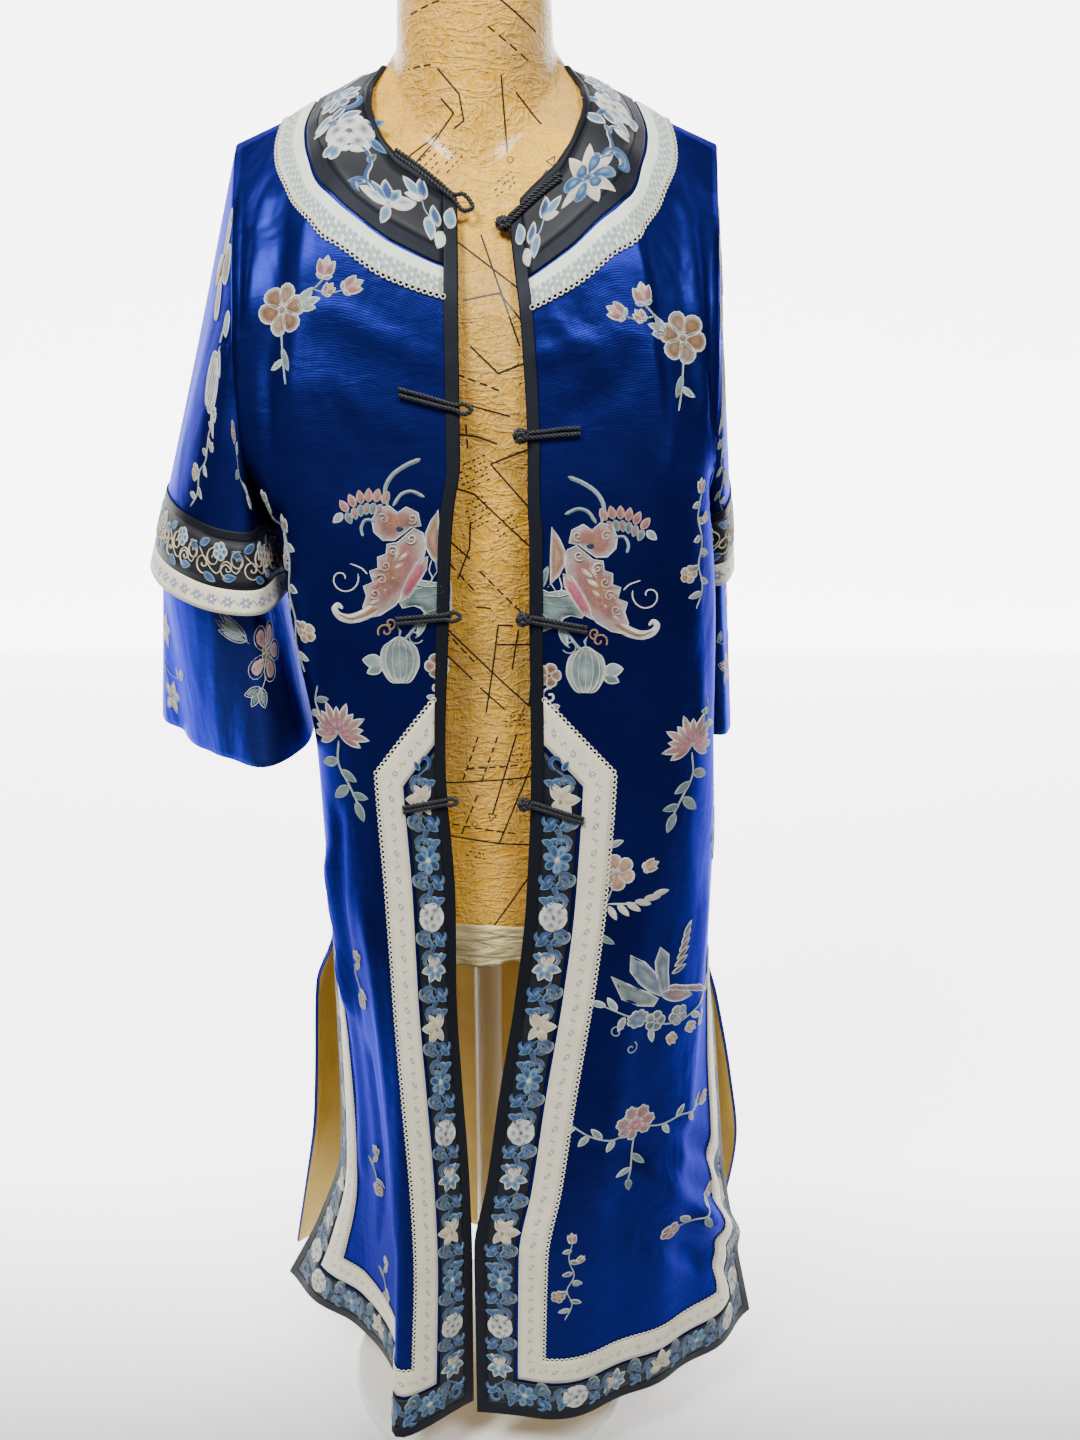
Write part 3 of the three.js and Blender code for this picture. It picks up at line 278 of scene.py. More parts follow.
class Chart:
    """A grid of cloth points that is read at any place of the cut."""

    def finish(self):
        """Directions out of the cloth, from the neighbours of each grid point."""
        du = np.gradient(self.points, axis=1)
        dv = np.gradient(self.points, axis=0)
        self.out = unit(np.cross(du, dv)) * self.turn

    def read(self, row, column):
        """Points and outward directions at fractional grid places."""
        rows, columns = self.points.shape[:2]
        row = np.clip(row, 0, rows - 1.0001)
        column = np.clip(column, 0, columns - 1.0001)
        i, j = row.astype(int), column.astype(int)
        s, t = (row - i)[..., None], (column - j)[..., None]
        result = []
        for grid in (self.points, self.out):
            top = grid[i, j] * (1 - t) + grid[i, j + 1] * t
            low = grid[i + 1, j] * (1 - t) + grid[i + 1, j + 1] * t
            result.append(top * (1 - s) + low * s)
        return result


class Half(Chart):
    """One half of the robe's body: its front at positive down and its back at negative down."""

    STEP = 5
    COLUMNS = 141

    def __init__(self, side, front, back):
        self.side = side
        self.turn = 1 if side == "right" else -1
        downs = np.arange(0, HEM_DOWN + 1, self.STEP, float)
        shares = np.linspace(0, 1, self.COLUMNS)
        parts = []
        for table, name in ((back, "back_" + side), (front, "front_" + side)):
            parts.append(self.panel(table, name, downs, shares))
        self.points = np.concatenate([parts[0][:0:-1], parts[1]])
        self.finish()
        signed = np.concatenate([-downs[:0:-1], downs])
        across = shares[None] * cut_width(signed)[:, None]
        level = np.repeat(signed[:, None], self.COLUMNS, axis=1)
        lift = np.zeros_like(across)
        for line in CREASES["front_" + side]:
            lift += crease(across, level, line) * (level > 0)
        for line in CREASES["back_" + side]:
            lift += crease(across, -level, line) * (level < 0)
        self.points = self.points + self.out * lift[..., None]
        self.finish()

    def panel(self, table, name, downs, shares):
        values = levels(table, downs)
        z, middle, side = values[:, 0], values[:, 1], values[:, 2]
        lifts = [0 * middle, middle * 0.6, middle, (middle + side) / 2, side]
        points = np.stack([np.stack([values[:, 3 + 2 * k], values[:, 4 + 2 * k], z + lifts[k]], axis=1)
                           for k in range(PLAN_POINTS)], axis=1)
        curves = centripetal(points)
        grid = np.stack([along(curve, shares) for curve in curves])
        tangent = np.gradient(grid, axis=1)
        turn = 1 if name in ("front_left", "back_right") else -1
        out = unit(np.stack([tangent[..., 1], -tangent[..., 0], 0 * tangent[..., 0]], axis=2)) * turn
        for start_share, end_share, width, height, start in FOLDS[name]:
            grown = np.clip((downs - start) / (HEM_DOWN - start), 0, 1)
            centre = start_share + (end_share - start_share) * grown
            ease = np.sin(np.pi / 2 * grown)
            ridge = height * ease[:, None] * swell((shares[None] - centre[:, None]) / width)
            grid = grid + out * ridge[..., None]
        return grid

    def at(self, across, down, lift=0.0):
        """Points over the cloth, in millimetres; across below nothing runs on past the front edge."""
        across, down = np.asarray(across, float), np.asarray(down, float)
        row = (down + HEM_DOWN) / self.STEP
        column = np.maximum(across, 0) / cut_width(down) * (self.COLUMNS - 1)
        points, out = self.read(row, column)
        beyond = np.minimum(across, 0)[..., None]
        if np.any(beyond < 0):
            beside, _ = self.read(row, column + 3)
            points = points + unit(beside - points) * beyond
        return points + out * np.asarray(lift, float)[..., None]

    def outward(self, across, down):
        """Directions out of the cloth."""
        row = (np.asarray(down, float) + HEM_DOWN) / self.STEP
        column = np.maximum(across, 0) / cut_width(down) * (self.COLUMNS - 1)
        return unit(self.read(row, column)[1])


class Sleeve(Chart):
    """The upper tier of a sleeve: share of the way round, and height above its free edge."""

    AROUND = 161
    ROWS = 60

    def __init__(self, half):
        side = half.side
        self.turn = 1 if side == "right" else -1
        front = np.concatenate([np.linspace(0, YOKE_FRONT, 40),
                                np.linspace(YOKE_FRONT, UNDERARM_DOWN, 24)[1:]])
        back = -np.concatenate([np.linspace(UNDERARM_DOWN, YOKE_BACK, 24),
                                np.linspace(YOKE_BACK, 0, 40)[1:]])
        seam = np.concatenate([front, back[1:]])
        points = half.at(cut_width(seam), seam)
        away = np.clip((np.abs(seam) - UNDERARM_FROM) / UNDERARM_RUN, 0, 1)
        away = away * away * (3 - 2 * away)
        points[:, 0] += np.sign(points[:, 0]) * UNDERARM_GAP * away
        self.root = along(points, np.linspace(0, 1, self.AROUND))
        self.shares = np.linspace(0, 1, self.AROUND)
        ring = centripetal(np.array([SLEEVE_ENDS[side]["upper"]], float), closed=True)[0]
        self.end = along(ring, self.shares)
        self.side = side
        share = np.linspace(0, 1, self.ROWS)[:, None, None]
        self.points = self.end[None] * (1 - share) + self.root[None] * share
        self.length = np.linalg.norm(self.root - self.end, axis=1)
        self.finish()
        self.close()

    def close(self):
        """The two ends of the way round meet with one direction."""
        mean = unit(self.out[:, 0] + self.out[:, -1])
        self.out[:, 0] = self.out[:, -1] = mean

    def at(self, around, rise, lift=0.0):
        """Points over the sleeve at shares round it and millimetres above its edge."""
        around, rise = np.asarray(around, float), np.asarray(rise, float)
        length = np.interp(around, self.shares, self.length)
        share = np.minimum(np.minimum(rise / length, 0.9 * rise / SLEEVE_ROOT), 1)
        return self.at_share(around, share, lift)

    def at_share(self, around, share, lift=0.0):
        """Points over the sleeve at shares of its length from the edge to the seam."""
        points, out = self.read(share * (self.ROWS - 1), around * (self.AROUND - 1))
        return points + out * np.asarray(lift, float)[..., None]


HALVES = {
    "right": Half("right", FRONT_RIGHT, BACK_RIGHT),
    "left": Half("left", FRONT_LEFT, BACK_LEFT),
}
SLEEVES = {side: Sleeve(half) for side, half in HALVES.items()}


# ---- meshes ----
def make_object(name, points, faces, uv=None, materials=(), face_slots=None, colours=None, smooth=True):
    """A mesh object from points in millimetres, with its uv and thread colours given for each point."""
    mesh = bpy.data.meshes.new(name)
    mesh.from_pydata((np.asarray(points, float) * MM).tolist(), [], faces)
    if uv is not None:
        layer = mesh.uv_layers.new(name="cut")
        corners = np.empty(len(mesh.loops), int)
        mesh.loops.foreach_get("vertex_index", corners)
        layer.data.foreach_set("uv", np.asarray(uv, np.float32)[corners].ravel())
    if colours is not None:
        layer = mesh.color_attributes.new(name="thread", type="FLOAT_COLOR", domain="POINT")
        rgba = np.ones((len(mesh.vertices), 4), np.float32)
        rgba[:, :3] = colours
        layer.data.foreach_set("color", rgba.ravel())
    for material in materials:
        mesh.materials.append(material)
    if face_slots is not None:
        mesh.polygons.foreach_set("material_index", np.asarray(face_slots, np.int32))
    mesh.polygons.foreach_set("use_smooth", np.full(len(mesh.polygons), smooth))
    mesh.update()
    made = bpy.data.objects.new(name, mesh)
    bpy.context.collection.objects.link(made)
    return made


def grid_faces(rows, columns, closed=False, start=0, turned=False):
    """Quads of a grid of points laid row by row."""
    faces = []
    for i in range(rows - 1):
        for j in range(columns if closed else columns - 1):
            k = (j + 1) % columns
            a, b = start + i * columns + j, start + i * columns + k
            face = (a, a + columns, b + columns, b)
            faces.append(face[::-1] if turned else face)
    return faces


def thicken(made, thick, offset, inner_slot=0):
    """Gives a cloth its thickness; offset -1 puts it under the surface and 0 half on each side."""
    wall = made.modifiers.new("thickness", "SOLIDIFY")
    wall.thickness = thick * MM
    wall.offset = offset
    wall.material_offset = inner_slot
    return wall


def weld(made, distance=0.00002):
    """Merges points that fall together."""
    bpy.context.view_layer.objects.active = made
    mesh = made.data
    shape = bmesh.new()
    shape.from_mesh(mesh)
    bmesh.ops.remove_doubles(shape, verts=shape.verts, dist=distance)
    bmesh.ops.dissolve_degenerate(shape, dist=distance, edges=shape.edges)
    shape.to_mesh(mesh)
    shape.free()


def evaluated_copy(source, name):
    """A plain mesh object from a source with a node modifier; the source is removed."""
    graph = bpy.context.evaluated_depsgraph_get()
    graph.update()
    mesh = bpy.data.meshes.new_from_object(source.evaluated_get(graph), preserve_all_data_layers=True,
                                           depsgraph=graph)
    mesh.name = name
    bpy.data.objects.remove(source, do_unlink=True)
    made = bpy.data.objects.new(name, mesh)
    bpy.context.collection.objects.link(made)
    return made


class Sewing:
    """Collects strips and patches of one piece before they become a mesh."""

    def __init__(self):
        self.points, self.uv, self.faces, self.colours = [], [], [], []
        self.count = 0

    def add(self, points, uv, faces, colour=None):
        points = np.asarray(points, float)
        self.points.append(points)
        self.uv.append(np.asarray(uv, float))
        self.faces.extend(tuple(k + self.count for k in face) for face in faces)
        if colour is not None:
            self.colours.append(np.broadcast_to(np.asarray(colour, float), (len(points), 3)))
        self.count += len(points)

    def grid(self, points, uv, turned=False, closed=False):
        rows, columns = points.shape[:2]
        self.add(points.reshape(-1, 3), uv.reshape(-1, 2), grid_faces(rows, columns, closed, 0, turned))

    def build(self, name, materials, **extra):
        colours = np.concatenate(self.colours) if self.colours else None
        return make_object("sewn_" + name, np.concatenate(self.points), self.faces,
                           np.concatenate(self.uv) * MM, materials, colours=colours, **extra)


# ---- paths in the cut, for the edging ----
VENT_SLANT = (345 - 285) / (HEM_DOWN - VENT_TOP)


def border_line(offset, front=True, top=None):
    """Corners of the line at one distance inside the border of a front, or of a back half."""
    rise = math.hypot(1, VENT_SLANT)
    low = HEM_DOWN - offset
    corner = 285 + VENT_SLANT * (low - VENT_TOP) - offset * rise
    end = (285 - offset * rise, VENT_TOP)
    if not front:
        return [(0, low), (corner, low), end]
    first = (offset, top if top is not None else NECK_DOWN + 76.0 + 0.1 * offset)
    return [first, (offset, low), (corner, low), end]


def slant_down(across, distance):
    """Level of the slanted top of the edging at a distance inside its upper border."""
    return across + EDGING_TOP - BINDING + distance * math.sqrt(2)


def walk(line, step):
    """Places along a polyline, each span cut evenly: for each span its share steps."""
    counts = []
    for (x0, y0), (x1, y1) in zip(line[:-1], line[1:]):
        counts.append(max(2, int(math.ceil(math.hypot(x1 - x0, y1 - y0) / step)) + 1))
    return counts


def strip_grid(outer, inner, step=6, lanes=5):
    """Cut places of a strip between two matched polylines, with uv along and across in millimetres."""
    outer, inner = np.array(outer, float), np.array(inner, float)
    middle = (outer + inner) / 2
    counts = walk([tuple(p) for p in middle], step)
    places, uv, gone = [], [], 0.0
    shares = np.linspace(0, 1, lanes)
    for i, count in enumerate(counts):
        t = np.linspace(0, 1, count)
        if i:
            t = t[1:]
        a = outer[i] + (outer[i + 1] - outer[i]) * t[:, None]
        b = inner[i] + (inner[i + 1] - inner[i]) * t[:, None]
        places.append(a[:, None] + (b - a)[:, None] * shares[None, :, None])
        length = np.linalg.norm(middle[i + 1] - middle[i])
        width = np.linalg.norm(np.cross(np.append(outer[i] - inner[i], 0),
                                        np.append(middle[i + 1] - middle[i], 0) / length))
        u = gone + length * t
        uv.append(np.stack(np.broadcast_arrays(u[:, None], (1 - shares)[None] * width), axis=2))
        gone += length
    return np.concatenate(places), np.concatenate(uv)


def collar_reach(cosine):
    """Distance from the neck's middle to the collar's outer circle along a ray."""
    shift = COLLAR_DOWN - NECK_DOWN
    return cosine * shift + np.sqrt((cosine * shift) ** 2 + COLLAR_RADIUS**2 - shift**2)


# columns: degrees from the front round to the back, then the radii of the collar's lines, neck outwards
COLLAR_LINES = np.array([
    (0, 75, 79, 120, 131, 133.5, 152),
    (14, 76, 80.5, 125.5, 137.5, 140, 160),
    (24, 78.5, 83, 130, 142, 144.5, 165),
    (32, 81, 85.5, 133, 144, 146.5, 166),
    (40, 81, 85, 128, 139, 141.5, 159),
    (50, 77, 81, 120, 130.5, 133, 151),
    (62, 72, 76, 112, 122, 124.5, 145),
    (75, 68, 72, 106, 116, 119, 142),
    (90, 68, 72, 103, 114, 117, 140),
    (130, 73, 77, 106, 116, 119, 137),
    (180, 76, 80, 108, 118, 121, 136),
], float)
COLLAR_MARKS = {"neck_piping": (-0.6, 1), "collar_band": (1, 2), "collar_stripe": (2, 3),
                "collar_ribbon": (4, 5)}


def collar_radius(angle, mark):
    """Radius of a collar line; marks count the lines out from the neck, with shares between them."""
    angle, mark = np.broadcast_arrays(np.asarray(angle, float), np.asarray(mark, float))
    lines = levels(COLLAR_LINES, np.degrees(angle).ravel())
    i = np.clip(np.floor(mark.ravel()).astype(int), 0, 4)
    share = mark.ravel() - i
    k = np.arange(len(i))
    return (lines[k, i] + (lines[k, i + 1] - lines[k, i]) * share).reshape(angle.shape)


def collar_place(angle, mark):
    """Cut place on the collar: angle from the front edge round to the back, and mark out from the neck."""
    radius = collar_radius(angle, mark)
    return np.stack([np.sin(angle) * radius, NECK_DOWN + np.cos(angle) * radius], axis=-1)


def collar_start(mark, across):
    """Angle at which a collar line leaves the front binding."""
    angle = 0.05
    for _ in range(20):
        angle = math.asin(across / float(collar_radius(angle, mark)))
    return angle


def on_cloth(half, places, lift):
    """Points over the cloth for cut places (..., 2)."""
    return half.at(places[..., 0], places[..., 1], lift)


def front_lines(kind):
    """Outer and inner polylines of one strip of a front's edging."""
    if kind == "binding":
        return border_line(-0.6), border_line(BINDING)
    if kind == "band":
        outer, inner = border_line(BINDING), border_line(BINDING + BAND)
        outer[0] = (BINDING, slant_down(BINDING, RIBBON + BLUE))
        inner[0] = (BINDING + BAND, slant_down(BINDING + BAND, RIBBON + BLUE))
        return outer, inner
    inner, outer = border_line(EDGING), border_line(EDGING - RIBBON)
    inner[0] = (EDGING, slant_down(EDGING, 0))
    outer[0] = (EDGING - RIBBON, slant_down(EDGING - RIBBON, RIBBON))
    inner.insert(0, (BINDING, slant_down(BINDING, 0)))
    outer.insert(0, (BINDING, slant_down(BINDING, RIBBON)))
    return outer, inner


def back_lines(kind):
    """Outer and inner polylines of one strip of a back half's edging, at minus down."""
    near, far = {"binding": (-0.6, BINDING), "band": (BINDING, BINDING + BAND),
                 "ribbon": (EDGING - RIBBON, EDGING)}[kind]
    return tuple([(x, -y) for x, y in border_line(offset, front=False)] for offset in (near, far))


def body_mesh(half):
    """The body half: rays round the neck to the yoke's border, then rows down the front and the back."""
    fine, arms, rings, rows = 48, 26, 22, 112
    columns = np.linspace(0, SHOULDER, fine + 1)
    ends = [(x, YOKE_FRONT) for x in columns]
    ends += [(SHOULDER, y) for y in np.linspace(YOKE_FRONT, 0, arms)[1:]]
    ends += [(SHOULDER, -y) for y in np.linspace(0, YOKE_BACK, arms)[1:]]
    ends += [(x, -YOKE_BACK) for x in columns[::-1][1:]]
    ends = np.array(ends, float)
    centre = np.array([0, NECK_DOWN], float)
    away = ends - centre
    far = np.linalg.norm(away, axis=1)
    shares = np.linspace(0, 1, rings)[:, None]
    neck = collar_radius(np.arctan2(away[:, 0], away[:, 1]), np.zeros(len(ends)))
    radii = neck + (far[None] - neck) * shares
    yoke = centre + (away / far[:, None])[None] * radii[..., None]
    sewing = Sewing()
    turned = half.side == "left"
    sewing.grid(on_cloth(half, yoke, 0), yoke.copy(), turned=not turned)
    for sign, top in ((1, YOKE_FRONT), (-1, YOKE_BACK)):
        downs = np.linspace(top, HEM_DOWN, rows)
        across = np.linspace(0, 1, fine + 1)[None] * cut_width(downs)[:, None]
        places = np.stack([across, np.repeat(sign * downs[:, None], fine + 1, axis=1)], axis=2)
        sewing.grid(on_cloth(half, places, 0), places.copy(), turned=turned ^ (sign > 0))
    return sewing


# ---- finishes ----
class Finish:
    """A node-based material while it is being built."""

    def __init__(self, name):
        self.material = bpy.data.materials.new(name)
        self.material.use_nodes = True
        self.tree = self.material.node_tree
        self.tree.nodes.clear()
        self.output = self.add("ShaderNodeOutputMaterial")
        self.shader = self.add("ShaderNodeBsdfPrincipled")
        self.tree.links.new(self.shader.outputs[0], self.output.inputs[0])

    def add(self, kind, settings=None, **inputs):
        """Adds a node; inputs named i0, i1… are set by place, others by name, and sockets are linked."""
        node = self.tree.nodes.new(kind)
        for key, value in (settings or {}).items():
            setattr(node, key, value)
        for key, value in inputs.items():
            place = int(key[1:]) if key[0] == "i" and key[1:].isdigit() else key.replace("_", " ")
            self.put(node.inputs[place], value)
        return node

    def put(self, socket, value):
        if isinstance(value, bpy.types.NodeSocket):
            self.tree.links.new(value, socket)
        else:
            socket.default_value = value

    def surface(self, **inputs):
        for key, value in inputs.items():
            self.put(self.shader.inputs[key.replace("_", " ")], value)

    def math(self, operation, a, b=0.0, c=0.0, clamp=False):
        node = self.add("ShaderNodeMath", {"operation": operation, "use_clamp": clamp}, i0=a, i1=b, i2=c)
        return node.outputs[0]

    def place(self, scale=(1, 1, 1)):
        """Object coordinates, stretched."""
        where = self.add("ShaderNodeTexCoord").outputs["Object"]
        return self.add("ShaderNodeMapping", None, Vector=where, Scale=scale).outputs[0]

    def cut(self):
        """Across and along the cloth, in metres, from the cut map."""
        where = self.add("ShaderNodeUVMap", {"uv_map": "cut"}).outputs[0]
        split = self.add("ShaderNodeSeparateXYZ", None, Vector=where)
        return split.outputs[0], split.outputs[1]

    def noise(self, where, scale, detail=3.0, roughness=0.5, distortion=0.0):
        node = self.add("ShaderNodeTexNoise", None, Vector=where, Scale=scale, Detail=detail,
                        Roughness=roughness, Distortion=distortion)
        return node.outputs["Fac"]

    def remap(self, value, low, high, to_low=0.0, to_high=1.0):
        node = self.add("ShaderNodeMapRange", None, Value=value)
        for key, number in (("From Min", low), ("From Max", high), ("To Min", to_low), ("To Max", to_high)):
            node.inputs[key].default_value = number
        return node.outputs[0]

    def blend(self, share, first, second, kind="MIX"):
        node = self.add("ShaderNodeMix", {"data_type": "RGBA", "blend_type": kind})
        self.put(node.inputs[0], share)
        self.put(node.inputs[6], first)
        self.put(node.inputs[7], second)
        return node.outputs[2]

    def relief(self, *layers):
        """Bumps in turn, each (height, strength, distance in metres)."""
        normal = None
        for height, strength, distance in layers:
            node = self.add("ShaderNodeBump", None, Height=height, Strength=strength, Distance=distance)
            if normal is not None:
                self.put(node.inputs["Normal"], normal)
            normal = node.outputs[0]
        self.surface(Normal=normal)

    def thread_lines(self, value, pitch):
        """A wave of one turn for each pitch, in metres, along a coordinate."""
        return self.math("SINE", self.math("MULTIPLY", value, 2 * math.pi / pitch))


def rgba(colour, scale=1.0):
    """A colour property as four numbers, made lighter or darker."""
    return tuple(min(1.0, channel * scale) for channel in colour[:3]) + (1.0,)


SILK_GLINT = (0.11, 0.17, 1.0, 1.0)


def satin(name, colour, edge, thread=0.0007, wrinkle=1.0, gloss=0.34, sheen=0.03, glint=SILK_GLINT,
          level=0.5, metal=0.85):
    """Silk satin: fine threads, slight slubs, soft wrinkles and a lighter bloom on its shoulders."""
    finish = Finish(name)
    across, down = finish.cut()
    spot = finish.place()
    cloud = finish.noise(spot, 5.5, 3.0, 0.5)
    shade = finish.blend(finish.remap(cloud, 0.3, 0.7), rgba(colour, 0.78), rgba(colour, 1.25))
    slub_place = finish.add("ShaderNodeCombineXYZ", None, X=finish.math("MULTIPLY", across, 60.0),
                            Y=finish.math("MULTIPLY", down, 1400.0)).outputs[0]
    slub = finish.noise(slub_place, 1.0, 2.0, 0.6)
    # Painted sheen: the slubs are real, but their tint of up to a tenth towards the edge colour, the satin's
    # bloom, is painted light.
    shade = finish.blend(finish.remap(slub, 0.42, 0.75, 0.0, 0.10), shade, rgba(edge))
    rough = finish.remap(cloud, 0.3, 0.7, gloss - 0.03, gloss + 0.06)
    weave = finish.math("ADD", finish.thread_lines(across, thread), finish.thread_lines(down, thread * 2.2))
    folds = finish.noise(finish.place((1.0, 1.0, 0.42)), 15.0, 3.0, 0.5, 0.5)
    ripple = finish.noise(finish.place((1.0, 1.0, 2.2)), 34.0, 3.0, 0.5, 0.8)
    finish.surface(Base_Color=shade, Roughness=rough)
    finish.surface(Sheen_Weight=sheen, Sheen_Roughness=0.35, Sheen_Tint=rgba(edge))
    finish.surface(IOR=1.5, Specular_IOR_Level=level, Specular_Tint=glint, Metallic=metal)
    finish.relief((folds, 0.8 * wrinkle, 0.007), (ripple, 0.30 * wrinkle, 0.0016), (weave, 0.2, 0.0001),
                  (slub, 0.25, 0.00015))
    return finish.material


def plain_silk(name, colour, edge):
    """Thin plain-woven silk for linings."""
    finish = Finish(name)
    across, down = finish.cut()
    spot = finish.place()
    cloud = finish.noise(spot, 9.0, 3.0, 0.55)
    shade = finish.blend(finish.remap(cloud, 0.3, 0.7), rgba(colour, 0.85), rgba(edge))
    weave = finish.math("MULTIPLY", finish.thread_lines(across, 0.0009), finish.thread_lines(down, 0.0009))
    creases = finish.noise(finish.place((1.0, 1.0, 0.4)), 30.0, 4.0, 0.6, 0.8)
    finish.surface(Base_Color=shade, Roughness=finish.remap(cloud, 0.3, 0.7, 0.42, 0.55))
    finish.surface(Sheen_Weight=0.25, Sheen_Tint=rgba(edge))
    finish.relief((creases, 0.6, 0.004), (weave, 0.3, 0.00012))
    return finish.material


def petals(finish, x, y, radius, count, depth=0.35):
    """A soft mask of a flower of round petals about a place."""
    far = finish.math("SQRT", finish.math("ADD", finish.math("MULTIPLY", x, x),
                                          finish.math("MULTIPLY", y, y)))
    angle = finish.math("ARCTAN2", y, x)
    wave = finish.math("ABSOLUTE", finish.math("COSINE", finish.math("MULTIPLY", angle, count / 2)))
    edge = finish.math("MULTIPLY_ADD", wave, radius * depth, radius * (1 - depth))
    return finish.remap(finish.math("SUBTRACT", edge, far), 0.0, radius * 0.18), far


def centred(finish, value, pitch, shift=0.0):
    """A coordinate that repeats: zero at the middle of each pitch."""
    turned = finish.math("ADD", value, shift)
    return finish.math("SUBTRACT", finish.math("FLOORED_MODULO", turned, pitch), pitch / 2)


def woven_ribbon(name, colour, dark, accent, width, pitch=0.022, figure_size=0.13, leaf_size=1.0):
    """Cream woven ribbon: rows of small flowers, leaves between, borders and a looped outer edge."""
    finish = Finish(name)
    run, side = finish.cut()
    middle = finish.math("SUBTRACT", side, width / 2)
    spot = finish.place()
    cloud = finish.noise(spot, 60.0, 3.0, 0.6)
    shade = finish.blend(finish.remap(cloud, 0.3, 0.7, 0.0, 0.8), rgba(colour, 0.88), rgba(colour, 1.08))
    flower_x = centred(finish, run, pitch)
    flower, far = petals(finish, flower_x, middle, width * figure_size, 6, 0.45)
    heart = finish.remap(far, 0.0006, 0.0014, 1.0, 0.0)
    leaf_x = centred(finish, run, pitch, pitch / 2)
    bend = finish.math("ADD", middle, finish.math("MULTIPLY", finish.math("SINE", finish.math(
        "MULTIPLY", leaf_x, 900.0)), width * 0.07 * leaf_size))
    leaf_far = finish.math("SQRT", finish.math("ADD", finish.math(
        "MULTIPLY", finish.math("MULTIPLY", leaf_x, leaf_x), 0.05 / leaf_size),
                                               finish.math("MULTIPLY", bend, bend)))
    leaf = finish.remap(leaf_far, 0.0005, 0.0012, 1.0, 0.0)
    shade = finish.blend(finish.math("MULTIPLY", leaf, 0.65), shade, rgba(accent))
    shade = finish.blend(finish.math("MULTIPLY", flower, 0.75), shade, rgba(dark))
    shade = finish.blend(heart, shade, rgba(colour, 1.1))
    rim = finish.math("ABSOLUTE", middle)
    line = finish.remap(finish.math("ABSOLUTE", finish.math("SUBTRACT", rim, width * 0.40)), 0.0002, 0.0006,
                        1.0, 0.0)
    dashes = finish.remap(finish.thread_lines(run, 0.0035), -0.1, 0.3)
    shade = finish.blend(finish.math("MULTIPLY", finish.math("MULTIPLY", line, dashes), 0.55), shade,
                         rgba(dark, 1.6))
    weave = finish.math("ADD", finish.thread_lines(run, 0.0008), finish.thread_lines(side, 0.0008))
    figure = finish.math("ADD", flower, leaf)
    finish.surface(Base_Color=shade, Roughness=0.58, Sheen_Weight=0.2)
    finish.relief((weave, 0.3, 0.00015), (figure, 0.5, 0.0003))
    return finish.material


def band_satin(name, colour):
    """The black satin ground of the embroidered bands."""
    finish = Finish(name)
    run, side = finish.cut()
    cloud = finish.noise(finish.place(), 40.0, 3.0, 0.6)
    shade = finish.blend(cloud, rgba(colour, 0.6), rgba(colour, 1.6))
    weave = finish.math("ADD", finish.thread_lines(run, 0.0007), finish.thread_lines(side, 0.0012))
    finish.surface(Base_Color=shade, Roughness=0.5, Specular_IOR_Level=0.3)
    finish.relief((cloud, 0.3, 0.001), (weave, 0.3, 0.00012))
    return finish.material


def embroidery_silk(name):
    """Satin stitch: each patch keeps its own thread colour, with stitches that run across it."""
    finish = Finish(name)
    thread = finish.add("ShaderNodeVertexColor", {"layer_name": "thread"}).outputs[0]
    run, _ = finish.cut()
    stitches = finish.thread_lines(run, 0.0007)
    cloud = finish.noise(finish.place(), 420.0, 2.0, 0.6)
    broad = finish.noise(finish.place(), 90.0, 2.0, 0.6)
    lighter = finish.blend(0.45, thread, (1.0, 1.0, 1.0, 1.0), "SOFT_LIGHT")
    shade = finish.blend(finish.remap(cloud, 0.35, 0.7), thread, lighter)
    shade = finish.blend(finish.remap(broad, 0.35, 0.65, 0.0, 0.3), shade, (0.05, 0.05, 0.08, 1.0),
                         "MULTIPLY")
    # painted shade: the grooves between the stitches are darkened towards black
    shade = finish.blend(finish.remap(stitches, -1.0, 0.2, 0.38, 0.0), shade, (0.02, 0.02, 0.05, 1.0))
    finish.surface(Base_Color=shade, Roughness=0.45, Sheen_Weight=0.15, Specular_IOR_Level=0.4)
    finish.relief((stitches, 0.7, 0.0003), (cloud, 0.35, 0.0004))
    return finish.material


def spun_thread(name, colour, gloss=0.45, light=1.12, deep=0.75):
    """Thread or cord of one colour, with a fine uneven twist."""
    finish = Finish(name)
    fine = finish.noise(finish.place(), 900.0, 2.0, 0.6)
    cloud = finish.noise(finish.place(), 60.0, 3.0, 0.6)
    shade = finish.blend(finish.remap(fine, 0.35, 0.7), rgba(colour, deep), rgba(colour, light))
    finish.surface(Base_Color=shade, Roughness=finish.remap(cloud, 0.3, 0.7, gloss - 0.05, gloss + 0.08))
    finish.surface(Sheen_Weight=0.1, Specular_IOR_Level=0.4)
    finish.relief((fine, 0.4, 0.0002))
    return finish.material


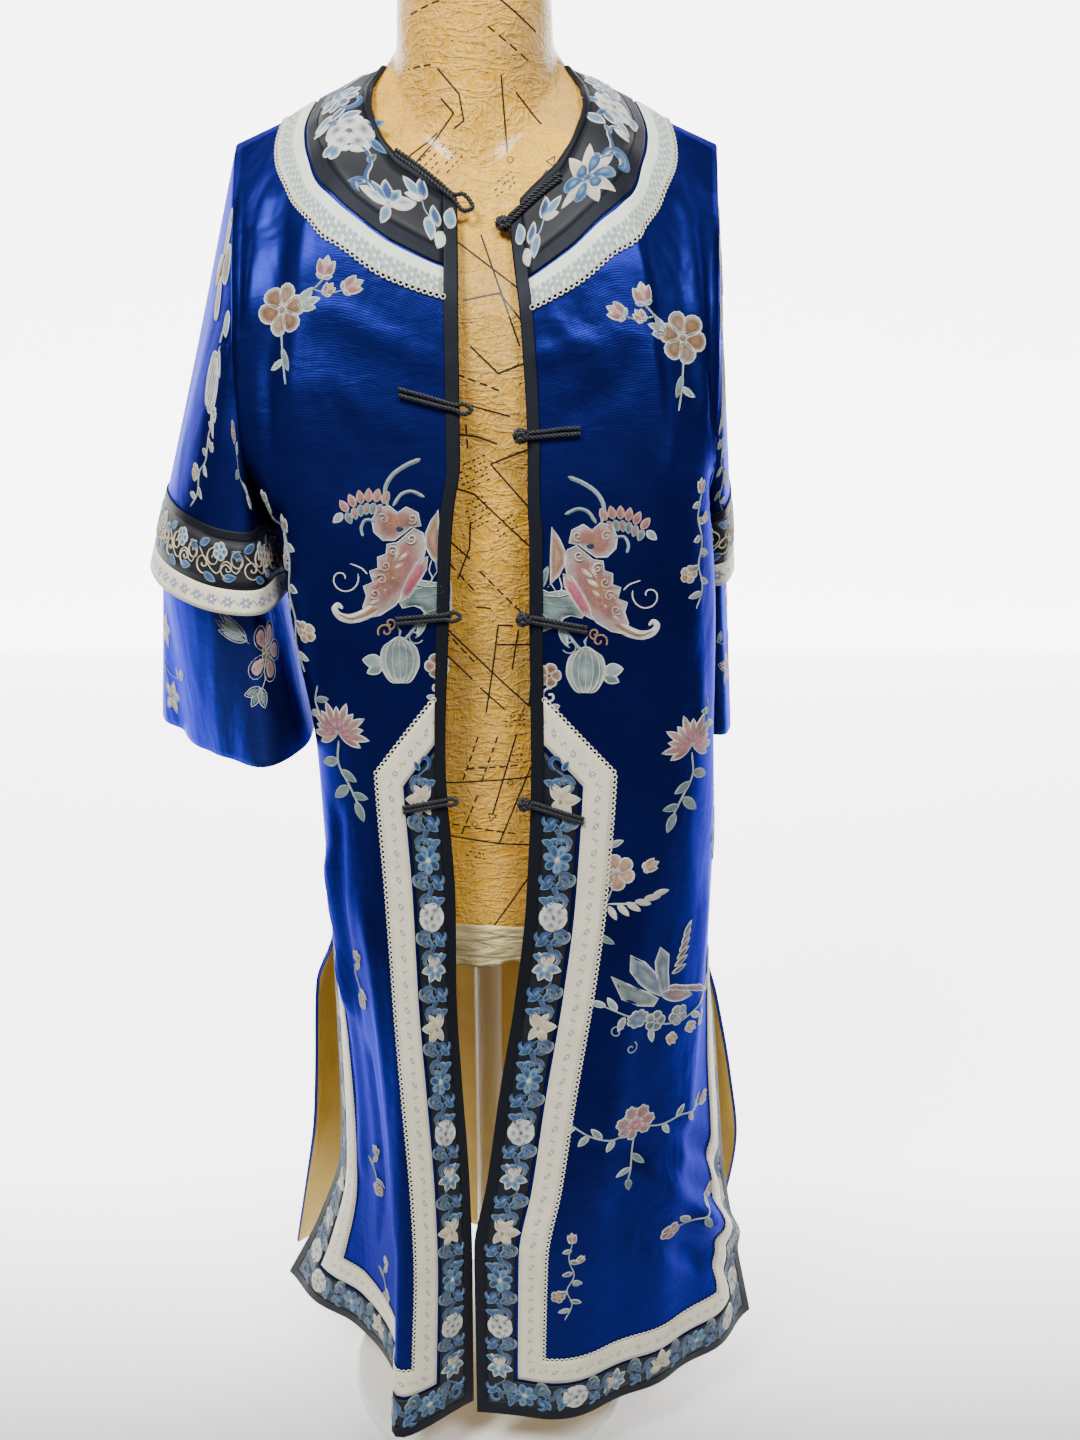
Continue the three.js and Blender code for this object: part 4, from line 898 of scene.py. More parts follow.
def varnished_pattern(name, light, dark):
    """Varnished tissue over papier-mache: overlapping sheets with fine bright wrinkles and honey stains."""
    finish = Finish(name)
    spot = finish.place()
    sheets = finish.add("ShaderNodeTexVoronoi", {"feature": "F1"}, Vector=spot, Scale=9.0, Randomness=1.0)
    patch = finish.add("ShaderNodeSeparateXYZ", None, Vector=sheets.outputs["Color"]).outputs[0]
    edges = finish.add("ShaderNodeTexVoronoi", {"feature": "DISTANCE_TO_EDGE"}, Vector=spot, Scale=9.0,
                       Randomness=1.0).outputs["Distance"]
    overlap = finish.remap(edges, 0.0, 0.012, 1.0, 0.0)
    stain = finish.noise(spot, 9.0, 5.0, 0.65, 0.6)
    shade = finish.blend(finish.remap(stain, 0.36, 0.66), rgba(light), rgba(dark))
    shade = finish.blend(finish.remap(patch, 0.45, 0.75, 0.0, 0.55), shade, (0.44, 0.25, 0.05, 1.0))
    shade = finish.blend(finish.math("MULTIPLY", overlap, 0.3), shade, rgba(dark, 0.8))
    layers = []
    for scale, stretch in ((30.0, (1.0, 1.0, 2.6)), (42.0, (2.4, 1.0, 0.8)), (75.0, (1.0, 1.0, 1.3))):
        wave = finish.noise(finish.place(stretch), scale, 3.0, 0.5, 1.6)
        ridge = finish.math("ABSOLUTE", finish.math("SUBTRACT", wave, 0.5))
        layers.append(finish.remap(ridge, 0.0, 0.09, 1.0, 0.0))
    wrinkles = finish.math("MAXIMUM", finish.math("MAXIMUM", layers[0], layers[1]), layers[2])
    # painted highlight: the wrinkle ridges are lightened towards pale gold
    shade = finish.blend(finish.math("MULTIPLY", wrinkles, 0.16), shade, (1.0, 0.80, 0.40, 1.0))
    finish.surface(Base_Color=shade, Roughness=finish.remap(stain, 0.3, 0.7, 0.24, 0.38))
    finish.surface(Coat_Weight=0.3, Coat_Roughness=0.12, Specular_IOR_Level=0.2)
    finish.relief((layers[0], 0.5, 0.0016), (layers[1], 0.45, 0.0012), (layers[2], 0.3, 0.0008),
                  (overlap, 0.4, 0.0005))
    return finish.material


def crumpled_paper(name, colour):
    """Thin beige paper, crumpled in level pleats."""
    finish = Finish(name)
    pleats = finish.noise(finish.place((1.0, 1.0, 6.0)), 22.0, 4.0, 0.6, 0.9)
    fine = finish.noise(finish.place(), 60.0, 4.0, 0.65, 0.8)
    # painted shade and light: the colour follows the pleats' bumps, darker in the folds and lighter on the
    # crests
    shade = finish.blend(finish.remap(pleats, 0.32, 0.68), rgba(colour, 0.55), rgba(colour, 1.2))
    finish.surface(Base_Color=shade, Roughness=0.5)
    finish.relief((pleats, 0.8, 0.006), (fine, 0.5, 0.003))
    return finish.material


def painted_steel(name, colour):
    """White stove paint on steel, with a faint orange peel and rubbed edges."""
    finish = Finish(name)
    spot = finish.place()
    peel = finish.noise(spot, 900.0, 2.0, 0.5)
    rub = finish.noise(spot, 14.0, 5.0, 0.7)
    shade = finish.blend(finish.remap(rub, 0.6, 0.75, 0.0, 0.35), rgba(colour), rgba(colour, 0.6))
    finish.surface(Base_Color=shade, Roughness=finish.remap(rub, 0.4, 0.7, 0.3, 0.45), Coat_Weight=0.2)
    finish.relief((peel, 0.2, 0.0003))
    return finish.material


def pale_ground(name, glow, reach):
    """A pale floor or wall that glows as in a light tent, from its front edge back over a reach."""
    finish = Finish(name)
    where = finish.add("ShaderNodeSeparateXYZ", None, Vector=finish.place()).outputs[1]
    share = finish.remap(where, -0.14, reach - 0.14)
    cloud = finish.noise(finish.place(), 2.0, 2.0, 0.5)
    pale = finish.blend(cloud, (0.84, 0.84, 0.84, 1), (0.88, 0.88, 0.88, 1))
    finish.surface(Base_Color=finish.blend(share, (0.45, 0.45, 0.46, 1.0), pale), Roughness=0.9)
    finish.surface(Emission_Color=(1.0, 1.0, 1.0, 1.0), Emission_Strength=finish.math("MULTIPLY", share,
                                                                                      glow))
    return finish.material


# ---- user values ----
def colour_value(name, words, default):
    return bpy.props.FloatVectorProperty(name=name, description=words, subtype="COLOR", size=3,
                                         min=0.0, max=1.0, default=default)


def length_value(name, words, default):
    return bpy.props.FloatProperty(name=name, description=words, default=default, min=0.0, unit="LENGTH")


class RobeSizes(bpy.types.PropertyGroup):
    """Sizes that a user would change."""

    cloth: length_value("Cloth thickness", "Silk together with its lining", 0.002)
    trim: length_value("Trim thickness", "Ribbons, bands and bindings", 0.0008)
    trim_lift: length_value("Trim height", "Top of the trims over the middle of the cloth", 0.0022)
    loop_pitch: length_value("Edge loop spacing", "Between the woven loops on a ribbon's edge", 0.0042)
    loop_size: length_value("Edge loop size", "Across one woven loop", 0.0034)
    cord: length_value("Frog cord radius", "Radius of the silk cord of the frogs", 0.0017)


class RobeColours(bpy.types.PropertyGroup):
    """Colours that a user would change."""

    silk: colour_value("Silk", "Cobalt satin of the body and sleeves", (0.0085, 0.0110, 0.120))
    bloom: colour_value("Silk bloom", "Light that the satin throws back", (0.012, 0.035, 0.36))
    # Painted sheen: the lower tier's colour is a lighter copy of the silk colour, with the bloom painted
    # into it.
    under: colour_value("Lower tier", "Paler silk of the lower sleeve tier", (0.019, 0.028, 0.20))
    lining: colour_value("Lining", "Mustard silk lining", (0.55, 0.34, 0.025))
    black: colour_value("Black", "Satin of bindings and bands", (0.006, 0.007, 0.010))
    ribbon: colour_value("Ribbon", "Cream woven ribbon", (0.78, 0.72, 0.53))
    collar: colour_value("Collar ribbon", "Pale mint ribbon of the collar", (0.74, 0.80, 0.66))
    paper: colour_value("Form", "Varnished paper of the form", (0.80, 0.41, 0.006))
    paper_dark: colour_value("Form stain", "Darker varnish of the form", (0.50, 0.225, 0.008))
    wrap: colour_value("Wrap", "Paper round the form's foot", (0.62, 0.52, 0.25))
    steel: colour_value("Stand", "Paint of the stand", (0.78, 0.78, 0.76))


MATERIALS = {}


def prepare_materials(scene):
    """Makes every finish once, from the colours in the panel."""
    tone = scene.robe_colours
    MATERIALS.update(
        silk=satin("cobalt_satin", tone.silk, tone.bloom),
        # the lower tier: the cobalt satin with a lighter colour, a painted bloom
        under=satin("lower_tier_painted_bloom_satin", tone.under, tone.bloom, wrinkle=1.3),
        lining=plain_silk("mustard_silk", tone.lining, (0.70, 0.50, 0.08)),
        black=satin("black_satin", tone.black, (0.03, 0.035, 0.045), wrinkle=0.5, gloss=0.5, sheen=0.0,
                    level=0.16, glint=(0.8, 0.85, 1.0, 1.0), metal=0.0),
        band=band_satin("embroidered_band", tone.black),
        ribbon=woven_ribbon("woven_ribbon", tone.ribbon, (0.13, 0.13, 0.17), (0.17, 0.17, 0.18),
                            RIBBON * MM),
        sleeve_ribbon=woven_ribbon("sleeve_ribbon", tone.ribbon, (0.07, 0.11, 0.30), (0.10, 0.15, 0.22),
                                   SLEEVE_RIBBON * MM, 0.013, 0.26, 1.3),
        collar_ribbon=woven_ribbon("collar_ribbon", tone.collar, (0.17, 0.25, 0.25), (0.24, 0.33, 0.30),
                                   RIBBON * MM, 0.0085, 0.25, 2.2),
        thread=embroidery_silk("embroidery_silk"),
        loops=spun_thread("woven_loops", tone.ribbon),
        cord=spun_thread("frog_cord", tone.black, 0.42, 2.4, 0.6),
        ink=spun_thread("printed_ink", (0.018, 0.014, 0.010), 0.3),
        paper=varnished_pattern("varnished_pattern_paper", tone.paper, tone.paper_dark),
        wrap=crumpled_paper("crumpled_paper", tone.wrap),
        steel=painted_steel("painted_steel", tone.steel),
        floor=pale_ground("pale_floor", 3.2, 0.45),
        wall=pale_ground("pale_wall", 5.0, 0.5),
    )


def keep(made, nodes, slot, **sheet):
    """Ties a finished piece to the part: its body, the solids it stands for, its slot and its cut."""
    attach(made, "root")
    if nodes:
        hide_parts(*nodes)
    return made


def build_body(scene):
    """Both halves of the body, silk outside and mustard lining inside."""
    sizes = scene.robe_sizes
    for side, half in HALVES.items():
        made = body_mesh(half).build("body_" + side, (MATERIALS["silk"], MATERIALS["lining"]))
        weld(made)
        thicken(made, sizes.cloth / MM, 0, inner_slot=1)
        keep(made, ["body_" + side], "blue_silk", flat=(0.345, 2.21), held="draped", area=0.545,
             rests_on=["form_body"])


def sewn(name, grids, materials, thick, offset=-1, inner_slot=0):
    """A piece of cloth from grids of points, uv and way round: sewn, welded and thickened."""
    sewing = Sewing()
    for points, uv, turned in grids:
        sewing.grid(points, uv, turned=turned)
    made = sewing.build(name, [MATERIALS[material] for material in materials])
    weld(made)
    thicken(made, thick, offset, inner_slot)
    return made


def build_front_trims(scene):
    """Bindings, bands and ribbons of the fronts."""
    sizes = scene.robe_sizes
    lift, thick = sizes.trim_lift / MM, sizes.trim / MM
    areas = {"binding": (0.020, 1.75, 0.0168), "band": (0.030, 1.40, 0.0365),
             "ribbon": (0.026, 1.36, 0.0305)}
    slots = {"binding": ("black", "black_silk", 0.0), "band": ("band", "embroidered_band", -0.15),
             "ribbon": ("ribbon", "woven_ribbon", 0.1)}
    for side, half in HALVES.items():
        for kind, (width, length, area) in areas.items():
            material, slot, more = slots[kind]
            places, uv = strip_grid(*front_lines(kind), lanes=7)
            grids = [(on_cloth(half, places, lift + more), uv, side == "right")]
            made = sewn(f"front_{kind}_{side}", grids, [material], thick)
            keep(made, [f"front_{kind}_{side}"], slot, flat=(width, length), held="laid", area=area,
                 rests_on=["body_" + side])


def build_back_trims(scene):
    """Edging of the back panel, and its lining."""
    sizes = scene.robe_sizes
    lift, thick = sizes.trim_lift / MM, sizes.trim / MM
    rows = {"binding": ("black", "black_silk", 0.0, (0.0115, 1.55, 0.0158)),
            "band": ("band", "embroidered_band", -0.15, (0.03, 1.47, 0.041)),
            "ribbon": ("ribbon", "woven_ribbon", 0.1, (0.026, 1.36, 0.0315))}
    for kind, (material, slot, more, (width, length, area)) in rows.items():
        places, uv = strip_grid(*back_lines(kind), lanes=7)
        grids = [(on_cloth(half, places, lift + more), uv, half.side == "left") for half in HALVES.values()]
        made = sewn("back_" + kind, grids, [material], thick)
        keep(made, ["back_" + kind], slot, flat=(width, length), held="laid", area=area,
             rests_on=["body_right", "body_left"])
    downs = np.linspace(LINING_TOP, HEM_DOWN - LINING_CLEAR, 90)
    share = np.linspace(0, 1, 49)
    width = cut_width(downs) - LINING_CLEAR * (downs > VENT_TOP)
    places = np.stack([share[None] * width[:, None], np.repeat(-downs[:, None], 49, axis=1)], axis=2)
    grids = [(on_cloth(half, places, LINING_DEPTH), places, half.side == "left") for half in HALVES.values()]
    made = sewn("back_lining", grids, ["lining"], LINING_THICK, 1)
    keep(made, ["back_lining"], "mustard_lining", flat=(0.69, 0.505), held="hung", area=0.308,
         rests_on=["body_right", "body_left"])


def build_collar(scene):
    """Rings of the round collar: piping, embroidered band, plain strip and ribbon."""
    sizes = scene.robe_sizes
    lift, thick = sizes.trim_lift / MM, sizes.trim / MM
    rows = {"neck_piping": ("black", "black_silk", 0.7, (0.01, 0.47)),
            "collar_band": ("band", "embroidered_band", 0.0, (0.035, 0.66)),
            "collar_stripe": ("black", "black_silk", 0.1, (0.0115, 0.80)),
            "collar_ribbon": ("collar_ribbon", "woven_ribbon", 0.15, (0.018, 0.92))}
    count, lanes = 90, 8
    for name, (material, slot, more, flat) in rows.items():
        near, far = COLLAR_MARKS[name]
        grids = []
        for half in HALVES.values():
            starts = [collar_start(mark, BINDING) for mark in (near, far)]
            turn = np.linspace(0, 1, count)[:, None]
            share = np.linspace(0, 1, lanes)[None]
            first = starts[0] + (starts[1] - starts[0]) * share
            angle = first + (math.pi - first) * turn
            mark = near + (far - near) * np.broadcast_to(share, angle.shape)
            places = collar_place(angle, mark)
            middle = collar_place(angle[:, :1], np.full((count, 1), (near + far) / 2))[:, 0]
            gone = np.concatenate([[0], np.cumsum(np.linalg.norm(np.diff(middle, axis=0), axis=1))])
            width = np.linalg.norm(places[0, -1] - places[0, 0])
            uv = np.stack(np.broadcast_arrays(gone[:, None], share * width), axis=2)
            heights = lift + more
            if name == "neck_piping":
                heights = heights - 0.9 + 1.6 * np.sin(np.pi * share)
            heights = np.broadcast_to(heights, angle.shape)
            grids.append((on_cloth(half, places, heights), uv, half.side == "left"))
        made = sewn(name, grids, [material], thick)
        keep(made, [name], slot, flat=flat, held="laid", rests_on=["body_right", "body_left"])


# trims up from a sleeve's free edge: kind, depth, material, slot, height over the other trims
SLEEVE_TRIMS = (
    ("ribbon", SLEEVE_RIBBON, "sleeve_ribbon", "woven_ribbon", 0.15),
    ("band", SLEEVE_BAND, "band", "embroidered_band", 0.0),
    ("binding", SLEEVE_BINDING, "black", "black_silk", 0.1),
)


def sleeve_grid(tier, low, high, rows, lift, columns=120):
    """A band round a sleeve between two heights above its edge."""
    around = np.linspace(0, 1, columns)[None]
    rise = np.linspace(low, high, rows)[:, None]
    around, rise = np.broadcast_arrays(around, rise)
    return tier.at(around, rise, lift), around, rise


def build_sleeves(scene):
    """Upper tiers with their trims and linings, and the lower tiers."""
    sizes = scene.robe_sizes
    lift, thick = sizes.trim_lift / MM, sizes.trim / MM
    for side, tier in SLEEVES.items():
        girth = float(np.linalg.norm(np.diff(tier.end, axis=0), axis=1).sum())
        turned = side != "left"
        around, share = np.broadcast_arrays(np.linspace(0, 1, 121)[None], np.linspace(0, 1, 34)[:, None])
        uv = np.stack([around * girth, share * SLEEVE_GAUGE], axis=2)
        grids = [(tier.at_share(around, share), uv, turned)]
        made = sewn("sleeve_" + side, grids, ["silk", "lining"], sizes.cloth / MM, 0, inner_slot=1)
        keep(made, ["sleeve_" + side], "blue_silk", flat=(girth * MM * 1.15, 0.20), held="hung",
             area=girth * MM * SLEEVE_GAUGE * MM, rests_on=["body_" + side])
        low = 0
        for kind, deep, material, slot, more in SLEEVE_TRIMS:
            points, around, rise = sleeve_grid(tier, low, low + deep, 6, lift + more)
            uv = np.stack([around * girth, rise - low], axis=2)
            made = sewn(f"sleeve_{kind}_{side}", [(points, uv, turned)], [material], thick)
            keep(made, [f"sleeve_{kind}_{side}"], slot, flat=(girth * MM, (deep + 3) * MM), held="laid",
                 area=girth * MM * deep * MM, rests_on=["sleeve_" + side])
            low += deep
        points, around, rise = sleeve_grid(tier, -1.5, 53, 8, LINING_DEPTH)
        grids = [(points, np.stack([around * girth, rise], axis=2), turned)]
        made = sewn("sleeve_lining_" + side, grids, ["lining"], LINING_THICK, 1)
        keep(made, ["sleeve_lining_" + side], "mustard_lining", flat=(girth * MM, 0.055), held="hung",
             rests_on=["sleeve_" + side])
        build_lower_tier(scene, side, tier, girth)


def lower_tier_points(side, tier, columns=121):
    """Rings of the lower tier: three inside the upper tier, then down to its own edge."""
    around = np.linspace(0, 1, columns)
    rings = []
    for rise, depth, drawn in ((SLEEVE_ROOT, 2.3, 0.02), (60, 4.2, 0.05), (0, 4.2, 0.07)):
        ring = tier.at(around, np.full(columns, rise), -depth)
        middle = ring[:-1].mean(axis=0)
        middle_ring = np.stack([np.full(columns, middle[0]), np.full(columns, middle[1]), ring[:, 2]],
                               axis=1)
        rings.append(ring + (middle_ring - ring) * drawn)
    foot = np.array([[(x, y, UNDER_FOOT) for x, y in SLEEVE_ENDS[side]["lower"]]], float)
    foot = along(centripetal(foot, closed=True)[0], around)
    rows = [rings[0], rings[1], (rings[1] + rings[2]) / 2, rings[2]]
    steps = np.linspace(0, 1, 26)[1:]
    middle = foot[:-1].mean(axis=0)
    for t in steps:
        row = rings[2] + (foot - rings[2]) * t
        for place, width, height in TIER_FOLDS[side]:
            row = row + unit((row - middle) * (1, 1,
                                               0)) * (height * t * swell((around - place) / width))[:, None]
        rows.append(row)
    return np.stack(rows), around


def build_lower_tier(scene, side, tier, girth):
    """The plain-edged lower tier of one sleeve."""
    rows, around = lower_tier_points(side, tier)
    steps = np.concatenate([[0], np.cumsum(np.linalg.norm(np.diff(rows, axis=0), axis=2).mean(axis=1))])
    uv = np.stack(np.broadcast_arrays(around[None] * girth, steps[:, None]), axis=2)
    made = sewn("undersleeve_" + side, [(rows, uv, side == "left")], ["under", "lining"],
                scene.robe_sizes.cloth / MM, 0, inner_slot=1)
    keep(made, ["undersleeve_" + side], "blue_silk", flat=(girth * MM * 1.08, 0.22), held="hung",
         area=girth * MM * 0.21, rests_on=["sleeve_" + side])


# ---- rows that follow a path: woven loops, couched knots and cords ----
class Tree:
    """A geometry node tree while it is being built."""

    def __init__(self, name, inputs):
        self.tree = bpy.data.node_groups.new(name, "GeometryNodeTree")
        face = self.tree.interface
        face.new_socket(name="Geometry", in_out="INPUT", socket_type="NodeSocketGeometry")
        self.sockets = {}
        for label, kind, value in inputs:
            socket = face.new_socket(name=label, in_out="INPUT", socket_type=kind)
            if value is not None:
                socket.default_value = value
            self.sockets[label] = socket.identifier
        face.new_socket(name="Geometry", in_out="OUTPUT", socket_type="NodeSocketGeometry")
        self.source = self.tree.nodes.new("NodeGroupInput")
        self.end = self.tree.nodes.new("NodeGroupOutput")

    def add(self, kind, settings=None, **inputs):
        node = self.tree.nodes.new(kind)
        for key, value in (settings or {}).items():
            setattr(node, key, value)
        for key, value in inputs.items():
            place = int(key[1:]) if key[0] == "i" and key[1:].isdigit() else key.replace("_", " ")
            socket = node.inputs[place]
            if isinstance(value, bpy.types.NodeSocket):
                self.tree.links.new(value, socket)
            else:
                socket.default_value = value
        return node

    def given(self, label):
        return self.source.outputs[label]

    def close(self, geometry):
        real = self.add("GeometryNodeRealizeInstances", None, Geometry=geometry)
        done = self.add("GeometryNodeSetMaterial", None, Geometry=real.outputs[0],
                        Material=self.given("Material"))
        self.tree.links.new(done.outputs[0], self.end.inputs[0])

    def run(self, source, name, **values):
        """Applies the tree to a source object and returns the plain mesh object."""
        nodes = source.modifiers.new("rows", "NODES")
        nodes.node_group = self.tree
        for label, value in values.items():
            nodes[self.sockets[label.replace("_", " ")]] = value
        return evaluated_copy(source, name)


def row_tree(name, item):
    """Sets one small item again and again along paths, turned by the path's own directions."""
    tree = Tree(name, [("Pitch", "NodeSocketFloat", 0.004), ("Size", "NodeSocketFloat", 0.003),
                       ("Material", "NodeSocketMaterial", None)])
    curve = tree.add("GeometryNodeMeshToCurve", None, Mesh=tree.given("Geometry"))
    places = tree.add("GeometryNodeResampleCurve", {"mode": "LENGTH"}, Curve=curve.outputs[0],
                      Length=tree.given("Pitch"))
    if item == "loop":
        ring = tree.add("GeometryNodeCurvePrimitiveCircle", None, Resolution=9, Radius=0.5)
        wire = tree.add("GeometryNodeCurvePrimitiveCircle", None, Resolution=4, Radius=0.17)
        shape = tree.add("GeometryNodeCurveToMesh", None, Curve=ring.outputs[0],
                         Profile_Curve=wire.outputs[0])
        shape = shape.outputs[0]
    else:
        ball = tree.add("GeometryNodeMeshIcoSphere", None, Radius=0.5, Subdivisions=1)
        shape = tree.add("GeometryNodeTransform", None, Geometry=ball.outputs[0],
                         Scale=(1.0, 0.62, 0.5)).outputs[0]
    face = tree.add("GeometryNodeInputNamedAttribute", {"data_type": "FLOAT_VECTOR"}, Name="face")
    out = tree.add("GeometryNodeInputNamedAttribute", {"data_type": "FLOAT_VECTOR"}, Name="out")
    first = tree.add("FunctionNodeAlignRotationToVector", {"axis": "Z"}, Vector=face.outputs[0])
    second = tree.add("FunctionNodeAlignRotationToVector", {"axis": "Y", "pivot_axis": "Z"},
                      Rotation=first.outputs[0], Vector=out.outputs[0])
    placed = tree.add("GeometryNodeInstanceOnPoints", None, Points=places.outputs[0], Instance=shape,
                      Rotation=second.outputs[0], Scale=tree.given("Size"))
    tree.close(placed.outputs[0])
    return tree


def cord_tree(name):
    """A cord of twisted strands along paths."""
    tree = Tree(name, [("Radius", "NodeSocketFloat", 0.0014), ("Turns per metre", "NodeSocketFloat", 120.0),
                       ("Step", "NodeSocketFloat", 0.0012), ("Material", "NodeSocketMaterial", None)])
    curve = tree.add("GeometryNodeMeshToCurve", None, Mesh=tree.given("Geometry"))
    fine = tree.add("GeometryNodeResampleCurve", {"mode": "LENGTH"}, Curve=curve.outputs[0],
                    Length=tree.given("Step"))
    along_it = tree.add("GeometryNodeSplineParameter")
    turns = tree.add("ShaderNodeMath", {"operation": "MULTIPLY"}, i0=along_it.outputs["Length"],
                     i1=tree.given("Turns per metre"))
    tilt = tree.add("ShaderNodeMath", {"operation": "MULTIPLY"}, i0=turns.outputs[0], i1=2 * math.pi)
    turned = tree.add("GeometryNodeSetCurveTilt", None, Curve=fine.outputs[0], Tilt=tilt.outputs[0])
    strand_radius = tree.add("ShaderNodeMath", {"operation": "MULTIPLY"}, i0=tree.given("Radius"), i1=0.56)
    offset = tree.add("ShaderNodeMath", {"operation": "MULTIPLY"}, i0=tree.given("Radius"), i1=0.5)
    strand = tree.add("GeometryNodeCurvePrimitiveCircle", None, Resolution=7,
                      Radius=strand_radius.outputs[0])
    join = tree.add("GeometryNodeJoinGeometry")
    for k in range(3):
        angle = 2 * math.pi * k / 3
        where = tree.add("ShaderNodeCombineXYZ")
        for axis, factor in ((0, math.cos(angle)), (1, math.sin(angle))):
            scaled = tree.add("ShaderNodeMath", {"operation": "MULTIPLY"}, i0=offset.outputs[0], i1=factor)
            tree.tree.links.new(scaled.outputs[0], where.inputs[axis])
        moved = tree.add("GeometryNodeTransform", None, Geometry=strand.outputs[0],
                         Translation=where.outputs[0])
        tree.tree.links.new(moved.outputs[0], join.inputs[0])
    tube = tree.add("GeometryNodeCurveToMesh", None, Curve=turned.outputs[0], Profile_Curve=join.outputs[0],
                    Fill_Caps=True)
    tree.close(tube.outputs[0])
    return tree


def path_object(name, paths, faces=None, outs=None):
    """A mesh of open paths in millimetres, with the directions that rows along them take."""
    points = np.concatenate(paths)
    edges, start = [], 0
    for path in paths:
        edges += [(start + k, start + k + 1) for k in range(len(path) - 1)]
        start += len(path)
    mesh = bpy.data.meshes.new(name)
    mesh.from_pydata((points * MM).tolist(), edges, [])
    for label, vectors in (("face", faces), ("out", outs)):
        if vectors is not None:
            layer = mesh.attributes.new(label, "FLOAT_VECTOR", "POINT")
            layer.data.foreach_set("vector", unit(np.concatenate(vectors)).astype(np.float32).ravel())
    made = bpy.data.objects.new(name, mesh)
    bpy.context.collection.objects.link(made)
    return made


def edge_rows(half_line, lift, step=3.0):
    """Path, face and out directions along a line of the cut on one half."""
    half, line, flipped = half_line
    line = np.array(line, float)
    pieces = []
    for (a, b) in zip(line[:-1], line[1:]):
        count = max(2, int(np.linalg.norm(b - a) / step) + 1)
        pieces.append(a + (b - a) * np.linspace(0, 1, count)[:, None])
    places = np.concatenate([pieces[0]] + [piece[1:] for piece in pieces[1:]])
    points = half.at(places[:, 0], places[:, 1], lift)
    face = half.outward(places[:, 0], places[:, 1])
    run = np.gradient(points, axis=0)
    out = unit(np.cross(face, run)) * (1 if flipped else -1) * (1 if half.side == "right" else -1)
    return points + out * 0.8, face, out


def build_ribbon_loops(scene):
    """Woven loops along the free edges of the ribbons."""
    sizes = scene.robe_sizes
    loops = row_tree("woven loop row", "loop")
    lift = sizes.trim_lift / MM - 0.3
    groups = {}
    for side, half in HALVES.items():
        groups["front_loops_" + side] = [edge_rows((half, front_lines("ribbon")[1], False), lift)]
    groups["back_loops"] = [edge_rows((half, back_lines("ribbon")[1], True),
                                      lift) for half in HALVES.values()]
    mark = COLLAR_MARKS["collar_ribbon"][1]
    angle = np.linspace(collar_start(mark, BINDING), math.pi, 160)
    line = collar_place(angle, np.full_like(angle, mark))
    groups["collar_loops"] = [edge_rows((half, line, True), lift) for half in HALVES.values()]
    for name, parts in groups.items():
        source = path_object(name + "_path", *zip(*parts))
        made = loops.run(source, name, Pitch=sizes.loop_pitch, Size=sizes.loop_size,
                         Material=MATERIALS["loops"])
        keep(made, [], "woven_ribbon")


# level of the loop and of the knot, the eye's half height, and how far the outer ends stand lower
FROGS = ((93, 96, 8, -12, -3), (241, 258, 5, -5, 0), (386, 388, 5, 3, 7), (528, 530, 4, 5, 12))
FROG_LENGTH, FROG_HALF, FROG_LIFT, FROG_BALL = 44, 1.75, 3.7, 5.4
FROG_TURNS = (28, 13, 2)        # where the cord is held down, from the fold to the front edge
KNOT_SEAT, KNOT_STRAND = 0.6, 1.5


def frog_path(half, down, reach, eye, tilt):
    """The folded cord of one side of a frog: out along the cloth, round its eye and back."""
    away = [(x, FROG_HALF) for x in (FROG_LENGTH, *FROG_TURNS)] + [(-0.4 * reach, 0.7 * eye)]
    places = [(x, -y) for x, y in away] + [(-reach, 0.0)] + away[::-1]
    across, aside = np.array(places).T
    lean = tilt * np.maximum(across, 0) / FROG_LENGTH
    points = half.at(across, down + aside + lean, FROG_LIFT)
    return centripetal(points[None], fine=8)[0]


def knot_path(centre, radius):
    """A ball knot: one cord worked over and under itself round a ball."""
    turn = np.linspace(0, 2 * math.pi * 3, 200)
    rise = 1.12 * np.sin(turn * 4 / 3)
    far = radius + 0.55 * np.cos(turn * 8 / 3 + 0.5)
    return centre + np.stack([far * np.cos(turn) * np.cos(rise), far * np.sin(rise) * 0.96,
                              far * np.sin(turn) * np.cos(rise)], axis=1)


def build_frogs(scene):
    """Corded loops on the right front, and folded cords with ball knots on the left."""
    sizes = scene.robe_sizes
    tree = cord_tree("twisted silk cord")
    values = {"Radius": sizes.cord, "Material": MATERIALS["cord"]}
    for k, (loop, knot, eye, right_tilt, left_tilt) in enumerate(FROGS, 1):
        source = path_object("path", [frog_path(HALVES["right"], loop, eye + 4, eye, right_tilt)])
        keep(tree.run(source, f"corded_loop_{k}", **values), [f"frog_loop_{k}"], "silk_cord")
        source = path_object("path", [frog_path(HALVES["left"], knot, 1, FROG_HALF, left_tilt)])
        keep(tree.run(source, f"corded_fold_{k}", **values), [f"frog_cord_{k}"], "silk_cord")
        centre = HALVES["left"].at(-FROG_BALL + KNOT_SEAT, knot, FROG_LIFT + KNOT_SEAT)
        source = path_object("path", [knot_path(centre, FROG_BALL - KNOT_STRAND)])
        keep(tree.run(source, f"corded_knot_{k}", **values), [f"frog_knot_{k}"], "silk_cord")


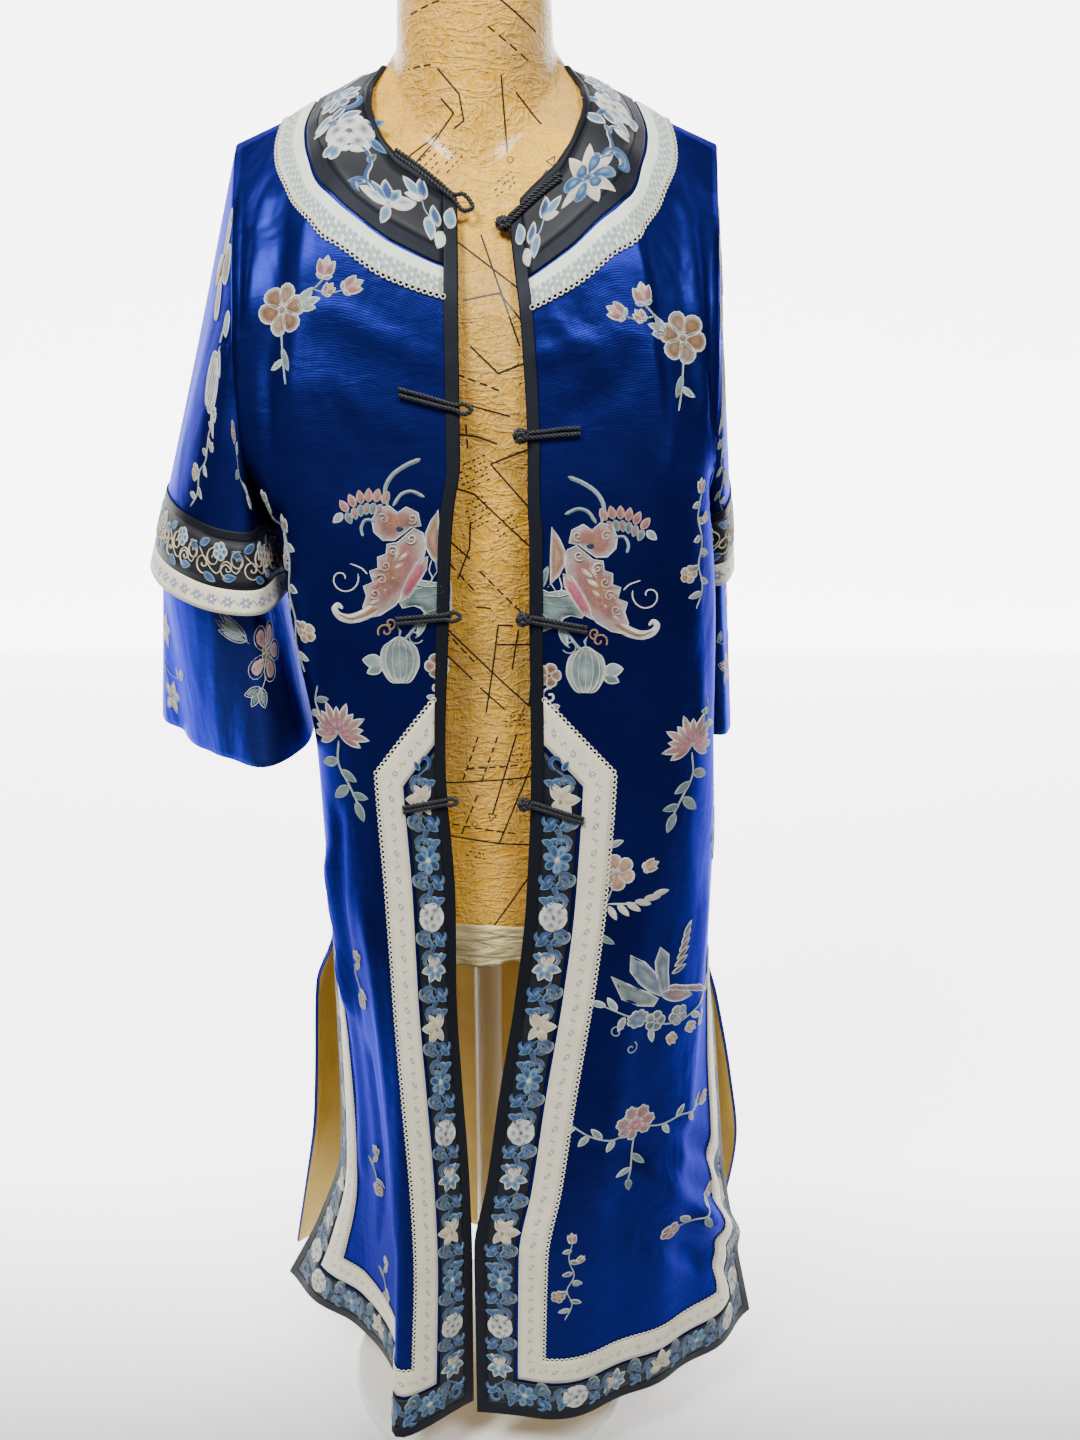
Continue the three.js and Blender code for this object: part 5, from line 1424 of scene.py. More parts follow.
# ---- embroidery: motifs drawn from petals, leaves and cords, then laid on the cloth ----
THREAD = {
    "outline": (0.74, 0.77, 0.68), "cream": (0.80, 0.66, 0.42), "white": (0.86, 0.86, 0.74),
    "brown": (0.19, 0.095, 0.032), "tan": (0.34, 0.17, 0.075), "pink": (0.37, 0.15, 0.13),
    "rose": (0.50, 0.12, 0.16), "blush": (0.60, 0.36, 0.28), "peach": (0.48, 0.26, 0.12),
    "sage": (0.12, 0.19, 0.175), "mist": (0.28, 0.38, 0.36), "slate": (0.07, 0.12, 0.19),
    "sky": (0.13, 0.30, 0.46), "blue": (0.018, 0.07, 0.22), "deep": (0.008, 0.02, 0.09),
    "gold": (0.36, 0.24, 0.08), "plum": (0.12, 0.07, 0.10),
}
OUTLINE = 1.15      # width of a couched outline
LAY = 1.06          # height of the silk's face over the middle of the cloth


def turned_by(points, x=0.0, y=0.0, turn=0.0, size=1.0):
    """Local points turned by degrees, scaled and moved."""
    angle = math.radians(turn)
    cosine, sine = math.cos(angle) * size, math.sin(angle) * size
    points = np.asarray(points, float)
    return np.stack([x + points[..., 0] * cosine - points[..., 1] * sine,
                     y + points[..., 0] * sine + points[..., 1] * cosine], axis=-1)


def leaf_shape(length, width, count=11, belly=0.85):
    """Outline of a pointed leaf or petal that runs along +x."""
    t = np.linspace(0, 1, count)
    half = width / 2 * np.sin(np.pi * t**belly) ** 0.85
    upper = np.stack([t * length, -half], axis=1)
    lower = np.stack([t * length, half], axis=1)[::-1]
    return np.concatenate([upper, lower[1:-1]])


def petal_shape(length, width, count=14):
    """Outline of a round petal with a narrow foot that runs along +x."""
    angle = np.linspace(-math.pi, math.pi, count + 1)[:-1]
    along_it = length * (0.56 + 0.44 * np.cos(angle))
    narrow = 0.55 + 0.45 * along_it / length
    return np.stack([along_it, width / 2 * np.sin(angle) * narrow], axis=1)


def scalloped(radius_x, radius_y, lobes, depth=0.16, start=-180, end=180, count=48):
    """Outline of a round form with a scalloped edge."""
    angle = np.radians(np.linspace(start, end, count + 1)[:-1])
    wave = 1 - depth * (1 - np.abs(np.sin(angle * lobes / 2)))
    return np.stack([radius_x * wave * np.cos(angle), radius_y * wave * np.sin(angle)], axis=1)


def spiral(turns=1.3, size=5.0, count=22, hand=1):
    """A curl that opens from its own middle towards +x."""
    t = np.linspace(0.12, 1, count)
    angle = 2 * math.pi * turns * (1 - t)
    return np.stack([size * t * np.cos(angle), hand * size * t * np.sin(angle)], axis=1)


class LowerTier(Chart):
    """The lower tier of a sleeve, read like the upper one from its rings."""

    def __init__(self, side, tier):
        rows, _ = lower_tier_points(side, tier)
        self.points = rows[::-1].copy()
        self.turn = tier.turn
        self.finish()
        self.out[:, 0] = self.out[:, -1] = unit(self.out[:, 0] + self.out[:, -1])
        self.rings = len(rows)
        self.tall = np.linalg.norm(np.diff(self.points[:25], axis=0), axis=2).mean()

    def at(self, around, level, lift):
        points, out = self.read(self.rings - 1 - level, around * (self.points.shape[1] - 1))
        return points + out * np.asarray(lift, float)[..., None]


class Needle:
    """Collects stitched shapes in the motif's own millimetres: x away from the front edge, y down."""

    def __init__(self):
        self.places, self.uv, self.colours, self.faces = [], [], [], []
        self.count = 0
        self.motif = []

    def add(self, points, lift, uv, faces, colours):
        lift = np.broadcast_to(np.asarray(lift, float), (len(points),))
        self.motif.append((points, lift))
        self.uv.append(uv)
        self.colours.append(np.broadcast_to(np.asarray(colours, float), (len(points), 3)))
        self.faces += [tuple(k + self.count for k in face) for face in faces]
        self.count += len(points)

    def settle(self, ground, x, y, turn=0.0, size=1.0):
        """Moves what was drawn since the last call to its place on a ground."""
        if self.motif:
            points = turned_by(np.concatenate([p for p, _ in self.motif]), 0, 0, turn, size)
            lift = np.concatenate([height for _, height in self.motif])
            self.places.append(ground(x, y, points, lift))
            self.motif = []

    def patch(self, outline, fill, rim=None, high=0.8, edge=OUTLINE, grain=0.0, heart=None):
        """A satin-stitched patch, crowned towards its middle, with a couched outline."""
        outline = np.asarray(outline, float)
        n = len(outline)
        centre = outline.mean(axis=0)
        inner = centre + (outline - centre) * 0.6
        points = np.concatenate([outline, inner, centre[None]])
        lift = np.concatenate([np.full(n, 0.05), np.full(n, high * 0.8), [high]])
        fill = np.array(THREAD[fill])
        rim_colour = np.array(THREAD[rim]) if rim else fill
        heart = np.array(THREAD[heart]) if heart else fill
        colours = np.concatenate([np.tile(rim_colour * 0.5 + fill * 0.5, (n, 1)), np.tile(fill, (n, 1)),
                                  heart[None]])
        faces = [(i, (i + 1) % n, n + (i + 1) % n, n + i) for i in range(n)]
        faces += [(n + i, n + (i + 1) % n, 2 * n) for i in range(n)]
        across, down = outline.T
        area = np.sum(across * np.roll(down, -1) - np.roll(across, -1) * down)
        if area < 0:
            faces = [face[::-1] for face in faces]
        self.add(points, lift, turned_by(points, turn=grain), faces, colours)
        if rim and edge:
            self.cord(outline, edge, rim, closed=True, high=0.75)

    def cord(self, points, width, colour, closed=False, high=0.7, smooth=0, taper=False):
        """A couched cord along points."""
        points = np.asarray(points, float)
        if smooth:
            flat = np.concatenate([points, np.zeros((len(points), 1))], axis=1)
            points = centripetal(flat[None], fine=smooth)[0][:, :2]
        if closed:
            run = np.roll(points, -1, axis=0) - np.roll(points, 1, axis=0)
        else:
            run = np.gradient(points, axis=0)
        side = unit(np.stack([-run[:, 1], run[:, 0]], axis=1)) * (width / 2)
        n = len(points)
        wide = 1.0 - 0.75 * np.linspace(0, 1, n) if taper else np.ones(n)
        if not closed:
            wide[0] = wide[-1] = 0.35 * wide[-1]
        rows = np.stack([points - side * wide[:, None], points, points + side * wide[:, None]], axis=1)
        lift = np.tile([0.02, high, 0.02], n)
        gone = np.concatenate([[0], np.cumsum(np.linalg.norm(np.diff(points, axis=0), axis=1))])
        uv = np.stack(np.broadcast_arrays(gone[:, None], np.array([0, width / 2, width])[None]), axis=2)
        faces = []
        for i in range(n if closed else n - 1):
            k = (i + 1) % n
            for j in range(2):
                faces.append((3 * i + j, 3 * k + j, 3 * k + j + 1, 3 * i + j + 1))
        self.add(rows.reshape(-1, 2), lift, uv.reshape(-1, 2), faces, THREAD[colour])

    # ---- plants ----
    def leaf(self, x, y, turn, length, width, fill="sage", rim="mist", vein=True):
        self.patch(turned_by(leaf_shape(length, width), x, y, turn), fill, rim, grain=turn + 60)
        if vein:
            self.cord(turned_by([(0, 0), (length * 0.5, 0.02 * width), (length * 0.88, 0)], x, y, turn), 0.7,
                      rim)

    def bud(self, x, y, turn, size, fill="pink", rim="outline"):
        for lean in (-24, 24):
            self.patch(turned_by(leaf_shape(size, size * 0.5), x, y, turn + lean), fill, rim, grain=turn)
        self.patch(turned_by(leaf_shape(size * 1.15, size * 0.5), x, y, turn), "blush", rim, grain=turn)
        self.leaf(x, y, turn + 70, size * 0.45, size * 0.22, "mist", "outline", False)
        self.leaf(x, y, turn - 70, size * 0.45, size * 0.22, "mist", "outline", False)

    def blossom(self, x, y, radius, petals=6, fill="brown", rim="outline", heart="tan", turn=0.0, wide=0.82):
        step = 360 / petals
        for k in range(petals):
            shape = petal_shape(radius, radius * wide * math.sin(math.pi / petals) * 2.2)
            self.patch(turned_by(shape, x, y, turn + k * step), fill, rim, heart=heart, grain=k * step + 90)
        self.patch(turned_by(petal_shape(radius * 0.44, radius * 0.44, 10), x - radius * 0.22, y), heart,
                   rim, 1.1)
        for k in range(6):
            dot = turned_by(petal_shape(radius * 0.10, radius * 0.10, 6), x, y)
            self.patch(turned_by(dot - (x, y), x + radius * 0.24 * math.cos(k * 1.05),
                                 y + radius * 0.24 * math.sin(k * 1.05)), "cream", None, 1.3)

    def aster(self, x, y, radius, fill="pink", rim="outline", petals=13, start=150, end=390):
        for k in range(petals):
            turn = start + (end - start) * k / (petals - 1)
            long = radius * (1.0 if k % 2 else 0.82)
            self.patch(turned_by(leaf_shape(long, radius * 0.24, 9, 1.1), x, y, turn), fill, rim,
                       grain=turn + 90)
        for k in range(7):
            turn = start + 20 + (end - start - 40) * k / 6
            self.patch(turned_by(leaf_shape(radius * 0.5, radius * 0.17, 8), x, y, turn), "rose", rim, 1.1,
                       0.6)
        self.patch(turned_by(petal_shape(radius * 0.3, radius * 0.34, 9), x, y, start + 180 - 60), "sage",
                   rim, 1.1)

    def peony(self, x, y, radius, fill="pink", rim="outline"):
        petals = ((200, 1.0, 0.9), (250, 1.0, 0.9), (300, 1.0, 0.9), (345, 0.95, 0.85), (160, 0.85, 0.8),
                  (30, 0.75, 0.7), (110, 0.7, 0.7))
        for turn, far, wide in petals:
            shape = scalloped(radius * 0.34 * wide * 1.2, radius * 0.34 * wide, 7, 0.2, count=28)
            self.patch(turned_by(shape, x + radius * 0.6 * far * math.cos(math.radians(turn)),
                                 y + radius * 0.6 * far * math.sin(math.radians(turn)), turn), fill, rim)
        self.patch(turned_by(scalloped(radius * 0.42, radius * 0.36, 8, 0.18, count=32), x, y), "rose", rim,
                   1.2)
        self.patch(turned_by(scalloped(radius * 0.2, radius * 0.18, 6, 0.15, count=20), x, y), "blush", rim,
                   1.4, 0.6)

    def stem(self, points, width=1.6, colour="mist"):
        self.cord(points, width, colour, smooth=5)
        self.cord(points, 0.6, "outline", smooth=5, high=0.95)

    def tendril(self, x, y, turn, size=6.0, hand=1, colour="mist", width=1.1, turns=1.3):
        curl = spiral(turns, size * 0.5, hand=hand)[::-1] - (size * 0.5, 0)
        lead = np.array([(0.0, 0.0)])
        self.cord(turned_by(np.concatenate([lead, curl * (-1, 1) + (0.4, 0)]), x, y, turn), width, colour)

    def melon(self, x, y, radius_x=13.0, radius_y=16.0):
        """A ribbed melon: a padded oval with couched ribs that meet at its ends."""
        angles = np.linspace(0, 2 * math.pi, 37)[:-1]
        rim = [(x + radius_x * math.cos(t),
                y + radius_y * math.sin(t) + 0.8 * math.cos(6 * t)) for t in angles]
        self.patch(rim, "sage", "outline", 1.0, heart="mist", grain=90)
        for share in (-0.72, -0.38, 0.0, 0.38, 0.72):
            half = np.linspace(-1.35, 1.35, 11)
            self.cord([(x + radius_x * share * math.cos(t),
                        y + radius_y * 0.98 * math.sin(t)) for t in half], 0.95,
                      "outline", high=1.35)
        self.cord([(x, y - radius_y), (x - 1, y - radius_y - 5), (x + 1, y - radius_y - 9)], 2.0, "mist")

    def butterfly(self):
        """Head towards -y: small wing at the front edge, the large one away and down with a curled tail."""
        self.patch([(-27, -23), (-22, -15), (-18, -6), (-18, 3), (-22, 11), (-28, 18), (-28, -2)], "tan",
                   "outline", heart="blush")
        lower = [(-18, 2), (-16, -7), (-10, -10), (-4, -5), (2, 0), (9, 1), (10, 8), (16, 10), (16, 18),
                 (22, 20),
                 (20, 28), (27, 31), (25, 38), (28, 46), (26, 54), (16, 52), (5, 45), (-4, 34), (-11, 22),
                 (-16, 12)]
        self.cord([(18, 46), (28, 52), (38, 55), (46, 53), (49, 48), (46, 45), (43, 48)], 9.0, "outline",
                  smooth=4, taper=True)
        self.cord([(18, 46), (28, 52), (38, 55), (46, 52)], 6.4, "tan", smooth=4, high=1.1, taper=True)
        self.patch(lower, "pink", "outline", 0.8, heart="tan")
        upper = [(-15, -12), (-13, -21), (-5, -25), (1, -21), (7, -26), (15, -24), (19, -16), (18, -8),
                 (12, -2), (4, -2), (-3, -7), (-8, -11)]
        self.patch(upper, "pink", "outline", 1.0, heart="tan")
        self.patch(turned_by(petal_shape(9, 7, 14), -5, -10), "deep", "outline", 1.2)
        self.patch([(-19, 10), (-13, 12), (-6, 22), (0, 34), (2, 43), (-5, 39), (-12, 29), (-18, 19)],
                   "rose", "outline", 1.1)
        for x, y, hand in ((-9, -17, 1), (11, -17, -1), (-8, -3, 1), (5, 6, -1), (11, 16, 1), (14, 26, -1),
                           (19, 36, 1)):
            self.cord(turned_by(spiral(1.4, 4.0, 16, hand), x, y, 40 * hand), 1.1, "white", high=1.4)
        for x, y, turn in ((-6, 6, 40), (-2, 14, 30), (2, 22, 35), (8, 30, 40), (14, 38, 35), (0, 4, 60)):
            self.leaf(x, y, turn, 10, 2.6, "cream", "white", False)
        self.stem([(8, -26), (9, -38), (4, -47), (-6, -54), (-16, -58)], 3.0)
        self.stem([(4, -26), (-2, -34), (-9, -36), (-18, -32)], 2.4)
        self.stem([(17, -16), (24, -16), (27, -10), (26, -5)], 2.2)
        for k in range(6):
            x, y = 11 + 5 * k, -29 + 0.55 * (k - 1.4) ** 2
            self.leaf(x, y, -118 + 13 * k, 9, 5, "pink", "blush", False)
            self.leaf(x + 1, y + 1, 62 + 10 * k, 8, 4.6, "sage" if k % 2 else "pink", "mist", False)
        self.leaf(40, -20, 42, 9, 5, "mist", "outline", False)
        self.cord([(-22, 12), (-20, 20), (-22, 26), (-14, 32), (-6, 34), (0, 42)], 1.0, "outline", smooth=4)
        self.cord([(-22, 26), (-28, 17), (-30, 20)], 0.9, "outline")
        self.cord(turned_by(spiral(1.2, 12, 30, -1), 42, 26, 200), 1.1, "outline")
        self.cord([(24, 22), (28, 18), (36, 15)], 1.1, "outline", smooth=4)

    def gourd_group(self):
        """The leaf over the frog, the ribbed melon with its tendrils, and the small flower beside it."""
        self.patch([(-19, -12), (-16, -16), (-8, -12), (2, -14), (12, -9), (18, 1), (16, 6), (8, 4), (3, 6),
                    (-2, 12), (-8, 14), (-16, 18), (-19, 12)], "sage", "outline", heart="mist")
        for x, y, turn, size in ((-14, -6, 10, 22), (-14, 2, 30, 14), (-12, -10, -4, 18)):
            self.cord(turned_by([(0, 0), (size * 0.6, 1.4), (size, 0)], x, y, turn), 0.8, "outline",
                      high=1.2)
        self.leaf(-15, -14, -70, 18, 5)
        self.stem([(0, 10), (6, 18), (12, 26), (16, 30)], 2.4)
        self.leaf(0, 12, 70, 16, 5, "mist", "outline")
        self.melon(19, 45, 14, 17)
        self.tendril(2, 30, -30, 12, 1)
        self.tendril(34, 26, -150, 12, 1, "tan", 1.4)
        self.tendril(26, 22, -100, 9, -1, "tan", 1.4)
        self.leaf(32, 46, -8, 14, 10, "mist", "outline", False)
        self.leaf(32, 49, 24, 12, 7, "sage", "outline", False)
        self.blossom(-8, 49, 9, 5, "tan", "outline", "brown")
        self.tendril(-6, 58, 100, 13, 1, "outline", 1.8)
        self.leaf(0, 72, 165, 10, 4, "mist", "outline", False)


def chest_spray(needle):
    """Brown flower with pink buds, blue leaves and a short stem."""
    needle.stem([(0, 0), (-12, -8), (-22, -14), (-30, -22)], 1.5)
    needle.stem([(-22, -14), (-34, -12), (-44, -15)], 1.4)
    needle.bud(-29, -22, -98, 13)
    needle.bud(-43, -15, -150, 12)
    needle.bud(-31, -11, -120, 8)
    for turn, long in ((-160, 16), (-125, 15), (-185, 13)):
        needle.leaf(-13, -3, turn, long, 6, "mist", "outline")
    needle.stem([(0, 14), (-2, 26), (-5, 38), (-9, 50)], 1.6)
    needle.leaf(-2, 26, 118, 17, 5)
    needle.leaf(-4, 34, 30, 13, 4.5, "mist", "outline")
    needle.blossom(0, 0, 18, 6, "brown", "outline", "tan", 15)


def aster_spray(needle, long=1.0):
    """Pink aster on a curling stem with blue-green leaves below."""
    needle.stem([(0, 6), (2, 24 * long), (-6, 40 * long), (-14, 56 * long)], 1.8)
    for x, y, turn, size in ((2, 22, 20, 17), (0, 30, 150, 15), (-6, 42, 40, 18), (-12, 54, 110, 16),
                             (-9, 48, 170, 13)):
        needle.leaf(x, y * long, turn, size, size * 0.42)
    needle.stem([(2, 4), (12, -8), (18, -22), (14, -36)], 1.4)
    needle.leaf(16, -14, 20, 12, 5, "mist", "outline")
    needle.leaf(17, -24, 190, 11, 4.6)
    needle.aster(0, 0, 25)


def climbing_spray(needle):
    """A tall stem with small leaves, buds and a curl, as beside the sleeves."""
    needle.stem([(0, 60), (8, 40), (2, 20), (10, 0), (4, -22), (8, -44)], 1.5)
    for k, (x, y) in enumerate(((6, 46), (6, 34), (3, 22), (8, 8), (8, -4), (5, -20), (7, -34))):
        needle.leaf(x, y, 20 if k % 2 else 165, 14 - k * 0.6, 5.4, "sage" if k % 3 else "mist", "outline")
    needle.bud(8, -44, -95, 11)
    needle.bud(14, -18, -40, 9)
    needle.blossom(-8, 28, 8, 5, "peach", "outline", "tan")
    needle.tendril(8, 12, -20, 11, 1)


def small_spray(needle):
    """A short branch with a bud, three leaves and a little flower."""
    needle.stem([(-22, 6), (-8, 2), (6, 4), (20, -6)], 1.3)
    needle.leaf(-10, 2, -140, 12, 4.6, "mist", "outline")
    needle.leaf(2, 4, 60, 13, 5)
    needle.leaf(10, 0, -50, 12, 4.6, "mist", "outline")
    needle.blossom(-24, 6, 7.5, 5, "pink", "outline", "rose")
    needle.bud(20, -6, -25, 10)


def peach_spray(needle):
    """Peach flower with a slate bud over it and a long cream-edged leaf under it."""
    needle.stem([(0, 0), (-6, -22), (-8, -40)], 1.5)
    needle.bud(-8, -38, -95, 14, "plum")
    needle.leaf(-5, -18, -160, 14, 5)
    needle.leaf(-4, -24, -20, 12, 4.6, "mist", "outline")
    needle.stem([(0, 10), (-8, 32), (-14, 60)], 1.6)
    for k in range(6):
        needle.leaf(-3 + 7 * k, 26 - 1.4 * k, 62 - 14 * k, 13, 4.4, "cream", "outline", False)
    needle.cord([(-4, 24), (14, 24), (32, 20), (44, 18)], 1.6, "outline", smooth=5)
    needle.leaf(-9, 36, 150, 15, 5, "mist", "outline")
    needle.leaf(-12, 50, 30, 16, 5)
    needle.blossom(2, -2, 15, 6, "peach", "outline", "blush", 20)
    needle.bud(24, -4, -20, 11, "peach")


def bird_scroll(needle):
    """Slate scrolls like a bird in flight over small flowers."""
    needle.patch([(-26, -34), (-14, -26), (-2, -12), (6, 0), (2, 8), (-8, 2), (-18, -8), (-26, -20)],
                 "slate", "outline", heart="mist")
    needle.patch([(-40, -16), (-26, -8), (-10, 2), (0, 10), (-4, 16), (-18, 12), (-32, 4)], "sage",
                 "outline", heart="mist")
    needle.patch([(0, -36), (8, -28), (8, -12), (10, 4), (4, 8), (-2, -8), (-4, -24)], "slate", "outline",
                 heart="mist")
    for k in range(6):
        needle.leaf(12 + 2 * k, -10 - 6 * k, -20 - 8 * k, 14, 4, "plum", "outline", False)
        needle.leaf(8 + 6 * k, 2 + 1.5 * k, 10 + 6 * k, 15, 4.4, "slate" if k % 2 else "pink", "outline",
                    False)
    needle.patch(turned_by(leaf_shape(34, 11), 2, 6, 18), "plum", "outline", heart="pink")
    needle.patch(turned_by(scalloped(10, 8, 8, 0.18, count=32), -18, 24), "slate", "outline", heart="sky")
    needle.blossom(-2, 30, 9, 5, "sage", "outline", "slate")
    needle.blossom(20, 30, 9, 5, "sage", "outline", "mist", 30)
    needle.stem([(-46, 10), (-30, 18), (-14, 26), (4, 34), (26, 36), (52, 26)], 1.5)
    for x, y, turn in ((-44, 10, 200), (-36, 14, -120), (-30, 20, 110), (-6, 36, 80), (34, 34, 30),
                       (44, 30, -40)):
        needle.leaf(x, y, turn, 13, 5, "mist", "outline")
    needle.tendril(-30, 30, 150, 12, 1)
    needle.tendril(-20, 44, 120, 12, -1)
    for x, y, turn, fill in ((12, 46, 60, "peach"), (30, 44, 30, "peach"), (44, 46, 0, "blush"),
                             (60, 30, -30, "pink")):
        needle.bud(x, y, turn, 10, fill)


def peony_branch(needle):
    """Pink peony with a long branch to each side."""
    needle.stem([(0, 0), (-20, 8), (-38, 4), (-54, -8)], 1.6)
    needle.stem([(0, 0), (22, 6), (46, 4), (74, 12)], 1.6)
    for x, y, turn in ((-20, 8, 120), (-30, 6, -130), (-40, 3, 130), (26, 6, 60), (40, 4, -50), (54, 6, 60),
                       (64, 9, -40), (-50, -4, 170), (74, 12, 20)):
        needle.leaf(x, y, turn, 12, 5, "mist" if turn > 0 else "sage", "outline")
    needle.bud(-54, -8, -150, 11, "peach")
    needle.bud(76, 12, -20, 10)
    needle.stem([(0, 8), (-4, 30), (-6, 52)], 1.6)
    needle.leaf(-4, 26, 40, 14, 5)
    needle.leaf(-5, 38, 150, 14, 5, "mist", "outline")
    needle.leaf(-6, 50, 80, 13, 5)
    needle.peony(0, 0, 20)


# motif, side, across, down, turn, size
FRONT_MOTIFS = (
    (chest_spray, "right", 129.7, 178, 0, 1.0), (chest_spray, "left", 138.1, 191, 0, 1.0),
    (Needle.butterfly, "right", 39.4, 333, 0, 1.0), (Needle.butterfly, "left", 46.0, 345, 0, 1.0),
    (Needle.gourd_group, "right", 20, 374, 0, 1.0), (Needle.gourd_group, "left", 23, 381, 0, 1.0),
    (aster_spray, "right", 104.3, 476, 0, 1.0), (aster_spray, "left", 131.9, 487, 0, 1.0),
    (climbing_spray, "right", 132, 372, 0, 1.0), (climbing_spray, "left", 131, 335, 0, 0.8),
    (small_spray, "right", 152, 322, -60, 0.8),
    (climbing_spray, "right", 200, 650, 10, 0.9), (small_spray, "right", 126, 690, -80, 0.9),
    (small_spray, "right", 196, 900, -80, 0.9), (small_spray, "right", 182, 1015, -80, 0.9),
    (peach_spray, "left", 72, 588, 0, 1.0), (bird_scroll, "left", 128, 690, 0, 1.0),
    (peony_branch, "left", 127.8, 814, 0, 1.0), (small_spray, "left", 216.7, 925, 0, 1.1),
    (climbing_spray, "left", 84, 950, 0, 0.75), (climbing_spray, "left", 196, 560, 0, 0.7),
)
# the back, which has the same sprays set wider apart
BACK_MOTIFS = (
    (chest_spray, 110, -150, 180, 1.0), (Needle.butterfly, 70, -360, 0, 1.0),
    (Needle.gourd_group, 60, -440, 0, 1.0),
    (aster_spray, 130, -540, 0, 1.0), (climbing_spray, 170, -380, 0, 0.9), (peach_spray, 60, -640, 0, 1.0),
    (bird_scroll, 130, -780, 0, 1.0), (peony_branch, 90, -920, 0, 1.0), (small_spray, 210, -930, 0, 1.0),
    (small_spray, 30, -260, 0, 1.0),
)


def tier_butterfly(needle):
    """Small butterfly with brown upper wings and pink lower ones."""
    for turn, long, wide, fill in ((-55, 40, 30, "brown"), (-125, 40, 30, "tan"), (42, 32, 24, "pink"),
                                   (138, 32, 24, "pink")):
        needle.patch(turned_by(petal_shape(long, wide), 0, 0, turn), fill, "outline", heart="tan",
                     grain=turn)
        needle.tendril(*turned_by([(long * 0.55, 0)], 0, 0, turn)[0], turn, 5.0, 1, "outline", 0.9)
    needle.cord([(0, -14), (0, 16)], 4.5, "brown", high=1.2)
    needle.tendril(-2, -14, -110, 9, -1, "outline", 1.0)
    needle.tendril(2, -14, -70, 9, 1, "outline", 1.0)


def tier_flower(needle):
    """Pink flower with a pair of leaves above it and a leaf below, as on the lower tiers."""
    for turn in (-120, -55, 10, 75, 140):
        needle.patch(turned_by(petal_shape(19, 15), 0, 0, turn), "blush", "outline", heart="pink",
                     grain=turn)
    needle.blossom(0, 0, 5, 5, "tan", "outline", "brown")
    needle.stem([(-16, -8), (-26, -14), (-34, -20)], 1.4)
    for turn, long in ((-155, 24), (-140, 26), (-168, 20)):
        needle.leaf(-18, -10, turn, long, 6.5, "mist", "outline")
    needle.stem([(-2, 14), (-6, 22)], 1.3)
    for turn in (80, 120, 160):
        needle.leaf(-6, 20, turn, 13, 6, "sage", "outline")


def tier_spray(needle):
    """Small cream flowers and a bud on a short branch."""
    for x, y in ((-12, -22), (2, 24)):
        for turn in (-150, -80, -20, 60, 120):
            needle.patch(turned_by(leaf_shape(13, 7), x, y, turn), "cream", "outline", heart="tan",
                         grain=turn)
    needle.stem([(-14, 4), (0, 8), (14, 4), (22, -2)], 1.5)
    needle.stem([(-14, 4), (-6, 14), (0, 22)], 1.3)
    needle.leaf(20, 0, -40, 15, 7, "sage", "outline")
    needle.leaf(14, 4, -110, 8, 5, "mist", "outline")


def melon_spray(needle):
    """A ribbed melon that hangs from a leaf, with a bud at its side."""
    needle.melon(0, 0, 15, 19)
    needle.stem([(-2, -28), (-1, -36), (0, -44)], 2.4)
    needle.leaf(0, -40, -60, 24, 13, "mist", "outline")
    needle.leaf(0, -24, 25, 16, 5, "sage", "outline")
    needle.leaf(12, 12, 40, 16, 5, "mist", "outline")


SLEEVE_MOTIFS = {       # motif, share round the tier, share of its length from the edge, turn, size
    "right": ((tier_butterfly, 0.12, 0.885, 8, 0.9), (melon_spray, 0.19, 0.70, 4, 1.0),
              (climbing_spray, 0.205, 0.50, 6, 0.7), (chest_spray, 0.90, 0.80, 180, 0.8),
              (small_spray, 0.31, 0.70, 60, 0.8), (aster_spray, 0.80, 0.62, 0, 0.7)),
    "left": ((tier_butterfly, 0.12, 0.885, -8, 0.9), (melon_spray, 0.19, 0.70, -4, 0.95),
             (climbing_spray, 0.21, 0.49, -6, 0.7), (chest_spray, 0.90, 0.80, 180, 0.8),
             (aster_spray, 0.80, 0.60, 0, 0.7)),
}
TIER_MOTIFS = {         # motif, share round the tier, ring from the top, turn, size
    "right": ((tier_flower, 0.362, 10.0, 0, 1.4), (tier_spray, 0.105, 17.5, 10, 1.2),
              (aster_spray, 0.70, 10.0, 0, 0.7), (small_spray, 0.88, 17.0, 0, 1.0)),
    "left": ((tier_spray, 0.18, 12.0, 0, 1.2), (tier_flower, 0.42, 12.0, 0, 0.9),
             (aster_spray, 0.72, 10.0, 0, 0.6)),
}


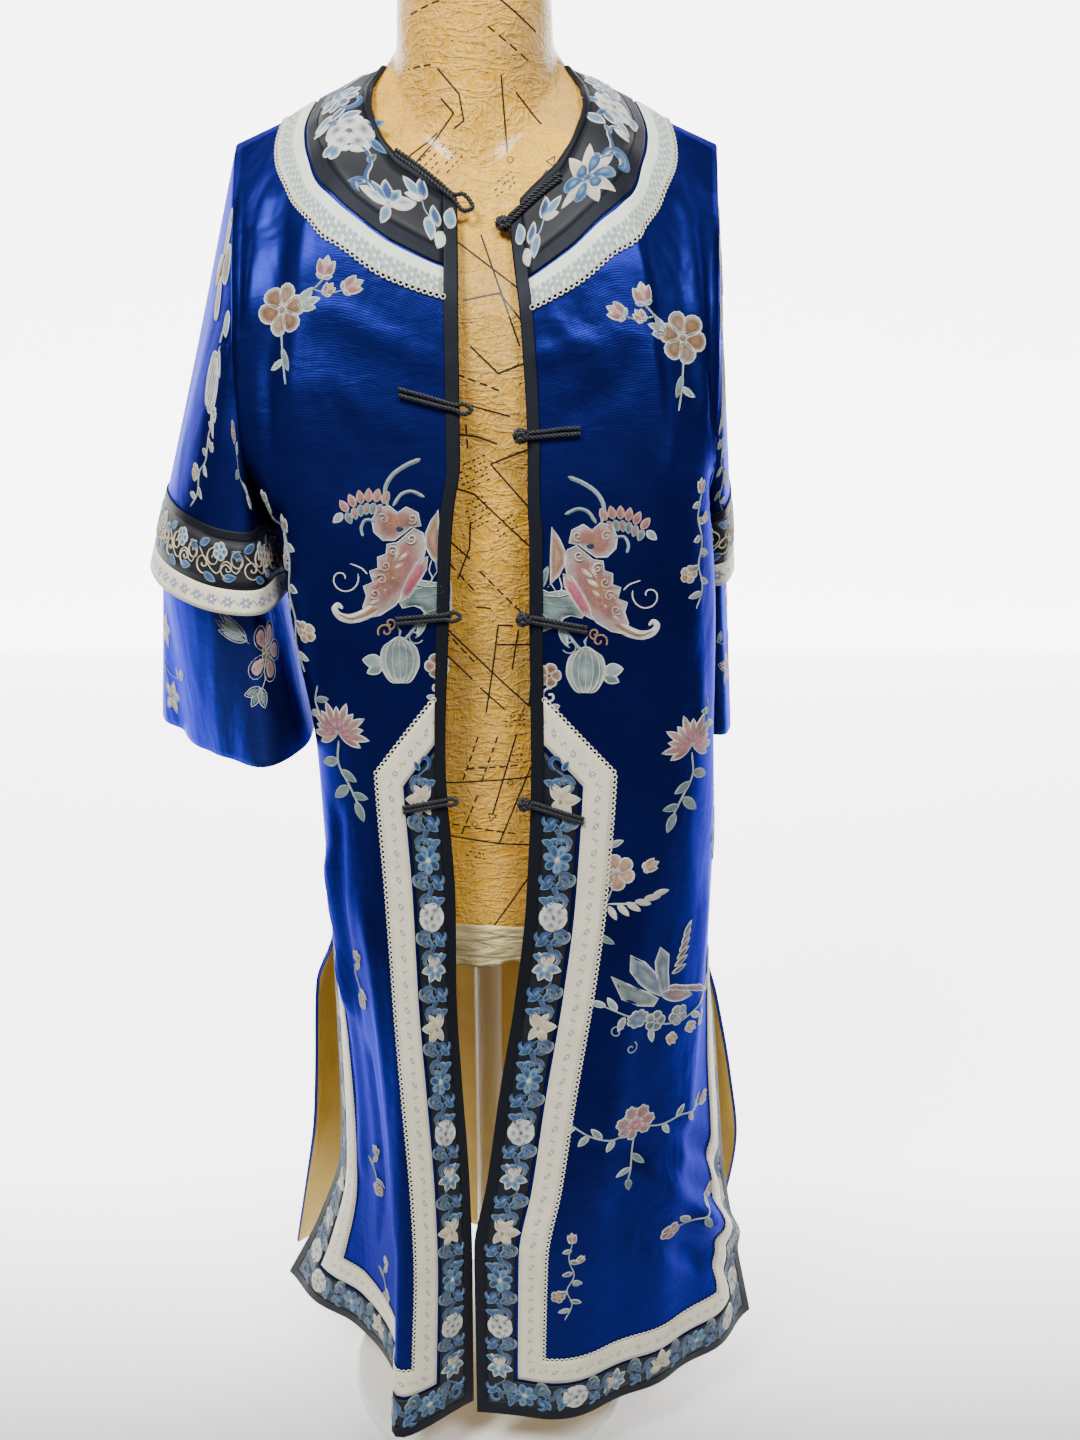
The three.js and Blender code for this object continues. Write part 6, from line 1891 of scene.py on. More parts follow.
def half_ground(half, base=LAY):
    """Lays motif points on a half: millimetres are measured on the plane that touches the cloth there."""
    def ground(x, y, points, lift):
        level = 1.0 if y >= 0 else -1.0
        centre = half.at(x, y, 1.0)
        out = half.outward(x, y)
        beside = half.at(x + 1, y, 1.0) - half.at(x - 1, y, 1.0)
        low = unit(np.array([0, 0, -1.0]) - out * out[2] * -1.0)
        away = beside - out * (beside @ out)
        away = unit(away - low * (away @ low))
        places = np.array([x, y], float) + points * (1.0, level)
        for _ in range(6):
            here = half.at(places[:, 0], places[:, 1], 1.0) - centre
            miss = points - np.stack([here @ away, here @ low], axis=1)
            du = half.at(places[:, 0] + 1, places[:, 1], 1.0) - centre - here
            dv = half.at(places[:, 0], places[:, 1] + 1, 1.0) - centre - here
            a, b, c, d = du @ away, dv @ away, du @ low, dv @ low
            det = a * d - b * c
            det = np.where(np.abs(det) < 0.25, np.where(det < 0, -0.25, 0.25), det)
            step = np.stack([(d * miss[:, 0] - b * miss[:, 1]) / det,
                             (a * miss[:, 1] - c * miss[:, 0]) / det], axis=1)
            places = places + np.clip(step, -8, 8)
        return half.at(places[:, 0], places[:, 1], base + lift)
    return ground


def finish_needle(needle, name, turned):
    """Makes the mesh of everything a needle has laid down."""
    points = np.concatenate(needle.places)
    faces = needle.faces if not turned else [face[::-1] for face in needle.faces]
    return make_object(name, points, faces, np.concatenate(needle.uv) * MM, (MATERIALS["thread"],),
                       colours=np.concatenate(needle.colours))


def build_embroidery(scene):
    """Flowers, butterflies, melons and sprays on the fronts and the back."""
    for side, half in HALVES.items():
        ground = half_ground(half)
        for part in ("front", "back"):
            needle = Needle()
            if part == "front":
                for motif, own, x, y, turn, size in FRONT_MOTIFS:
                    if own == side:
                        motif(needle)
                        needle.settle(ground, x, y, turn, size)
            else:
                for motif, x, y, turn, size in BACK_MOTIFS:
                    motif(needle)
                    needle.settle(ground, x, y, turn, size)
            made = finish_needle(needle, f"{part}_embroidery_{side}", (side == "left") ^ (part == "back"))
            keep(made, [], "blue_silk")
        tier = SLEEVES[side]
        girth = float(np.linalg.norm(np.diff(tier.end, axis=0), axis=1).sum())
        root_girth = float(np.linalg.norm(np.diff(tier.root, axis=0), axis=1).sum())
        lower = LowerTier(side, tier)

        def upper_ground(x, y, points, lift):
            share = np.clip(y - points[:, 1] / np.interp(x, tier.shares, tier.length), 0, 1)
            local = girth * (1 - share) + root_girth * share
            return tier.at_share((x + points[:, 0] / local) % 1.0, share, LAY + lift)

        def lower_ground(x, y, points, lift):
            return lower.at((x + points[:, 0] / girth) % 1.0, y + points[:, 1] / lower.tall,
                            LAY - 0.5 + lift)

        for name, table, cloth in (("sleeve", SLEEVE_MOTIFS, upper_ground),
                                   ("undersleeve", TIER_MOTIFS, lower_ground)):
            needle = Needle()
            for motif, x, y, turn, size in table[side]:
                motif(needle)
                needle.settle(cloth, x, y, turn, size)
            made = finish_needle(needle, f"{name}_embroidery_{side}", side == "right")
            keep(made, [], "blue_silk")


# ---- the embroidered bands ----
def band_flower(needle, kind):
    """One flower of a band: cream orchid, cream plum flower, blue peony or blue lily."""
    if kind == 0:
        for turn, size in ((-150, 15), (-95, 17), (-35, 16), (30, 14), (150, 17)):
            needle.patch(turned_by(leaf_shape(size, size * 0.56, 11, 0.75), 0, 0, turn), "cream", "white",
                         0.9, grain=turn)
        needle.patch(turned_by(petal_shape(6, 5, 10), -3, 0), "gold", "white", 1.3)
    elif kind == 2:
        needle.blossom(0, 0, 12.5, 5, "white", "white", "slate", 10, 1.05)
    elif kind == 1:
        for k in range(7):
            needle.patch(turned_by(petal_shape(12.5, 8, 12), 0, 0, 51.4 * k), "blue" if k % 2 else "sky",
                         "sky", heart="deep", grain=51.4 * k)
        needle.patch(turned_by(petal_shape(7, 6, 10), -3.5, 0), "cream", "white", 1.3)
    else:
        for k in range(4):
            needle.patch(turned_by(leaf_shape(15 - k, 8), -5, 2, -80 + 50 * k), "sky", "white", heart="blue")
        needle.patch(turned_by(leaf_shape(15, 6), -5, 2, 150), "cream", "white")
        needle.patch(turned_by(leaf_shape(15, 6), -5, 2, -150), "cream", "white")
        needle.patch(turned_by(petal_shape(7, 6, 10), -7, 2), "white", "white", 1.2)


def hook(needle, x, y, turn, size, hand, fill, rim):
    """A thick scroll leaf that curls over at its end."""
    angle = np.linspace(0, 1.35 * math.pi, 15)
    far = size * (0.5 - 0.22 * np.linspace(0, 1, 15))
    line = np.stack([far * np.sin(angle), hand * (size * 0.5 - far * np.cos(angle))], axis=1)
    wide = size * 0.17 * np.sin(np.linspace(0.12, 0.98, 15) * math.pi) ** 0.6
    side = unit(np.gradient(line, axis=0))[:, ::-1] * (-1, 1) * wide[:, None]
    shape = turned_by(np.concatenate([line + side, (line - side)[::-1]]), x, y, turn)
    n = len(line)
    middle = turned_by(line, x, y, turn)
    points = np.concatenate([shape[:n], middle, shape[n:][::-1]])
    lift = np.concatenate([np.full(n, 0.05), np.full(n, 0.9), np.full(n, 0.05)])
    faces = []
    for i in range(n - 1):
        for k in (0, n):
            face = (k + i, k + n + i, k + n + i + 1, k + i + 1)
            faces.append(face)
    first = points[faces[0][1]] - points[faces[0][0]]
    second = points[faces[0][2]] - points[faces[0][1]]
    if first[0] * second[1] - first[1] * second[0] < 0:
        faces = [face[::-1] for face in faces]
    colours = np.concatenate([np.tile(THREAD[rim], (n, 1)), np.tile(THREAD[fill], (n, 1)),
                              np.tile(THREAD[fill], (n, 1))])
    needle.add(points, lift, turned_by(points, turn=turn), faces, colours)


def band_unit(needle, kind, gold=False):
    """A flower with scrolling leaves before and after it, to fill one pitch of a band; it runs along +x."""
    if gold:
        for x, hand in ((-14, 1), (-4, -1), (10, 1), (20, -1)):
            needle.cord(turned_by(spiral(1.5, 8, 24, hand), x, 3 * hand, 70 * hand), 1.2, "cream", high=1.2)
        needle.cord([(-20, -8), (-10, 2), (0, 8), (8, 0), (18, 6), (24, -4)], 1.2, "cream", smooth=4)
        needle.blossom(2, -9, 7, 5, "sky", "white", "blue")
        for x, y, turn in ((-12, 10, 20), (6, 11, -10), (14, -10, 30), (-20, -10, -30)):
            needle.leaf(x, y, turn, 12, 5.5, "blue", "sky")
        return
    needle.cord([(-26, 6), (-18, -4), (-9, 4), (0, 0), (9, -5), (18, 4), (26, -5)], 1.7, "slate", smooth=4)
    for x, y, turn, size, hand, tone in ((-14, 3, 200, 15, 1, 0), (-13, -3, 160, 13, -1, 1),
                                         (13, -4, 20, 15, -1, 0),
                                         (14, 4, -20, 13, 1, 1), (-25, 5, 100, 12, 1, 1),
                                         (25, -5, -80, 12, -1, 0)):
        hook(needle, x, y, turn, size, hand, "blue" if tone else "slate", "sky" if tone else "mist")
    leaves = ((-20, -2, -60, 12), (-12, 4, 110, 11), (12, -4, -75, 11), (20, 3, 60, 12), (24, 2, -30, 9),
              (-25, -1, 215, 9))
    for k, (x, y, turn, size) in enumerate(leaves):
        needle.leaf(x, y, turn, size, size * 0.5, "blue", "sky" if k % 2 else "slate")
    band_flower(needle, kind % 4)


def collar_layout(needle, side):
    """What stands round the collar, as (shape, degrees, mark, turn, size) from the front edge."""
    def tulip():
        for turn, size, fill in ((-160, 22, "white"), (-20, 21, "white"), (-128, 17, "sky"),
                                 (-55, 17, "sky"), (-92, 19, "blue")):
            needle.patch(turned_by(leaf_shape(size, size * 0.48, 11, 0.8), 0, 6, turn), fill, "white", 1.0,
                         grain=turn, heart="blue" if fill != "white" else "sky")
        needle.patch(turned_by(petal_shape(8, 7, 12), -4, 6), "white", "white", 1.4, heart="slate")
        needle.leaf(0, 8, 60, 16, 6, "sky", "white")

    def scroll():
        hook(needle, -22, 4, -30, 22, 1, "blue", "white")
        needle.cord([(-24, 2), (-14, 8), (-4, 4), (6, -6), (16, -8), (24, -2), (28, 8)], 4.2, "blue",
                    smooth=5)
        needle.cord([(-24, 0), (-14, 6), (-4, 2), (6, -8), (16, -10), (25, -4), (29, 7)], 1.6, "white",
                    smooth=5)
        needle.leaf(-10, 8, 80, 15, 6, "blue", "sky")
        needle.leaf(8, -4, -70, 12, 5, "slate", "mist")

    def plum():
        needle.blossom(0, 0, 17, 5, "white", "white", "slate", 20, 1.0)
        for turn in (70, 110):
            needle.patch(turned_by(petal_shape(12, 9, 12), 0, 12, turn), "sky", "white", 1.0, heart="blue")
        for turn in (-10, 200, 250):
            needle.leaf(12 * math.cos(math.radians(turn)), 12 * math.sin(math.radians(turn)), turn, 15, 6,
                        "blue", "sky")

    def leaves():
        for x, y, turn, size, fill in ((-8, 0, -100, 18, "sky"), (0, 4, -80, 16, "blue"),
                                       (6, 0, 95, 17, "sky"), (-4, 6, 75, 15, "white")):
            needle.leaf(x, y, turn, size, size * 0.46, fill, "white")

    def bud():
        for turn, size, fill in ((-120, 16, "blue"), (-70, 17, "sky"), (-20, 12, "white")):
            needle.patch(turned_by(leaf_shape(size, size * 0.5, 11, 0.8), 0, 4, turn), fill, "white",
                         grain=turn)
        needle.stem([(0, 4), (2, 12), (0, 20)], 1.3, "sky")

    def rose():
        for k in range(8):
            needle.patch(turned_by(petal_shape(15, 9, 12), 0, 0, 45 * k), "sky" if k % 2 else "blue",
                         "white", heart="deep")
        needle.patch(turned_by(petal_shape(9, 8, 12), -4.5, 0), "sky", "white", 1.4)
        hook(needle, 12, -4, -20, 18, 1, "slate", "mist")
        hook(needle, -12, 4, 160, 18, 1, "blue", "sky")

    def orchid():
        for turn in (-100, -62, -20, 62, 95, 172):
            needle.patch(turned_by(leaf_shape(25, 9, 11, 0.8), 0, 0, turn), "cream", "white", 0.8,
                         grain=turn)
        for turn, size in ((-150, 19), (-40, 19), (15, 20), (140, 18), (70, 15), (-95, 14)):
            needle.patch(turned_by(petal_shape(size, 13, 14), 0, 0, turn), "blue", "sky", 1.3, heart="sky",
                         grain=turn)
        needle.patch(turned_by(petal_shape(8, 7, 12), -4, 0), "slate", "sky", 1.7)
        hook(needle, 22, -12, -30, 18, 1, "blue", "sky")

    rows = {
        "right": ((leaves, 8, 1.55, 0, 1.0), (bud, 17.5, 1.22, 30, 1.0), (tulip, 26, 1.62, 10, 1.0),
                  (scroll, 36, 1.5, -60, 0.8), (plum, 52, 1.42, -40, 1.0), (leaves, 66, 1.6, -60, 0.9),
                  (rose, 80, 1.5, -60, 0.95), (scroll, 98, 1.5, -98, 0.8), (plum, 116, 1.5, -116, 0.8),
                  (rose, 138, 1.5, -138, 0.8), (tulip, 158, 1.5, -158, 0.75), (leaves, 173, 1.5, -171, 0.8)),
        "left": ((leaves, 8, 1.66, 10, 0.95), (bud, 17.5, 1.45, 40, 1.0), (orchid, 35, 1.55, -20, 0.98),
                 (scroll, 52, 1.6, -60, 0.7), (leaves, 62, 1.45, -50, 0.9), (plum, 74, 1.5, -70, 0.85),
                 (rose, 92, 1.5, -90, 0.85), (scroll, 111, 1.5, -112, 0.8), (rose, 132, 1.5, -134, 0.8),
                 (plum, 154, 1.5, -158, 0.75), (leaves, 172, 1.5, -170, 0.8)),
    }
    return rows[side]


BAND_PITCH = 47


def band_run(needle, ground, line, start=0):
    """Units of a band along the middle line of one of its runs."""
    (x0, y0), (x1, y1) = line
    length = math.hypot(x1 - x0, y1 - y0)
    count = max(1, round(length / BAND_PITCH))
    turn = math.degrees(math.atan2(y1 - y0, x1 - x0))
    for k in range(count):
        share = (k + 0.5) / count
        band_unit(needle, start + k)
        needle.settle(ground, x0 + (x1 - x0) * share, y0 + (y1 - y0) * share, turn,
                      min(1.0, length / count / 50))


def build_band_embroidery(scene):
    """Flowers and scrolls on the black bands of the fronts, back, collar and sleeves."""
    base = scene.robe_sizes.trim_lift / MM - 0.1
    for side, half in HALVES.items():
        ground = flat_ground(half, base)
        outer, inner = front_lines("band")
        middle = [((a[0] + b[0]) / 2, (a[1] + b[1]) / 2) for a, b in zip(outer, inner)]
        needle = Needle()
        for k, line in enumerate(zip(middle[:-1], middle[1:])):
            band_run(needle, ground, line, k)
        made = finish_needle(needle, "front_band_embroidery_" + side, side == "left")
        keep(made, [], "embroidered_band")
        outer, inner = back_lines("band")
        middle = [((a[0] + b[0]) / 2, (a[1] + b[1]) / 2) for a, b in zip(outer, inner)]
        needle = Needle()
        for k, line in enumerate(zip(middle[:-1], middle[1:])):
            band_run(needle, ground, line, k)
        made = finish_needle(needle, "back_band_embroidery_" + side, side == "left")
        keep(made, [], "embroidered_band")
        needle = Needle()
        for shape, degrees, mark, turn, size in collar_layout(needle, side):
            place = collar_place(math.radians(degrees), mark)
            shape()
            needle.settle(ground, place[0], place[1], turn, size)
        made = finish_needle(needle, "collar_embroidery_" + side, side == "left")
        keep(made, [], "embroidered_band")
        tier = SLEEVES[side]
        girth = float(np.linalg.norm(np.diff(tier.end, axis=0), axis=1).sum())
        needle = Needle()
        count = round(girth / 44)
        for k in range(count):
            band_unit(needle, k, gold=True)
            needle.settle(sleeve_ground(tier, girth, base), (k + 0.5) / count,
                          SLEEVE_RIBBON + SLEEVE_BAND / 2, 0, 0.95)
        made = finish_needle(needle, "sleeve_band_embroidery_" + side, side == "right")
        keep(made, [], "embroidered_band")


def flat_ground(half, base):
    """Lays motif points straight on the cut."""
    def ground(x, y, points, lift):
        return half.at(x + points[:, 0], y + points[:, 1], base + lift)
    return ground


def sleeve_ground(tier, girth, base):
    """Lays motif points on a sleeve: x runs round it and y down towards its edge."""
    def ground(x, y, points, lift):
        return tier.at((x + points[:, 0] / girth) % 1.0, y - points[:, 1], base + lift)
    return ground


# ---- the form and its stand ----
TORSO = [(893, 150, -110, 84), (840, 130, -108, 82), (720, 116, -100, 74), (610, 121, -98, 79),
         (524, 128, -99, 85), (495, 127, -98, 84)]
NECK, NECK_TOP, NECK_BASE, FORM_SEAT, FORM_EASE = 56, 1240, 60, 1.3, 7
TUCK, TUCK_WIDTH = 4.5, 45          # how far the form's shoulder ends are drawn in under the sleeves
RIPPLE = 0.35                       # height of the papering's waves
FOOT_TOP, FOOT_TALL = 524, 36
FOOT_WIDE, FOOT_FRONT, FOOT_BACK = 127.5, -98.5, 84.5


def form_rings(count=73):
    """Rings of the form from its neck down, each from the right front round the back to the left front."""
    half_turn = np.linspace(0.1, math.pi, count)
    angles = np.concatenate([half_turn, 2 * math.pi - half_turn[-2::-1]])
    sine, cosine = np.sin(angles), np.cos(angles)

    def ring(radius, height):
        return np.stack([-radius * sine, -radius * cosine, np.broadcast_to(height, angles.shape)], axis=1)

    foot = 1130 - 38 * cosine + 36 * np.sin(angles / 2) ** 2 + 20 * sine**2
    rings = [ring(NECK - 8, NECK_TOP), ring(NECK - 1, NECK_TOP - 6), ring(NECK, NECK_TOP - 40),
             ring(NECK_BASE, foot)]
    ends = [(x, YOKE_FRONT) for x in np.linspace(0, SHOULDER, 9)]
    ends += [(SHOULDER, y) for y in np.linspace(YOKE_FRONT, 0, 7)[1:]]
    ends += [(SHOULDER, -y) for y in np.linspace(0, YOKE_BACK, 7)[1:]]
    ends += [(x, -YOKE_BACK) for x in np.linspace(SHOULDER, 0, 9)[1:]]
    ends = np.array(ends, float)
    at = np.linspace(0, len(ends) - 1, count)
    ends = np.stack([np.interp(at, np.arange(len(ends)), ends[:, k]) for k in (0, 1)], axis=1)
    away = ends - np.array([0, NECK_DOWN])
    far = np.linalg.norm(away, axis=1)
    reach = collar_reach(away[:, 1] / far)
    for share in (0.0, 44 / 69, 1.0, None):
        radius = far if share is None else NECK_RADIUS + share * (reach - NECK_RADIUS)
        places = np.array([0, NECK_DOWN]) + away / far[:, None] * radius[:, None]
        ease = FORM_SEAT + FORM_EASE * np.sqrt(np.minimum(np.abs(places[:, 1]) / YOKE_BACK, 1)) + 0.3
        right, left = (HALVES[side].at(places[:, 0], places[:, 1], -ease) for side in ("right", "left"))
        if share is None:
            for ring_half, hand in ((right, 1), (left, -1)):
                ring_half[:, 0] += hand * TUCK * swell(ring_half[:, 1] / TUCK_WIDTH)
        rings.append(np.concatenate([right, left[-2::-1]]))
    for z, wide, front, back in TORSO:
        middle, depth = (front + back) / 2, (back - front) / 2
        rings.append(np.stack([-wide * sine, middle - depth * cosine, np.full_like(sine, z)], axis=1))
    return np.array(rings)


def build_form(scene):
    """The papered form with its neck, and the crumpled paper round its foot."""
    rings = form_rings()
    lines = np.transpose(rings, (1, 0, 2))
    fine = centripetal(lines, fine=7)
    neck = 7 * 3
    straight = lines[:, 3:, :]
    parts = [fine[:, :neck]]
    share = np.arange(7) / 7
    for k in range(straight.shape[1] - 1):
        a, b = straight[:, k, None], straight[:, k + 1, None]
        flat = a + (b - a) * share[None, :, None]
        curved = fine[:, neck + 7 * k:neck + 7 * (k + 1)]
        soft = 0.0 if k < 4 else 1.0
        parts.append(flat * (1 - soft) + curved * soft)
    parts.append(straight[:, -1:])
    skin = np.transpose(np.concatenate(parts, axis=1), (1, 0, 2))
    x, y, z = np.moveaxis(skin, 2, 0)
    ripple = np.sin(x * 0.11 + z * 0.07) * np.sin(z * 0.05 + y * 0.09)
    middle = skin.mean(axis=1, keepdims=True)
    skin = skin + unit((skin - middle) * (1, 1, 0)) * (-RIPPLE + RIPPLE * ripple)[..., None]
    rows, columns = skin.shape[:2]
    sewing = Sewing()
    uv = np.stack(np.meshgrid(np.linspace(0, 780, columns), np.linspace(0, 760, rows)), axis=2)
    sewing.grid(skin, uv, turned=True, closed=True)
    for row, turned in ((skin[0], True), (skin[-1], False)):
        cap = np.concatenate([row, row * 0.5 + row.mean(axis=0) * 0.5, row.mean(axis=0)[None]])
        faces = []
        for i in range(columns):
            k = (i + 1) % columns
            faces.append((i, k, columns + k, columns + i))
            faces.append((columns + i, columns + k, 2 * columns))
        if turned:
            faces = [face[::-1] for face in faces]
        sewing.add(cap, np.zeros((len(cap), 2)), faces)
    made = sewing.build("form", (MATERIALS["paper"],))
    weld(made)
    keep(made, ["form_body"], "varnished_paper")
    printed_marks(made)

    around = np.linspace(0, 2 * math.pi, 241)[:-1]
    heights = np.linspace(0, 1, 12)[:, None]
    frill = 3 * np.sin(7 * around) + 2 * np.sin(17 * around + 2)
    z = FOOT_TOP + 3 * np.sin(5 * around + 1) - heights * (FOOT_TALL + frill)
    crumple = 1.0 * np.sin(23 * around + 9 * heights) + 0.8 * np.sin(41 * around - 14 * heights + 1)
    grow = 1.4 + 0.55 * crumple * (0.4 + heights)
    middle, depth = (FOOT_FRONT + FOOT_BACK) / 2, (FOOT_BACK - FOOT_FRONT) / 2
    across = -(FOOT_WIDE + grow) * np.sin(around)
    points = np.stack(np.broadcast_arrays(across, middle - (depth + grow) * np.cos(around), z), axis=2)
    uv = np.stack(np.meshgrid(np.linspace(0, 720, 240), np.linspace(0, 38, 12)), axis=2)
    sewing = Sewing()
    sewing.grid(points, uv, turned=True, closed=True)
    made = sewing.build("foot_paper", (MATERIALS["wrap"],))
    thicken(made, 0.5, 1)
    keep(made, ["form_wrap"], "tissue_paper", flat=(0.72, 0.042), held="laid", rests_on=["form_body"])
    for name in ("stand_base", "stand_pole", "stand_flange"):
        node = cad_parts[name]
        node.data.materials.clear()
        node.data.materials.append(MATERIALS["steel"])


# printed marks of the papering, as corners (x, z) on the form's front; their width and the dashes are given
# below
PRINTED = (
    ((-8, 932), (26, 923)), ((-11, 911), (3, 909), (17, 904)), ((38, 900), (12, 890), (38, 860)),
    ((-13, 873), (0, 869), (39, 831)), ((-3, 849), (-4, 830), (-13, 807)), ((-17, 834), (-4, 822)),
    ((-27, 774), (39, 707)), ((-22, 748), (-4, 730)), ((2, 723), (20, 706)), ((0, 786), (11, 785)),
    ((16, 772), (11, 734), (6, 703)), ((16, 772), (27, 771)), ((15, 757), (40, 756)), ((31, 768), (26, 737)),
    ((41, 741), (39, 707)), ((29, 685), (10, 620)), ((40, 658), (15, 596)), ((-26, 646), (42, 650)),
    ((-23, 602), (11, 596), (39, 593)), ((37, 564), (4, 516)),
    ((-24, 1154), (-9, 1137), (-6, 1120), (-13, 1115)),
    ((-22, 1135), (-13, 1125), (-41, 1091)), ((-25, 1113), (-47, 1095)), ((30, 1055), (52, 1088)),
    ((-10, 1039), (43, 1000)), ((6, 1044), (33, 970)), ((-6, 1000), (19, 1005), (40, 980)),
    ((-1, 970), (18, 952), (40, 960)), ((-40, 1225), (-8, 1222)), ((14, 1200), (44, 1180)),
    ((20, 1150), (24, 1100)), ((30, 1140), (48, 1120)),
)
PRINTED_DASHES = (
    ((-5, 919), (-4, 899)), ((-20, 820), (0, 797)), ((2, 814), (34, 780)), ((-25, 769), (-1, 742)),
    ((0, 685), (-13, 647)), ((15, 685), (1, 645)), ((-1, 637), (-15, 602)), ((-10, 658), (31, 660)),
    ((-23, 612), (29, 603)), ((-51, 1157), (-27, 1157)), ((-20, 955), (20, 940)), ((-44, 1190), (-20, 1196)),
    ((10, 1180), (40, 1160)),
)
# rows of short grey strokes: left end, step along a row, step between rows, rows, strokes
PRINTED_ROWS = (
    ((-11, 888), (3.4, 1.5), (0.8, -4.2), 5, 6), ((-8, 860), (3.2, 1.6), (1.6, -4.0), 5, 5),
    ((14, 846), (3.0, 1.8), (1.6, -4.0), 3, 5), ((-44, 1225), (3.4, -0.4), (0.6, -4.6), 5, 7),
    ((8, 1232), (3.4, 0.0), (0.0, -4.6), 4, 6), ((-24, 1108), (-3.0, -3.2), (4.2, -2.6), 5, 5),
    ((20, 700), (3.4, 0.2), (0.2, -4.0), 3, 5), ((22, 668), (3.2, 0.2), (0.2, -4.0), 2, 4),
    ((-12, 590), (3.4, -0.8), (0.6, -4.0), 2, 5), ((14, 1078), (3.0, 2.0), (1.2, -3.8), 3, 5),
)
PRINTED_ARROWS = (((10, 620), (-19, -65)), ((54, 1092), (22, 33)), ((44, 706), (4, -30)))
PRINTED_RINGS = ((-4, 612), (26, 1095), (24, 646))
INK_WIDTH, INK_LIFT, INK_STEP, DASH_STEP = 1.25, 0.12, 4, 8
ROW_WIDTH, ARROW_WIDTH, RING_WIDTH = 1.0, 0.8, 0.6
ARROW_LENGTH, ARROW_HALF, RING_RADIUS = 6, 3.2, 2.2


def printed_marks(skin):
    """Thin marks just over the form's skin, found by looking at it from the front."""
    tree = BVHTree.FromObject(skin, bpy.context.evaluated_depsgraph_get())
    sewing = Sewing()

    def touch(x, z):
        hit, normal, _, _ = tree.ray_cast(Vector((x * MM, -0.5, z * MM)), Vector((0, 1, 0)))
        return (np.array(hit) / MM, np.array(normal)) if hit else None

    def stroke(start, end, width=INK_WIDTH):
        start, end = np.array(start, float), np.array(end, float)
        length = np.linalg.norm(end - start)
        side = np.array([end[1] - start[1], start[0] - end[0]]) / max(length, 1e-6) * width / 2
        count = max(2, int(length / INK_STEP) + 1)
        rows = []
        for t in np.linspace(0, 1, count):
            middle = start + (end - start) * t
            pair = [touch(*(middle + side * hand)) for hand in (-1, 1)]
            if None in pair:
                return
            rows.append([point + normal * INK_LIFT for point, normal in pair])
        rows = np.array(rows)
        sewing.grid(rows, np.zeros(rows.shape[:2] + (2,)), turned=True)

    for marks in PRINTED:
        for start, end in zip(marks[:-1], marks[1:]):
            stroke(start, end)
    for start, end in PRINTED_DASHES:
        start, end = np.array(start, float), np.array(end, float)
        count = max(2, int(np.linalg.norm(end - start) / DASH_STEP))
        for k in range(count):
            stroke(start + (end - start) * (k + 0.15) / count, start + (end - start) * (k + 0.8) / count)
    for corner, step, drop, rows, strokes in PRINTED_ROWS:
        for i in range(rows):
            for k in range(strokes):
                place = np.array(corner, float) + np.array(drop) * i + np.array(step) * k
                if (i * 7 + k * 5) % 6:
                    stroke(place, place + np.array(step) * (0.45 + 0.2 * ((i + k) % 2)), ROW_WIDTH)
    for tip, run in PRINTED_ARROWS:
        tip, run = np.array(tip, float), unit(np.array(run, float))
        side = np.array([-run[1], run[0]])
        corners = [tip + run * ARROW_LENGTH, tip + side * ARROW_HALF, tip - side * ARROW_HALF]
        for a, b in zip(corners, corners[1:] + corners[:1]):
            stroke(a, b, ARROW_WIDTH)
    for x, z in PRINTED_RINGS:
        turns = np.linspace(0, 2 * math.pi, 9)
        ring = [(x + RING_RADIUS * math.cos(t), z + RING_RADIUS * math.sin(t)) for t in turns]
        for a, b in zip(ring[:-1], ring[1:]):
            stroke(a, b, RING_WIDTH)
    made = sewing.build("printed_marks", (MATERIALS["ink"],))
    keep(made, [], "varnished_paper")


FLOOR_HALF, FLOOR_FRONT, FLOOR_BACK, WALL_TALL = 4, -0.55, 3, 4
LIT_HEIGHT, ROOM_LIGHT, ROOM_COLOUR = 0.7, 0.20, (0.93, 0.94, 0.96, 1.0)
CAMERA = {"place": (0.047, -1.009, 0.974), "down": 16.9, "lens": 31.25}
LIGHTS = (
    ("key_light", (-0.9, -1.4, 2.7), 0.8, 98.0),
    ("front_light", (0.8, -1.6, 2.6), 0.8, 60.0),
    ("back_light", (0.5, 1.9, 2.3), 1.6, 10.0),
)


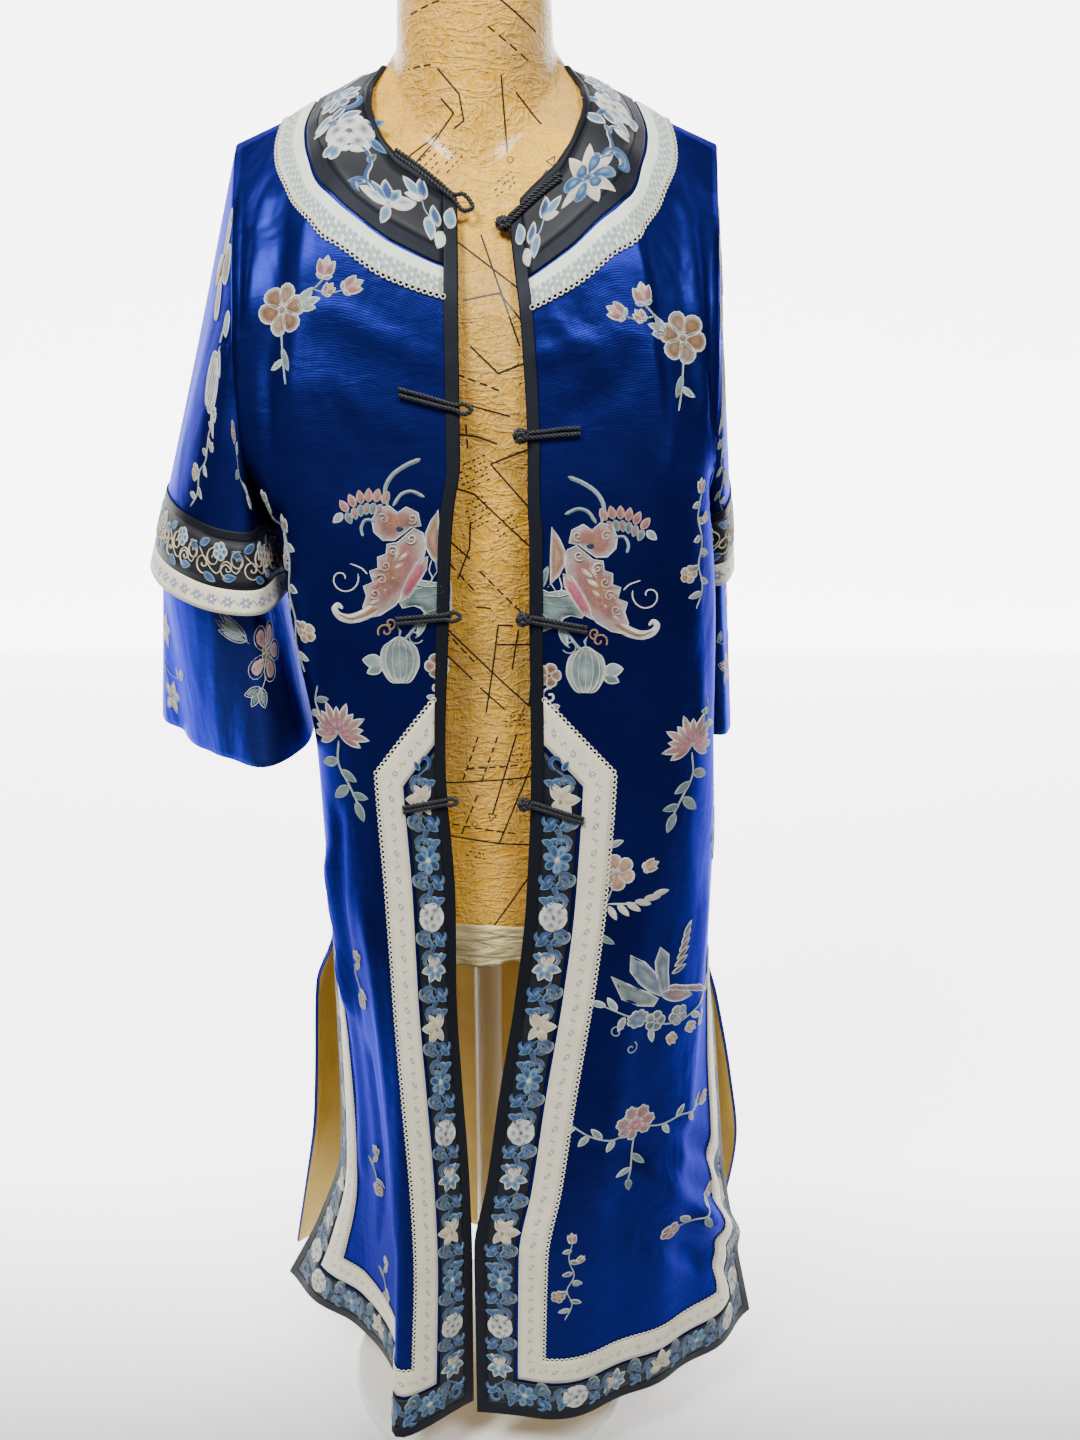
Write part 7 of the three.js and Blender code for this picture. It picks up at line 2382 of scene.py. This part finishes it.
def build_stage(scene):
    """Floor, soft lights, pale surroundings and the camera."""
    near = [(-FLOOR_HALF, FLOOR_FRONT, 0), (FLOOR_HALF, FLOOR_FRONT, 0)]
    far = [(FLOOR_HALF, FLOOR_BACK, 0), (-FLOOR_HALF, FLOOR_BACK, 0)]
    high = [(FLOOR_HALF, FLOOR_BACK, WALL_TALL), (-FLOOR_HALF, FLOOR_BACK, WALL_TALL)]
    for name, corners, face in (("floor", near + far, (0, 1, 2, 3)),
                                ("wall", far[::-1] + high, (3, 2, 1, 0))):
        mesh = bpy.data.meshes.new(name)
        mesh.from_pydata(corners, [], [face])
        made = bpy.data.objects.new(name, mesh)
        mesh.materials.append(MATERIALS[name])
        scene.collection.objects.link(made)
    target = Vector((0.0, 0.0, LIT_HEIGHT))
    for name, place, size, power in LIGHTS:
        light = bpy.data.lights.new(name, "AREA")
        light.shape, light.size, light.energy = "DISK", size, power
        lamp = bpy.data.objects.new(name, light)
        lamp.location = place
        lamp.rotation_euler = (target - Vector(place)).to_track_quat("-Z", "Y").to_euler()
        scene.collection.objects.link(lamp)
    world = bpy.data.worlds.new("pale_room")
    world.use_nodes = True
    world.node_tree.nodes["Background"].inputs[0].default_value = ROOM_COLOUR
    world.node_tree.nodes["Background"].inputs[1].default_value = ROOM_LIGHT
    scene.world = world
    lens = bpy.data.cameras.new("camera")
    lens.lens, lens.sensor_width, lens.sensor_fit = CAMERA["lens"], 36.0, "AUTO"
    lens.clip_start, lens.clip_end = 0.02, 60.0
    eye = bpy.data.objects.new("camera", lens)
    eye.location = CAMERA["place"]
    eye.rotation_euler = (math.radians(90 - CAMERA["down"]), 0, 0)
    scene.collection.objects.link(eye)
    scene.camera = eye


# ---- the add-on: one operator for each group of pieces ----
STEPS = (
    ("body", "Robe body", build_body),
    ("front_trims", "Front edging", build_front_trims),
    ("back_trims", "Back edging and lining", build_back_trims),
    ("collar", "Collar", build_collar),
    ("sleeves", "Sleeves", build_sleeves),
    ("ribbon_loops", "Ribbon loops", build_ribbon_loops),
    ("embroidery", "Embroidery of the body", build_embroidery),
    ("band_embroidery", "Embroidery of the bands", build_band_embroidery),
    ("frogs", "Frog closures", build_frogs),
    ("form", "Form and stand", build_form),
    ("stage", "Floor, lights and camera", build_stage),
)


def operator(step, label, build):
    """An operator class that makes one group of pieces."""
    def execute(self, context):
        if not MATERIALS:
            prepare_materials(context.scene)
        build(context.scene)
        return {"FINISHED"}

    name = "ROBE_OT_" + step
    return type(name, (bpy.types.Operator,), {
        "__doc__": build.__doc__, "bl_idname": "robe." + step, "bl_label": label, "execute": execute,
    })


OPERATORS = [operator(*step) for step in STEPS]


class ROBE_PT_panel(bpy.types.Panel):
    """Sizes, colours and steps of the robe."""

    bl_label = "Silk robe"
    bl_idname = "ROBE_PT_panel"
    bl_space_type = "VIEW_3D"
    bl_region_type = "UI"
    bl_category = "Robe"

    def draw(self, context):
        for group in (context.scene.robe_sizes, context.scene.robe_colours):
            box = self.layout.box()
            for name in group.bl_rna.properties.keys():
                if name not in ("name", "rna_type"):
                    box.prop(group, name)
        for kind in OPERATORS:
            self.layout.operator(kind.bl_idname)


CLASSES = [RobeSizes, RobeColours, *OPERATORS, ROBE_PT_panel]


def register():
    for kind in CLASSES:
        bpy.utils.register_class(kind)
    bpy.types.Scene.robe_sizes = bpy.props.PointerProperty(type=RobeSizes)
    bpy.types.Scene.robe_colours = bpy.props.PointerProperty(type=RobeColours)


def unregister():
    del bpy.types.Scene.robe_sizes
    del bpy.types.Scene.robe_colours
    for kind in reversed(CLASSES):
        bpy.utils.unregister_class(kind)


def main():
    register()
    for step, _, _ in STEPS:
        getattr(bpy.ops.robe, step)()


if __name__ == "__main__":
    main()
